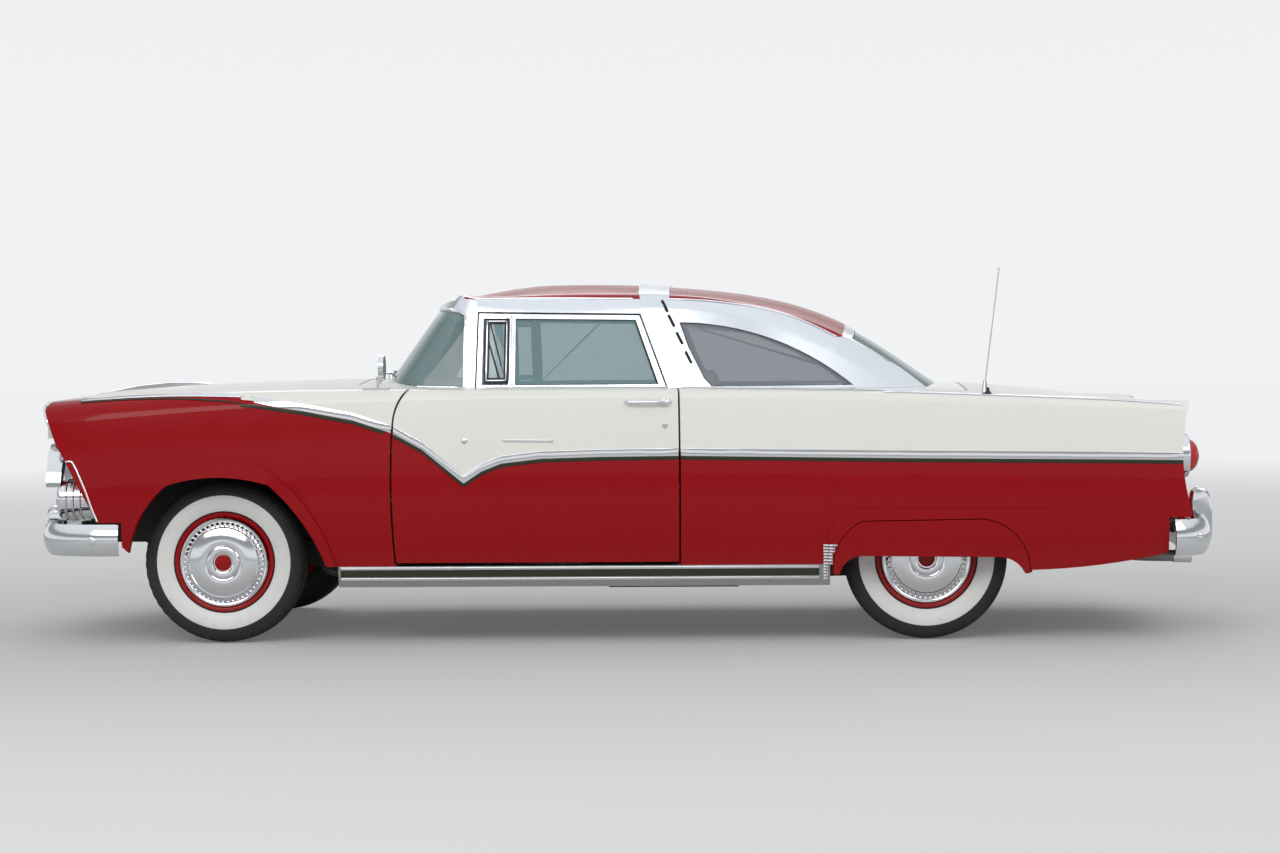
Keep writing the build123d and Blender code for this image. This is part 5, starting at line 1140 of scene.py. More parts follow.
def strip(
    points: Sequence[Vector],
    across: Place,
    node: str,
    thickness: float,
    round_edge: float,
    away: Place = LEFT,
) -> Piece:
    """A moulding that lies on a CAD node.

    Args:
        points: Its first edge, on the skin.
        across: The way to its other edge.
        node: The node that it lies on.
        thickness: How far it stands out.
        round_edge: Rounding of its edges.
        away: Roughly the way out of the skin.

    Returns:
        The moulding, in object mode.
    """
    piece = draw(points)
    bpy.ops.mesh.extrude_edges_move(TRANSFORM_OT_translate={"value": Vector(across)})
    bpy.ops.mesh.select_all(action="SELECT")
    bpy.ops.mesh.remove_doubles(threshold=0.00001)
    mesh = bmesh.from_edit_mesh(piece.data)
    mesh.normal_update()
    total = sum((face.normal for face in mesh.faces), Vector())
    if total.dot(Vector(away)) < 0:
        bpy.ops.mesh.flip_normals()
    idle()
    modify(piece, "SHRINKWRAP", target=cad(node), wrap_method="NEAREST_SURFACEPOINT",
           wrap_mode="ON_SURFACE", offset=TRIM_STAND)
    modify(piece, "SOLIDIFY", thickness=thickness, offset=1.0)
    outward(piece)
    soften(piece, round_edge, 3, 50)
    smooth(piece)
    return piece


# ---------------------------------------------------------------- the studio


@dataclass
class Studio:
    """Camera, lights, floor and background."""

    eye: Place = (-0.512, 12.1, 1.20)
    lens: float = 76.4
    yaw: float = 2.13
    pitch: float = 1.54
    roll: float = 0.48
    floor_size: float = 160.0
    floor_colour: Colour = (0.56, 0.565, 0.56)
    floor_lift: float = 0.12
    horizon: Colour = (0.86, 0.87, 0.88)
    ambient: Colour = (0.96, 0.98, 1)
    ambient_power: float = 0.62

    # The background from the horizon up, with a dark band above what the camera sees
    SKY = (
        (0.0, (0.88, 0.89, 0.90)), (0.15, (0.86, 0.87, 0.89)), (0.21, (0.36, 0.37, 0.37)),
        (0.36, (0.30, 0.31, 0.32)), (0.48, (0.78, 0.81, 0.85)), (1.0, (0.93, 0.96, 1.0)),
    )
    # Place, width, length and power in watts of each soft lamp
    LAMPS = (
        ((2.5, 7.5, 5.0), 7.0, 3.0, 240), ((-5.0, 5.0, 4.5), 4.0, 3.0, 100),
        ((0.0, -7.0, 5.5), 7.0, 3.0, 170),
    )

    def camera(self) -> None:
        """Sets the camera at the photograph's place."""
        idle()
        bpy.ops.object.camera_add(location=self.eye)
        camera = bpy.context.object
        yaw, pitch, roll = (math.radians(a) for a in (self.yaw, self.pitch, self.roll))
        ahead = Vector((math.sin(yaw), -math.cos(yaw), -math.tan(pitch))).normalized()
        right = ahead.cross(Vector(UP)).normalized()
        up = right.cross(ahead)
        tipped = right * math.cos(roll) - up * math.sin(roll)
        upright = up * math.cos(roll) + right * math.sin(roll)
        camera.rotation_euler = Matrix((tipped, upright, -ahead)).transposed().to_euler()
        camera.data.sensor_width = 36
        camera.data.lens = self.lens
        camera.data.clip_end = 400
        bpy.context.scene.camera = camera

    def lamps(self) -> None:
        """Adds the soft lamps, which all point at the car."""
        for place, width, length, power in self.LAMPS:
            idle()
            bpy.ops.object.light_add(type="AREA", location=place)
            lamp = bpy.context.object
            lamp.data.shape = "RECTANGLE"
            lamp.data.size = width
            lamp.data.size_y = length
            lamp.data.energy = power
            way = Vector((0, 0, 0.5)) - Vector(place)
            lamp.rotation_euler = way.to_track_quat("-Z", "Y").to_euler()

    def background(self) -> None:
        """A pale background that also shows in metal and glass."""
        world = bpy.data.worlds.new("studio")
        bpy.context.scene.world = world
        nodes = Nodes(world)
        rays = nodes.node("ShaderNodeLightPath").outputs
        direct = Field(nodes, rays["Is Camera Ray"]).larger(rays["Is Glossy Ray"])
        height = nodes.split(nodes.coordinates("Generated"))[2]
        seen, soft = (
            nodes.node("ShaderNodeBackground", {0: colour, 1: power}).outputs[0]
            for colour, power in ((nodes.ramp(height, self.SKY), 1.0),
                                  ((*self.ambient, 1), self.ambient_power))
        )
        share = direct.larger(rays["Is Transmission Ray"])
        chosen = nodes.node("ShaderNodeMixShader", {0: share, 1: soft, 2: seen})
        nodes.node("ShaderNodeOutputWorld", {0: chosen.outputs[0]})

    def floor(self) -> None:
        """A plain pale floor under the tyres, which fades into the background."""
        idle()
        bpy.ops.mesh.primitive_plane_add(size=self.floor_size, location=(0, 0, -0.0005))
        floor = bpy.context.object
        floor.name = "floor"
        material = bpy.data.materials.new("studio_floor")
        nodes = Nodes(material)
        grain = nodes.noise(30, 3)
        matt = nodes.principled({
            "Base Color": nodes.mix(grain * 0.3, self.floor_colour, dim(self.floor_colour, 0.96)),
            "Roughness": 0.85,
            "Specular IOR Level": 0.2,
        })
        x, y, _ = nodes.where()
        far = ((x * x + y * y).math("SQRT") - 3.5) / 16
        camera = nodes.node("ShaderNodeLightPath").outputs["Is Camera Ray"]
        share = ((far.clamped() * 0.93 + self.floor_lift) * camera).clamped()
        pale = nodes.node("ShaderNodeEmission", {0: (*self.horizon, 1), 1: 1.0}).outputs[0]
        both = nodes.node("ShaderNodeMixShader", {0: share, 1: matt, 2: pale})
        nodes.node("ShaderNodeOutputMaterial", {0: both.outputs[0]})
        floor.data.materials.append(material)

    def build(self) -> None:
        """Sets up the whole studio."""
        bpy.context.scene.view_settings.view_transform = "Standard"
        self.camera()
        self.lamps()
        self.background()
        self.floor()


# ---------------------------------------------------------------- the car


class Shell:
    """The painted and bare CAD panels, dressed in their finishes."""

    COATS: dict[Finish, tuple[str, ...]] = {
        BODY_SIDE: ("front_fender_left", "front_fender_right", "quarter_panel_left",
                    "quarter_panel_right"),
        DOOR_SIDE: ("door_left", "door_right"),
        WHITE: ("hood", "cowl", "deck_lid"),
        RED: ("fender_skirts", "tail_panel"),
        ROOF_RED: ("roof_panel",),
        SHELF: ("package_shelf",),
        FLOOR_COVER: ("floor_pan",),
        STAINLESS: ("roof_band", "roof_frame"),
        RIBBED: ("rocker_panels",),
        CHROME: ("front_bumper", "rear_bumper", "grille", "mirror", "antenna", "headlights",
                 "parking_lamps", "tail_lights"),
        IVORY: ("steering_wheel",),
        SIDE_GLASS: ("door_glass_left", "door_glass_right"),
        QUARTER_GLASS: ("quarter_windows",),
        SCREEN_GLASS: ("windshield", "rear_window"),
        RED_VINYL: ("dashboard", "front_seat_base", "front_seat_back_left",
                    "front_seat_back_right", "rear_seat"),
        FRAME_BLACK: ("frame_rails_front", "frame_rails_middle", "frame_rails_rear",
                      "frame_crossmembers", "inner_fenders", "radiator", "front_suspension",
                      "rear_axle"),
        ENGINE_GREY: ("engine",),
        TANK_STEEL: ("fuel_tank",),
        BARE_STEEL: ("exhaust", "knuckle_left", "knuckle_right"),
    }

    def build(self) -> None:
        """Dresses every panel."""
        for coat, nodes in self.COATS.items():
            for piece in map(cad, nodes):
                if not piece.material_slots:
                    piece.data.materials.append(coat.material())
                for holder in piece.material_slots:
                    holder.material = coat.material()


@dataclass
class SideTrim:
    """The bright strip along the paint split, and the belt mouldings."""

    width: float = 0.033
    edge_width: float = 0.014
    thickness: float = 0.0045
    step: float = 0.03

    # Name, node, body, ends and distance from the middle of each belt moulding, and its width
    BELTS = (
        ("cowl_belt", "cowl", "body", 0.960, DOOR_CUT_FRONT - 0.06, 0.826, 0.012),
        ("door_belt", "door_left", "door", DOOR_CUT_FRONT - 0.075, DOOR_CUT_REAR + 0.004, 0.822,
         0.014),
        ("quarter_belt", "quarter_panel_left", "body", DOOR_CUT_REAR - 0.006, -1.25, 0.818, 0.014),
        ("fender_top", "quarter_panel_left", "body", -1.10, TAIL_CUT + 0.03, 0.872, 0.016),
    )
    # Name, node, body and ends of each length of the strip
    LENGTHS = (
        ("fender", "front_fender_left", "body", NOSE_CUT, CREST_FROM + 0.001),
        ("fender_rear", "front_fender_left", "body", CREST_FROM - 0.001, DOOR_CUT_FRONT + 0.006),
        ("door", "door_left", "door", DOOR_CUT_FRONT - 0.005, DOOR_CUT_REAR + 0.004),
        ("quarter", "quarter_panel_left", "body", DOOR_CUT_REAR - 0.006, TAIL_CUT),
    )

    def stations(self, start: float, end: float) -> list[float]:
        """Places along the car between two ends, the split's corners among them.

        Args:
            start: The front end.
            end: The rear end.

        Returns:
            The places from front to rear.
        """
        places = set(spaced(start, end, max(2, round(abs(start - end) / self.step))))
        places |= {x for x, _ in SPLIT_HEIGHTS if end + 0.004 < x < start - 0.004}
        return sorted(places, reverse=True)

    def path(self, skin: Surface, start: float, end: float, lift: float) -> list[Vector]:
        """Points of the split on the skin.

        Args:
            skin: The panel's skin.
            start: Its front end.
            end: Its rear end.
            lift: How far above the split the points lie.

        Returns:
            The points from front to rear.
        """
        points = []
        for x in self.stations(start, end):
            if x > CREST_FROM:
                found = skin.top(x, along(SPLIT_WIDTHS, x) - lift)
            else:
                found = skin.side(x, along(SPLIT_HEIGHTS, x) + lift)
            if found is not None:
                points.append(found)
        return points

    def split(self) -> None:
        """The strip along the split, and below it a dark strip that is a painted reflection of the
        dark ground in its lower bevel.
        """
        for word, node, body, start, end in self.LENGTHS:
            skin = Surface(node)
            crest = word == "fender"
            away = (0, 0.4, 1) if crest else LEFT
            for part, coat, lift, width, thickness in (
                ("strip", CHROME, self.width / 2, self.width, self.thickness),
                # The dark strip under the bright one is a painted reflection of the ground
                ("edge", DARK_REFLECTION_PAINT, -self.width / 2 - 0.0005, self.edge_width, self.thickness * 0.7),
            ):
                across = (0, width, 0) if crest else (0, 0, -width)
                points = self.path(skin, start, end, lift)
                made = strip(points, across, node, thickness, thickness * 0.42, away)
                pair(made, f"{word}_trim_{part}", body, coat)

    def belt(self) -> None:
        """The bright moulding under the side windows and along the rear fender."""
        for name, node, body, start, end, out, width in self.BELTS:
            places = spaced(start, end, max(2, round((start - end) / 0.05)))
            points = Surface(node).trail([(x, out, 3) for x in places], DOWN)
            if len(points) < 2:
                log.warning("%s has no skin under it", name)
                continue
            made = strip(points, (0, width, 0), node, 0.006, 0.0025, UP)
            pair(made, name, body, STAINLESS)

    def build(self) -> None:
        """Builds all side trim."""
        self.split()
        self.belt()


@dataclass
class Wheel:
    """One road wheel: tyre with tread, white band, rim and bright cover."""

    steps: int = 96

    # Profiles, as radius and distance along the axle
    RIM = (
        (0.207, -0.068), (0.2085, -0.065), (0.206, -0.062), (0.192, -0.060), (0.188, -0.035),
        (0.172, -0.028), (0.172, 0.022), (0.188, 0.030), (0.192, 0.060), (0.206, 0.062),
        (0.2085, 0.065), (0.207, 0.068), (0.198, 0.0685), (0.190, 0.064), (0.184, 0.056),
        (0.176, 0.054), (0.150, 0.062), (0.060, 0.058), (0.030, 0.060), (0.017, 0.060),
        (0.017, -0.047), (0.060, -0.047), (0.135, -0.046), (0.140, -0.010), (0.165, 0.014),
        (0.165, -0.034), (0.180, -0.044), (0.184, -0.064), (0.190, -0.0685),
    )
    COVER = (
        (0.180, 0.060), (0.1855, 0.066), (0.1850, 0.072), (0.180, 0.0765), (0.174, 0.0755),
        (0.1705, 0.0720), (0.1690, 0.0745), (0.1500, 0.0820), (0.1480, 0.0855), (0.1455, 0.0870),
        (0.1430, 0.0850), (0.130, 0.0895), (0.112, 0.0945), (0.095, 0.0975), (0.078, 0.0985),
        (0.0715, 0.0960), (0.0695, 0.0985), (0.0660, 0.1015), (0.058, 0.1030), (0.0475, 0.1030),
        (0.0420, 0.1010), (0.0400, 0.0975), (0.0360, 0.0970), (0.0360, 0.0900), (0.0, 0.0900),
        (0.0, 0.0650), (0.150, 0.0660),
    )
    CENTRE = (
        (0.0345, 0.0905), (0.0345, 0.0975), (0.0315, 0.0992), (0.0190, 0.0998), (0.0, 0.1022),
        (0.0, 0.0905),
    )
    # The inner half of the tyre, which its outer half mirrors
    TYRE = (
        (0.1925, -0.0575), (0.2075, -0.0620), (0.2110, -0.0640), (0.2150, -0.0690),
        (0.2300, -0.0770), (0.2480, -0.0825), (0.2700, -0.0850), (0.2800, -0.0845),
        (0.2830, -0.0850), (0.3000, -0.0800), (0.3180, -0.0730), (0.3260, -0.0680),
        (0.3320, -0.0620), (0.3352, -0.0560), (0.3362, -0.0480), (0.3290, -0.0465),
        (0.3290, -0.0425), (0.3372, -0.0410), (0.3386, -0.0260), (0.3305, -0.0245),
        (0.3305, -0.0205), (0.3390, -0.0190), (0.3398, -0.0040), (0.3310, -0.0025),
    )
    BAND = (
        (0.2140, 0.0686), (0.2200, 0.0728), (0.2300, 0.0778), (0.2480, 0.0833), (0.2650, 0.0856),
        (0.2780, 0.0856), (0.2810, 0.0848), (0.2780, 0.0835), (0.2650, 0.0830), (0.2480, 0.0810),
        (0.2300, 0.0750), (0.2180, 0.0700),
    )
    VALVE = ((0.0, 0.0), (0.004, 0.0), (0.004, 0.022), (0.0028, 0.024), (0.0028, 0.030),
             (0.0, 0.030))

    def turned(self, profile: Sequence[Pair]) -> Piece:
        """A piece turned about the axle, at the origin."""
        return spun(profile, (0, 0, 0), LEFT, self.steps)

    def pick_teeth(self, piece: Piece, ring: Pair, on_side: Callable[[float], bool]) -> None:
        """Selects every second face of a ring.

        Args:
            piece: The turned piece.
            ring: The ring's inner and outer radius.
            on_side: Takes a face's distance along the axle.
        """
        edit(piece, Kind.FACES)
        pitch = TURN / self.steps

        def tooth(middle: Vector) -> bool:
            """True for a face of every second step."""
            reach = math.hypot(middle.x, middle.z)
            index = math.floor(math.atan2(middle.z, middle.x) / pitch)
            return index % 2 == 0 and ring[0] < reach < ring[1] and on_side(middle.y)

        pick(piece, Kind.FACES, tooth)

    def tyre(self) -> Piece:
        """A tyre about the origin with grooves and a ribbed shoulder."""
        half = list(self.TYRE)
        piece = self.turned(half + [(radius, -across) for radius, across in reversed(half)])
        self.pick_teeth(piece, (0.318, 0.3362), lambda y: abs(y) > 0.046)
        bpy.ops.mesh.extrude_region_shrink_fatten(TRANSFORM_OT_shrink_fatten={"value": -0.0032})
        outward(piece)
        soften(piece, 0.0008, 1, 60)
        smooth(piece, 30)
        return piece

    def cover(self) -> Piece:
        """The bright cover, with a ring of flutes pressed into it."""
        piece = self.turned(self.COVER)
        self.pick_teeth(piece, (0.151, 0.1688), lambda y: y > 0.07)
        bpy.ops.mesh.inset(thickness=0.0012, use_individual=True)
        bpy.ops.mesh.extrude_region_shrink_fatten(TRANSFORM_OT_shrink_fatten={"value": -0.0022})
        idle()
        return piece

    def build(self) -> None:
        """Builds one wheel and copies it to the four corners."""
        parts = (
            ("tyre_tread", self.tyre(), TREAD), ("white_band", self.turned(self.BAND), WHITE_BAND),
            ("wheel_rim", self.turned(self.RIM), RED), ("wheel_cover", self.cover(), CHROME),
            ("cover_centre", spun(self.CENTRE, (0, 0, 0), LEFT, 32), RED),
            ("valve", spun(self.VALVE, (0, 0.058, 0.192), LEFT, 12), SEAL),
        )
        replaced = {"tyre_tread": "tyre", "wheel_rim": "wheel"}
        for corner, side in [(f"{end}_{side.word}", side) for end in ("front", "rear")
                             for side in Side]:
            low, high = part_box(f"tyre_{corner}")
            place = Matrix.Translation((low + high) / 2)
            if side is Side.RIGHT:
                place = place @ Matrix.Rotation(math.pi, 4, "Z")
            for word, master, coat in parts:
                piece = repeat(master, place)
                finish(piece, f"{word}_{corner}", f"wheel_{corner}", coat)
                if word in replaced:
                    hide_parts(f"{replaced[word]}_{corner}")
        for _, master, _ in parts:
            bpy.data.objects.remove(master)


def outer_rings(node: str, lift: float, cabin: Place = (-0.2, 0.0, 1.15)) -> list[list[Vector]]:
    """The rim of each pane of a glass node, on its outer face.

    Args:
        node: The glass node.
        lift: How far the rim is raised off the pane.
        cabin: A point inside the cabin, which the outer faces turn away from.

    Returns:
        The rim's points in order, for each pane.
    """
    mesh = bmesh.new()
    mesh.from_mesh(cad(node).data)
    bmesh.ops.remove_doubles(mesh, verts=mesh.verts, dist=MERGE_DISTANCE)
    tree = BVHTree.FromBMesh(mesh)
    outer = set()
    for face in mesh.faces:
        middle = face.calc_center_median()
        depth = tree.ray_cast(middle - face.normal * 0.0004, -face.normal)[3]
        thin = depth is not None and depth < 0.0085
        if thin and (middle - Vector(cabin)).dot(face.normal) > 0:
            outer.add(face)
    raised: dict[int, Vector] = {}
    for face in outer:
        for vertex in face.verts:
            raised[vertex.index] = raised.get(vertex.index, Vector()) + face.normal
    links: dict[int, list[int]] = {}
    for edge in mesh.edges:
        if sum(face in outer for face in edge.link_faces) == 1:
            first, second = (vertex.index for vertex in edge.verts)
            links.setdefault(first, []).append(second)
            links.setdefault(second, []).append(first)
    mesh.verts.ensure_lookup_table()
    rings = []
    while links:
        ring, here, last = [], next(iter(links)), None
        while here in links:
            ring.append(mesh.verts[here].co + raised[here].normalized() * lift)
            nexts = [other for other in links.pop(here) if other != last and other in links]
            if not nexts:
                break
            last, here = here, nexts[0]
        if len(ring) > 3:
            rings.append(ring)
    mesh.free()
    return rings


def spread(ring: Sequence[Vector], distance: float) -> list[Vector]:
    """A ring moved outwards in its own surface.

    Args:
        ring: The ring's points in order.
        distance: How far it moves out.

    Returns:
        The moved points.
    """
    middle = sum(ring, Vector()) / len(ring)
    moved = []
    for back, point, ahead in zip([ring[-1], *ring], ring, [*ring[1:], ring[0]]):
        way = (ahead - back).normalized()
        out = point - middle
        moved.append(point + (out - way * out.dot(way)).normalized() * distance)
    return moved


def thinned(ring: Sequence[Vector], gap: float = 0.004) -> list[Vector]:
    """A ring without points that lie too close together.

    Args:
        ring: The ring's points in order.
        gap: The smallest gap that is left.

    Returns:
        The points that stay.
    """
    kept: list[Vector] = []
    for point in ring:
        if not kept or (point - kept[-1]).length > gap:
            kept.append(point)
    return kept


@dataclass
class Glasshouse:
    """Seals and bright mouldings round the glass, the drip rails and the band's slots."""

    seal: float = 0.0042
    bead: float = 0.0045
    slot_length: float = 0.060
    slot_width: float = 0.013

    # Node, name, body and distance of the bright moulding of each pane
    PANES = (
        ("windshield", "screen", "body", 0.010), ("rear_window", "rear_glass", "body", 0.010),
        ("quarter_windows", "quarter_glass", "body", 0.009),
        ("door_glass_left", "door_glass_left", "door_left", 0.0),
        ("door_glass_right", "door_glass_right", "door_right", 0.0),
    )
    DRIPS = (("front", 0.655, -0.060), ("rear", -0.185, -0.917))
    SLOTS = ((-0.196, 1.398), (-0.224, 1.335), (-0.258, 1.262), (-0.295, 1.182))
    SLOT_SHAPE = ((1, 0.7), (0.8, 1), (-0.8, 1), (-1, 0.7), (-1, -0.7), (-0.8, -1), (0.8, -1),
                  (1, -0.7))

    def rims(self) -> None:
        """Dark seals at the edge of every pane, with bright mouldings outside some."""
        for node, word, body, out in self.PANES:
            for count, ring in enumerate(outer_rings(node, 0.002)):
                points = thinned(ring)
                finish(rod(points, self.seal, 1, True), f"{word}_seal_{count + 1}", body, SEAL)
                if out:
                    piece = rod(thinned(spread(ring, out)), self.bead, 1, True)
                    finish(piece, f"{word}_moulding_{count + 1}", body, CHROME)

    def drip_rails(self) -> None:
        """The bright rails along the lower edge of the roof paint."""
        skin = Surface("roof_panel", "roof_frame")
        for word, start, end in self.DRIPS:
            places = spaced(start, end, round(abs(start - end) / 0.05))
            points = skin.trail([(x, 2, along(ROOF_LINE, x)) for x in places], RIGHT, (0, 0.002, 0))
            inner = [(a + b * 2 + c) / 4 for a, b, c in zip(points, points[1:], points[2:])]
            pair(rod([points[0], *inner, points[-1]], 0.0045), f"drip_rail_{word}", "body", CHROME)

    def slots(self) -> None:
        """Dark slabs down the rear edge of the roof band: painted shade where its slots are."""
        skin = Surface("roof_band")
        for count, (x, z) in enumerate(self.SLOTS):
            found = [skin.side(x + dx, z + dz) for dx, dz in ((0, 0), (0.013, 0.026),
                                                              (-0.013, -0.026))]
            if None in found:
                log.warning("roof band slot %d has no skin under it", count + 1)
                continue
            base, upper, lower = found
            way = (upper - lower).normalized()
            across = way.cross(Vector(LEFT)).normalized()
            out = across.cross(way).normalized()
            if out.y < 0:
                out = -out
            corners = [base + way * (self.slot_length / 2 * a) + across * (self.slot_width / 2 * b)
                       - out * 0.002 for a, b in self.SLOT_SHAPE]
            # A near-black slab just proud of the band: painted shade for the slot
            piece = slab(corners, out * 0.0032, 0.0008, 1)
            pair(piece, f"band_slot_{count + 1}", "body", PAINTED_SLOT_SHADE)

    def build(self) -> None:
        """Builds the seals, rails and slots."""
        self.rims()
        self.drip_rails()
        self.slots()


@dataclass
class VentPanes:
    """The small front pane of each door glass, with its frame, seals and bar."""

    front_x: float = 0.560
    rear_x: float = 0.456
    low_z: float = 1.082
    high_z: float = 1.350
    bar_gap: float = 0.014

    def ring(self, skin: Surface, inset: float) -> list[Vector]:
        """The pane's outline on the glass.

        Args:
            skin: The door glass.
            inset: How far inside the outline.

        Returns:
            Points round the pane.
        """
        rear, front = self.rear_x + inset, self.front_x - inset
        low, high = self.low_z + inset, self.high_z - inset
        corners = [(rear, low), (rear, high), (front, high), (front, low)]
        starts = [(x0 + (x1 - x0) * i / 6, 2, z0 + (z1 - z0) * i / 6)
                  for (x0, z0), (x1, z1) in zip(corners, corners[1:] + corners[:1])
                  for i in range(6)]
        return skin.trail(starts, RIGHT, GLASS_STAND)

    def build(self) -> None:
        """Builds the bar, the bright frame and the two seals on both doors."""
        skin = Surface("door_glass_left", "door_left")
        starts = [(self.rear_x - self.bar_gap, 2, z) for z in spaced(1.075, 1.363, 8)]
        for word, lines, radius, coat, closed in (
            ("vent_bar", [skin.trail(starts, RIGHT, GLASS_STAND)], 0.0065, CHROME, False),
            ("vent_frame", [self.ring(skin, 0.010)], 0.0045, CHROME, True),
            ("vent_seal", [self.ring(skin, 0.001), self.ring(skin, 0.017)], 0.0040, SEAL, True),
        ):
            pair(join([rod(line, radius, 2, closed) for line in lines]), word, "door", coat)


@dataclass
class DoorFittings:
    """Handles, locks and plain bright bars of both doors."""

    handle_front: float = -0.048
    handle_rear: float = -0.208
    handle_z: float = 1.0
    stand: float = 0.0245

    BUTTON = ((0.0, 0.0), (0.0135, 0.0), (0.0150, 0.004), (0.0150, 0.020), (0.0130, 0.0245),
              (0.0105, 0.0255), (0.0090, 0.0240), (0.0, 0.0240))
    FOOT = ((0.0, -0.004), (0.010, -0.004), (0.0115, 0.0015), (0.010, 0.0045), (0.0, 0.0055))
    LOCK = ((0.0, -0.003), (0.0105, -0.003), (0.0115, 0.002), (0.0090, 0.0040), (0.0072, 0.0040),
            (0.0066, 0.0030), (0.0, 0.0030))
    BOSS = ((0.0, -0.003), (0.012, -0.003), (0.013, 0.002), (0.010, 0.005), (0.0, 0.0065))
    # Points of the pull bar: how near the rear foot, share of the stand, and an offset
    PULL = (
        (0, 0.0, (0.010, 0.002, 0)), (0, 0.0, (0.004, 0.016, 0)), (0, 0.8, (-0.008, 0, 0)),
        (0, 1.0, (-0.030, 0, 0)), (0.5, 1.08, (0, 0, 0)), (1, 1.0, (0.020, 0, 0)),
        (1, 0.86, (0, 0, 0)), (1, 0.5, (-0.010, 0, 0)), (1, 0.0, (-0.012, 0.004, 0)),
    )

    def handle(self, skin: Surface) -> Piece:
        """The pull bar, its two feet and the push button, on the left door's skin."""
        front, rear = (skin.side(x, self.handle_z) for x in (self.handle_front, self.handle_rear))
        out = Vector((0, self.stand, 0))
        line = [front + (rear - front) * near + out * share + Vector(offset)
                for near, share, offset in self.PULL]
        bar = rod(line, 0.0075, 3)
        modify(bar, "SUBSURF", levels=1, render_levels=1)
        parts = [bar, spun(self.BUTTON, rear + Vector((0.004, -0.002, 0)), LEFT, 24)]
        for place, length in ((front, 0.017), (rear, 0.021)):
            foot = spun(self.FOOT, place, LEFT, 24)
            longer = Matrix.Scale(length / 0.0115, 4, AHEAD)
            foot.data.transform(Matrix.Translation(place) @ longer @ Matrix.Translation(-place))
            parts.append(foot)
        return join(parts)

    def build(self) -> None:
        """Builds the fittings on the left and mirrors them."""
        skin = Surface("door_left")
        line = [skin.side(x, z) for x, z in zip(spaced(0.470, 0.260, 10), spaced(0.852, 0.848, 10))]
        for name, piece in (
            ("door_handle", self.handle(skin)),
            ("door_lock", spun(self.LOCK, skin.side(-0.200, 0.902), LEFT, 24)),
            ("door_bar", strip(line, (0, 0, -0.011), "door_left", 0.004, 0.0017)),
            ("door_boss", spun(self.BOSS, skin.side(0.628, 0.846), LEFT, 28)),
        ):
            pair(piece, name, "door", CHROME)


@dataclass
class Sills:
    """The ribbed sill mouldings and the stone shields behind them."""

    shield_front: float = -0.846
    shield_rear: float = -0.905
    shield_top: float = 0.410
    shield_pitch: float = 0.0125
    shield_ribs: int = 12
    rocker_top: float = 0.333

    # Name, height, width, thickness and finish of each bead
    BEADS = (
        # The flute's dark paint is a painted reflection of the dark ground
        ("upper", 0.3240, 0.012, 0.006, CHROME), ("flute", 0.3105, 0.030, 0.002, DARK_REFLECTION_PAINT),
        ("lower", 0.2790, 0.012, 0.006, CHROME),
    )

    def row(self, node: str, places: Sequence[float], z: float, outside: float) -> list[Vector]:
        """Points along a panel at one height, without those on its inner parts.

        Args:
            node: The panel.
            places: Places along the car.
            z: The height.
            outside: Points nearer the middle than this are left out.

        Returns:
            The points in order.
        """
        found = Surface(node).trail([(x, 2, z) for x in places], RIGHT)
        return [point for point in found if point.y > outside]

    def sill(self) -> None:
        """Two bright beads along the sill, with a dark flute between them that is a painted
        reflection of the ground.
        """
        for word, z, width, thickness, coat in self.BEADS:
            points = self.row("rocker_panels", spaced(1.150, -0.830, 40), z, 0.8)
            piece = strip(points, (0, 0, -width), "rocker_panels", thickness, thickness * 0.4)
            pair(piece, f"sill_{word}", "body", coat)

    def shield(self) -> None:
        """The ribbed stone shield ahead of each rear wheel."""
        places = spaced(self.shield_front, self.shield_rear, 6)
        ribs = []
        for i in range(self.shield_ribs):
            height = self.shield_top - i * self.shield_pitch
            node = "quarter_panel_left" if height > self.rocker_top else "rocker_panels"
            row = self.row(node, places, height, 0.85)
            if len(row) > 1:
                ribs.append(strip(row, (0, 0, -0.0085), node, 0.0065, 0.0026))
        pair(join(ribs), "stone_shield", "body", CHROME)

    def build(self) -> None:
        """Builds both sides."""
        self.sill()
        self.shield()


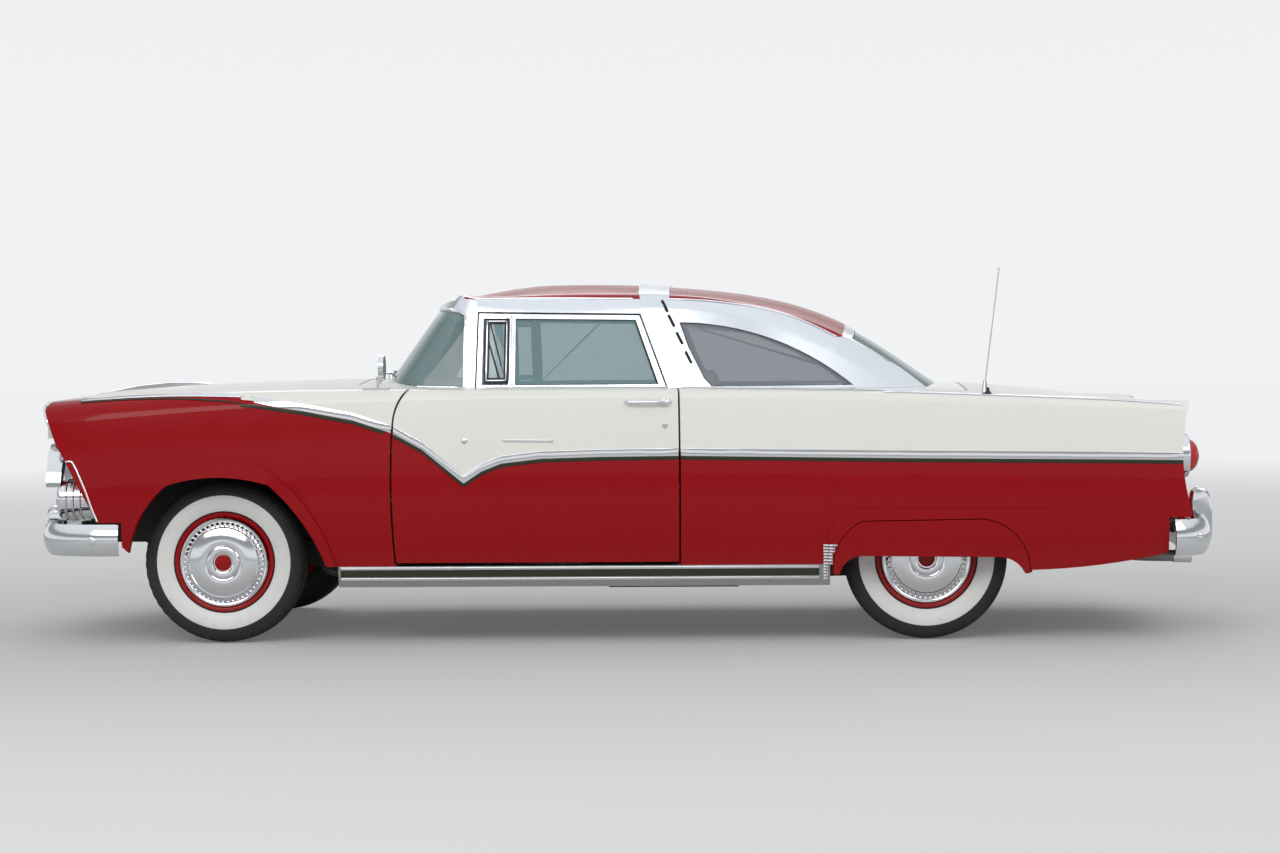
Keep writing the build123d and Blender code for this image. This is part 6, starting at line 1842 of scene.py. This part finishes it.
@dataclass
class FrontEnd:
    """Lamps, bumper guards, hood blade and hood lip."""

    lamp: Place = (0, 0.740, 0.915)
    pod: Place = (0, 0.738, 0.604)
    guard_half: float = 0.030

    HEAD_LENS = ((0.0, 2.3850), (0.020, 2.3838), (0.040, 2.3790), (0.058, 2.3710),
                 (0.070, 2.3625), (0.0775, 2.3540), (0.0775, 2.3440), (0.0, 2.3440))
    HEAD_RING = ((0.0775, 2.350), (0.0790, 2.3600), (0.0815, 2.3625), (0.0850, 2.3600),
                 (0.0855, 2.346))
    POD_LENS = ((0.0, 2.3745), (0.018, 2.3730), (0.036, 2.3670), (0.050, 2.3570),
                (0.0575, 2.3490), (0.0575, 2.3400), (0.0, 2.3400))
    POD_RING = ((0.0815, -0.006), (0.0850, -0.003), (0.0858, 0), (0.0850, 0.003), (0.0815, 0.006))
    POD_RINGS_X = (2.262, 2.292, 2.322)
    # Side view of a guard, from the bumper's face
    GUARD = (
        (-0.060, -0.062), (0.0, -0.066), (0.010, -0.040), (0.012, 0.0), (0.010, 0.050),
        (0.002, 0.090), (-0.020, 0.118), (-0.050, 0.122), (-0.072, 0.100), (-0.078, 0.060),
    )
    # Place along the hood and rise over it
    BLADE = ((2.380, 0.004), (2.300, 0.012), (2.180, 0.022), (2.050, 0.024), (1.950, 0.018),
             (1.850, 0.005))

    def lamps(self) -> None:
        """The headlights' lenses and rings, and the parking lamps' lenses and pod rings."""
        for name, profile, centre, steps, coat in (
            ("headlamp_lens", self.HEAD_LENS, self.lamp, 48, HEAD_LENS),
            ("headlamp_ring", self.HEAD_RING, self.lamp, 48, CHROME),
            ("parking_lens", self.POD_LENS, self.pod, 40, PARK_LENS),
        ):
            pair(spun(profile, centre, AHEAD, steps), name, "body", coat)
        rings = [spun([(radius, x + depth) for radius, depth in self.POD_RING], self.pod, AHEAD)
                 for x in self.POD_RINGS_X]
        pair(join(rings), "pod_rings", "body", CHROME)

    def guards(self) -> None:
        """The bumper's over-riders, each a rounded upright."""
        at = Surface("front_bumper").hit((3.2, 0.42, 0.45), BACK)
        outline = [at + Vector((dx, -self.guard_half, dz)) for dx, dz in self.GUARD]
        outline = [Vector((min(p.x, BUMPER_REACH), p.y, p.z)) for p in outline]
        piece = slab(outline, (0, 2 * self.guard_half, 0), 0.014, 4)
        pair(piece, "front_guard", "body", CHROME)

    def blade(self) -> None:
        """The bright blade along the hood's middle."""
        skin = Surface("hood")
        foot = [skin.top(x, 0.0) for x, _ in self.BLADE]
        outline = [at + Vector((0, -0.007, rise)) for at, (_, rise) in zip(foot, self.BLADE)]
        outline += [at + Vector((0, -0.007, -0.003)) for at in reversed(foot)]
        finish(slab(outline, (0, 0.014, 0), 0.004, 3), "hood_blade", "hood", CHROME)

    def lip(self) -> None:
        """The bright bead across the hood's front edge."""
        starts = [(3.0, y, 0.874) for y in spaced(0.615, -0.615, 30)]
        points = [point for point in Surface("hood").trail(starts, BACK, (0.001, 0, 0))
                  if point.x > 2.201]
        if len(points) > 2:
            finish(rod(points, 0.0050), "hood_lip", "hood", CHROME)

    def build(self) -> None:
        """Builds the front end's pieces."""
        self.lamps()
        self.guards()
        self.blade()
        self.lip()


@dataclass
class RearEnd:
    """Tail lamps, bumper guards, blank plate and the deck lid's handle."""

    lamp: Place = (0, 0.814, 0.760)
    guard_half: float = 0.029

    LENS = ((0.0, -2.3985), (0.024, -2.3960), (0.045, -2.3880), (0.060, -2.3740),
            (0.0695, -2.3560), (0.0695, -2.3300), (0.0, -2.3300))
    BOSS = ((0.0, -2.3995), (0.014, -2.3990), (0.020, -2.3970), (0.021, -2.3930), (0.0, -2.3900))
    GUARD = (
        (0.060, -0.060), (0.0, -0.064), (-0.010, -0.040), (-0.012, 0.0), (-0.010, 0.080),
        (-0.004, 0.140), (0.016, 0.172), (0.050, 0.180), (0.078, 0.160), (0.086, 0.110),
        (0.080, 0.060),
    )
    LOCK = ((0.0, 0.003), (0.0125, 0.003), (0.0135, -0.002), (0.0105, -0.0045), (0.0085, -0.0045),
            (0.0080, -0.0032), (0.0, -0.0032))

    def lamps(self) -> None:
        """The red lenses with a bright boss on each."""
        for name, profile, coat in (("tail_lens", self.LENS, RED_LENS),
                                    ("tail_boss", self.BOSS, CHROME)):
            pair(spun(profile, self.lamp, AHEAD), name, "body", coat)

    def guards(self) -> None:
        """The rear bumper's uprights."""
        at = Surface("rear_bumper").hit((-3.2, 0.50, 0.44), AHEAD)
        outline = [at + Vector((dx, -self.guard_half, dz)) for dx, dz in self.GUARD]
        outline = [Vector((max(p.x, -BUMPER_REACH), p.y, p.z)) for p in outline]
        piece = slab(outline, (0, 2 * self.guard_half, 0), 0.014, 4)
        pair(piece, "rear_guard", "body", CHROME)

    def plate(self) -> None:
        """A blank plate in its bright frame on the tail panel."""
        at = Surface("tail_panel", "deck_lid").hit((-3.2, 0.0, 0.575), AHEAD)
        x = at.x - 0.003
        plate = block((x - 0.003, -0.150, 0.520), (x, 0.150, 0.630), 0.0012)
        finish(plate, "blank_plate", "body", WHITE)
        ring = [(x - 0.003, y, z) for y, z in ((-0.156, 0.514), (0.156, 0.514), (0.156, 0.636),
                                               (-0.156, 0.636))]
        finish(rod(ring, 0.0045, 2, True), "plate_frame", "body", CHROME)

    def lid_handle(self) -> None:
        """The bright grip and lock at the deck lid's rear edge."""
        skin = Surface("deck_lid")
        starts = [(-3.2, y, 0.705) for y in spaced(0.110, -0.110, 10)]
        points = skin.trail(starts, AHEAD, (-0.007, 0, 0))
        at = skin.hit((-3.2, 0.0, 0.735), AHEAD)
        if len(points) < 3 or at is None:
            log.warning("the deck lid's handle has no skin under it")
            return
        handle = join([rod(points, 0.0075, 3), spun(self.LOCK, at, AHEAD, 28)])
        finish(handle, "deck_lid_handle", "deck_lid", CHROME)

    def build(self) -> None:
        """Builds the rear end's pieces."""
        self.lamps()
        self.guards()
        self.plate()
        self.lid_handle()


@dataclass
class EngineBay:
    """What stands on the plain engine block: valve covers, air cleaner and radiator cap."""

    cleaner_x: float = 1.50
    cover_y: float = 0.175
    cover_half: float = 0.058
    ribs: int = 7

    CLEANER = (
        (0.0, -0.002), (0.055, -0.002), (0.055, 0.030), (0.136, 0.032), (0.150, 0.040),
        (0.150, 0.072), (0.140, 0.082), (0.060, 0.094), (0.030, 0.097), (0.012, 0.097),
        (0.010, 0.108), (0.0, 0.110),
    )
    CAP = ((0.0, -0.002), (0.024, -0.002), (0.030, 0.004), (0.030, 0.012), (0.020, 0.018),
           (0.0, 0.020))

    def build(self) -> None:
        """Builds the pieces under the hood."""
        skin = Surface("engine")
        centre = skin.top(self.cleaner_x, 0.0)
        if centre is not None:
            finish(spun(self.CLEANER, centre, UP, 56), "air_cleaner", "body", BLACK_PLASTIC)
        covers = []
        for y in (-self.cover_y, self.cover_y):
            foot = skin.top(1.30, y)
            if foot is None:
                continue
            covers.append(block((1.25, y - self.cover_half, foot.z - 0.002),
                                (1.74, y + self.cover_half, foot.z + 0.046), 0.020, 4))
            covers += [block((x, y - 0.040, foot.z + 0.044), (x + 0.012, y + 0.040, foot.z + 0.050),
                             0.0025, 1) for x in (1.30 + 0.06 * i for i in range(self.ribs))]
        if covers:
            finish(join(covers), "valve_covers", "body", ENGINE_GREY)
        low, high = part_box("radiator")
        cap = spun(self.CAP, ((low.x + high.x) / 2, 0.0, high.z), UP, 28)
        finish(cap, "radiator_cap", "body", CHROME)


@dataclass
class Cabin:
    """Instruments, controls, trim panels and visors inside the car."""

    hub: Place = (0.3904, 0.370, 0.9378)
    wheel_axis: Place = (-0.891007, 0.0, 0.453990)
    horn_radius: float = 0.118
    lining_y: float = 0.7735

    BEZEL = ((0.074, 0.002), (0.074, -0.010), (0.078, -0.014), (0.083, -0.012), (0.086, 0.002))
    FACE = ((0.0, -0.004), (0.050, -0.004), (0.052, -0.0055), (0.075, -0.0055), (0.075, 0.002),
            (0.0, 0.002))
    KNOB = ((0.0, 0.0), (0.013, 0.0), (0.0145, -0.004), (0.0135, -0.018), (0.0110, -0.021),
            (0.0, -0.0215))
    BUTTON = ((0.0, 0.0), (0.010, 0.0), (0.012, -0.004), (0.010, -0.009), (0.0, -0.011))
    CRANK_BOSS = ((0.0, 0.0), (0.020, 0.0), (0.022, -0.004), (0.014, -0.012), (0.0, -0.014))
    DOOR_CARD = ((0.780, 0.420), (0.790, 0.600), (0.700, 0.860), (0.575, 1.030), (-0.215, 1.030),
                 (-0.235, 1.000), (-0.235, 0.420))
    DOOR_CARD_TOP = ((0.684, 0.885), (0.575, 1.028), (-0.215, 1.028), (-0.233, 1.000),
                     (-0.233, 0.885))
    QUARTER_CARD = ((-0.300, 0.470), (-0.300, 1.030), (-0.960, 1.030), (-0.960, 0.700),
                    (-0.800, 0.470))
    # Across, along and down from the roof's skin over the mirror
    VISOR = ((0.600, 0.150, -0.014), (0.600, 0.520, -0.030), (0.470, 0.520, -0.012),
             (0.470, 0.150, 0.002))

    def dials(self) -> None:
        """The instrument's bezel, face, ticks and needle."""
        centre = Surface("dashboard").hit((-0.5, 0.37, 0.972), AHEAD)
        finish(spun(self.BEZEL, centre, AHEAD), "dial_bezel", "body", CHROME)
        finish(spun(self.FACE, centre, AHEAD), "dial_face", "body", DIAL)
        marks = []
        for i in range(13):
            turn = math.radians(-30 + 20 * i)
            way = Vector((0, math.cos(turn), math.sin(turn)))
            at = centre + way * 0.062 + Vector((-0.0062, 0, 0))
            marks.append((at, turn, -0.007, 0.007, 0.0012))
        marks.append((centre + Vector((-0.0072, 0, 0)), 0.5, -0.004, 0.050, 0.0010))
        made = []
        for at, turn, low, high, half in marks:
            mark = block((-0.0006, low, -half), (0.0006, high, half), 0.0003, 1)
            mark.data.transform(Matrix.Translation(at) @ Matrix.Rotation(turn, 4, "X"))
            made.append(mark)
        finish(join(made), "dial_marks", "body", IVORY)

    def radio(self) -> None:
        """The radio's surround, dial, knobs and five keys."""
        x = Surface("dashboard").hit((-0.5, 0.0, 0.955), AHEAD).x
        surround = block((x - 0.006, -0.100, 0.925), (x + 0.004, 0.100, 0.990), 0.003, 2)
        finish(surround, "radio_surround", "body", CHROME)
        band = block((x - 0.0075, -0.050, 0.950), (x - 0.004, 0.050, 0.980), 0.001, 1)
        finish(band, "radio_dial", "body", DIAL)
        knobs = [spun(self.KNOB, (x - 0.005, y, 0.957), AHEAD, 24) for y in (-0.078, 0.078)]
        knobs += [block((x - 0.013, y, 0.932), (x - 0.004, y + 0.014, 0.943), 0.002, 1)
                  for y in (-0.042 + 0.018 * i for i in range(5))]
        finish(join(knobs), "radio_knobs", "body", IVORY)

    def glove_box(self) -> None:
        """The glove box lid with its button, and the bright strip across the dashboard."""
        skin = Surface("dashboard")
        x = skin.hit((-0.5, -0.37, 0.955), AHEAD).x
        lid = block((x - 0.004, -0.50, 0.905), (x + 0.006, -0.24, 1.000), 0.006, 3)
        finish(lid, "glove_box_lid", "body", RED)
        button = spun(self.BUTTON, (x - 0.003, -0.37, 0.985), AHEAD, 24)
        finish(button, "glove_box_button", "body", CHROME)
        points = skin.trail([(-0.5, y, 0.892) for y in spaced(0.62, -0.62, 20)], AHEAD)
        if len(points) > 1:
            line = [point for point in points if point.x > 0.5]
            finish(rod(line, 0.005), "dashboard_strip", "body", CHROME)

    def horn_ring(self) -> None:
        """The bright ring and its two spokes on the steering wheel."""
        axis, side = Vector(self.wheel_axis).normalized(), Vector(LEFT)
        up = axis.cross(side).normalized()
        hub = Vector(self.hub)
        offsets = [v.co - hub for v in cad("steering_wheel").data.vertices]
        level = hub + axis * min(way.dot(axis) for way in offsets if way.cross(axis).length > 0.19)
        ring = [level + (side * math.cos(a) + up * math.sin(a)) * self.horn_radius
                for a in (TURN * i / 40 for i in range(40))]
        bars = [rod([level + side * self.horn_radius * s, level + side * 0.045 * s + axis * 0.004],
                    0.004) for s in (1, -1)]
        finish(join([rod(ring, 0.0042, 2, True), *bars]), "horn_ring", "steering_wheel", CHROME)

    def cards(self) -> None:
        """Trim panels on the doors and beside the rear seat, with arm rest and handles."""
        y = self.lining_y
        for word, outline, thick, coat, body in (
            ("door_card", self.DOOR_CARD, 0.008, RED_VINYL, "door"),
            ("door_card_top", self.DOOR_CARD_TOP, 0.011, WHITE_VINYL, "door"),
            ("quarter_card", self.QUARTER_CARD, 0.008, RED_VINYL, "body"),
        ):
            pair(slab([(x, y, z) for x, z in outline], (0, -thick, 0), 0.003), word, body, coat)
        line = [(0.690, y - 0.010, 0.880), (0.300, y - 0.011, 0.880), (-0.230, y - 0.010, 0.880)]
        pair(rod(line, 0.0035), "door_card_strip", "door", CHROME)
        rest = block((0.02, y - 0.060, 0.660), (0.32, y - 0.006, 0.700), 0.016, 4)
        pair(rest, "arm_rest", "door", WHITE_VINYL)
        parts = []
        for x, z in ((0.42, 0.780), (0.12, 0.800)):
            parts.append(spun(self.CRANK_BOSS, (x, y - 0.008, z), LEFT, 24))
            arm = [(x, y - 0.019, z), (x - 0.05, y - 0.024, z - 0.030),
                   (x - 0.09, y - 0.026, z - 0.042)]
            parts.append(rod(arm, 0.0055))
        pair(join(parts), "inner_handles", "door", CHROME)

    def overhead(self) -> None:
        """The inner mirror and the two sun visors under the roof's front edge."""
        under = Surface("roof_panel").hit((0.590, 0.0, 1.0), UP)
        line = [under + Vector(way) for way in ((0, 0, 0.001), (-0.010, 0, -0.020),
                                                (-0.022, 0, -0.045))]
        finish(rod(line, 0.004), "mirror_stem", "body", CHROME)
        at = under + Vector((-0.030, 0, -0.052))
        low, high = (at + Vector(way) for way in ((-0.006, -0.105, -0.026), (0.008, 0.105, 0.026)))
        finish(block(low, high, 0.006, 3), "inner_mirror", "body", CHROME)
        outline = [(x, y, under.z + drop) for x, y, drop in self.VISOR]
        pair(slab(outline, (0, 0, -0.010), 0.0045, 3), "sun_visor", "body", WHITE_VINYL)

    def build(self) -> None:
        """Builds the fittings of the cabin."""
        self.dials()
        self.radio()
        self.glove_box()
        self.horn_ring()
        self.cards()
        self.overhead()


@dataclass
class Details:
    """Wipers, exhaust tip, aerial base, bumper bolts and the fender's bright edge."""

    WIPER_BOSS = ((0.0, -0.003), (0.015, -0.003), (0.016, 0.004), (0.010, 0.016), (0.008, 0.021),
                  (0.0, 0.022))
    TIP = ((0.0250, 0.075), (0.0262, 0.070), (0.0270, 0.010), (0.0285, 0.001), (0.0270, 0.0),
           (0.0205, 0.002), (0.0200, 0.020), (0.0, 0.021), (0.0, 0.022), (0.0245, 0.060))
    BASE = ((0.0, -0.002), (0.024, -0.002), (0.0255, 0.002), (0.020, 0.008), (0.013, 0.016),
            (0.011, 0.030), (0.0, 0.032))
    BALL = ((0.0, -0.0045), (0.0030, -0.0035), (0.0042, 0.0), (0.0030, 0.0030), (0.0, 0.0))
    BOLT = ((0.0, -0.003), (0.015, -0.003), (0.0165, 0.0), (0.0145, 0.0035), (0.009, 0.0055),
            (0.0, 0.0062))
    BOLTS = (("front", 2.181, 0.441), ("rear", -2.385, 0.428))
    EDGE = ((2.298, 0.768), (2.284, 0.771), (2.269, 0.769), (2.250, 0.738), (2.232, 0.697),
            (2.208, 0.640), (2.185, 0.575), (2.162, 0.520))

    def wipers(self) -> None:
        """Two wipers parked low on the screen."""
        screen, cowl = Surface("windshield"), Surface("cowl")
        for count, (pivot_y, tip_y) in enumerate(((0.40, 0.06), (-0.04, -0.38))):
            pivot = cowl.top(1.052, pivot_y)
            starts = [(2.0, pivot_y + (tip_y - pivot_y) * share, 1.108 + 0.012 * share)
                      for share in spaced(0, 1, 8)]
            line = screen.trail(starts, BACK, (0.007, 0, 0.004))
            if pivot is None or len(line) < 2:
                log.warning("wiper %d has nothing to lie on", count + 1)
                continue
            finish(rod(line[1:], 0.0038, 1), f"wiper_blade_{count + 1}", "body", SEAL)
            arm = [pivot + Vector((0, 0, 0.016)),
                   pivot + Vector((-0.004, (tip_y - pivot_y) * 0.2, 0.030)),
                   line[len(line) // 2] + Vector((0.006, 0, 0.004))]
            parts = [rod(arm, 0.0040), spun(self.WIPER_BOSS, pivot, UP, 24)]
            finish(join(parts), f"wiper_arm_{count + 1}", "body", CHROME)

    def tip(self) -> None:
        """The bright flared end of the exhaust pipe."""
        points = [v.co for v in cad("exhaust").data.vertices]
        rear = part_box("exhaust")[0].x
        end = [point for point in points if point.x < rear + 0.004]
        centre = sum(end, Vector()) / len(end)
        piece = spun(self.TIP, (rear, centre.y, centre.z), AHEAD, 40)
        finish(piece, "exhaust_tip", "body", CHROME)

    def aerial(self) -> None:
        """The aerial's base on the rear fender, and the ball at its tip."""
        low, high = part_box("antenna")
        points = [v.co for v in cad("antenna").data.vertices]
        foot = min(points, key=lambda at: at.z)
        head = max(points, key=lambda at: at.z)
        skin = Surface("quarter_panel_left").top(foot.x, (low.y + high.y) / 2)
        if skin is not None:
            finish(spun(self.BASE, skin, UP, 32), "aerial_base", "body", SEAL)
        ball = spun(self.BALL, (head.x, head.y, head.z - 0.004), UP, 16)
        finish(ball, "aerial_ball", "body", CHROME)

    def bolts(self) -> None:
        """Round bolt heads on the ends of both bumpers."""
        for word, x, z in self.BOLTS:
            at = Surface(f"{word}_bumper").side(x, z)
            if at is None:
                log.warning("%s bumper bolt has no skin under it", word)
                continue
            pair(spun(self.BOLT, at, LEFT, 28), f"{word}_bumper_bolt", "body", CHROME)

    def fender_edge(self) -> None:
        """The bright bead down the front edge of each front fender."""
        found = Surface("front_fender_left").trail([(x, 2, z) for x, z in self.EDGE], RIGHT,
                                                   (0, 0.001, 0))
        points = [point for point in found if point.y > 0.601]
        if len(points) > 2:
            pair(rod(points, 0.0048), "fender_edge", "body", CHROME)

    def build(self) -> None:
        """Builds the details."""
        self.wipers()
        self.tip()
        self.aerial()
        self.bolts()
        self.fender_edge()


@dataclass
class Seats:
    """The padded seats, each filled by a short cloth simulation, then pleated."""

    voxel: float = 0.014
    slack: float = 0.010
    swell: float = 0.013
    pressure: float = 4.0
    frames: int = 20
    pleat: float = 0.060
    groove: float = 0.006
    groove_width: float = 0.009
    welt: float = 0.004
    welt_width: float = 0.008

    def start(self, node: str) -> Piece:
        """An evenly meshed copy of a seat's solid, drawn in a little.

        Args:
            node: The CAD node of the seat.

        Returns:
            The copy.
        """
        idle()
        piece = bpy.data.objects.new(f"{node}_cover", cad(node).data.copy())
        bpy.context.scene.collection.objects.link(piece)
        outward(piece)
        modify(piece, "REMESH", mode="VOXEL", voxel_size=self.voxel)
        edit(piece)
        bpy.ops.transform.shrink_fatten(value=-self.slack)
        bpy.ops.mesh.vertices_smooth(factor=0.5, repeat=3)
        idle()
        return piece

    def fill(self, piece: Piece) -> None:
        """Swells a cover under pressure, no further than its swell.

        Args:
            piece: The cover.
        """
        scene = bpy.context.scene
        before = [vertex.co.copy() for vertex in piece.data.vertices]
        take(piece)
        cloth = piece.modifiers.new("filling", "CLOTH")
        cloth.settings.use_pressure = True
        cloth.settings.uniform_pressure_force = self.pressure
        cloth.settings.effector_weights.gravity = 0
        cloth.point_cache.frame_end = self.frames
        for count in range(1, self.frames + 1):
            scene.frame_set(count)
        bpy.ops.object.modifier_apply(modifier=cloth.name)
        for vertex, old in zip(piece.data.vertices, before):
            moved = vertex.co - old
            if moved.length > self.swell:
                vertex.co = old + moved.normalized() * self.swell
        scene.frame_set(1)

    def sew(self, piece: Piece, cover: SeatVinyl, facing: Callable[[Vector], bool]) -> None:
        """Draws the pleats and the welt into a filled cover.

        Args:
            piece: The cover.
            cover: Its finish, which says where the pleated part lies.
            facing: True for a normal of a side that has pleats.
        """
        mesh = piece.data
        normals = [vertex.normal.copy() for vertex in mesh.vertices]
        for vertex, normal in zip(mesh.vertices, normals):
            at = vertex.co
            if not facing(normal):
                continue
            beside = abs(at.y) - cover.middle
            reach = max(abs(beside) - cover.half, at.z - cover.top, at.x - cover.front)
            depth = self.welt * math.exp(-(reach / self.welt_width) ** 2)
            if reach < 0:
                beat = abs(beside / self.pleat % 1 - 0.5) * self.pleat
                depth += self.groove * math.exp(-(beat / self.groove_width) ** 2)
            vertex.co = at - normal * depth

    def build(self) -> None:
        """Builds the four padded pieces."""

        def seated(way: Vector) -> bool:
            """True for the top and front of a cushion."""
            return way.z > 0.5 or way.x > 0.5

        def upright(way: Vector) -> bool:
            """True for the front and rear of a back."""
            return abs(way.x) > 0.6

        for node, body, cover, facing in (
            ("front_seat_base", "body", FRONT_SEAT, seated),
            ("front_seat_back_left", "front_seat_back_left", FRONT_BACK, upright),
            ("front_seat_back_right", "front_seat_back_right", FRONT_BACK, upright),
            ("rear_seat", "body", REAR_SEAT, seated),
        ):
            piece = self.start(node)
            self.fill(piece)
            modify(piece, "SUBSURF", levels=1, render_levels=1)
            self.sew(piece, cover, facing)
            smooth(piece, 70)
            finish(piece, f"{node}_cushion", body, cover)
            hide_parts(node)


def main() -> None:
    """Builds the whole scene, one sub-assembly after another."""
    logging.basicConfig(level=logging.INFO, format="%(message)s")
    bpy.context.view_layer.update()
    for assembly in (
        Studio(), Shell(), SideTrim(), Wheel(), Glasshouse(), VentPanes(), DoorFittings(),
        Sills(), FrontEnd(), RearEnd(), EngineBay(), Cabin(), Details(), Seats(),
    ):
        log.info("building %s", type(assembly).__name__)
        assembly.build()
    idle()


if __name__ == "__main__":
    main()
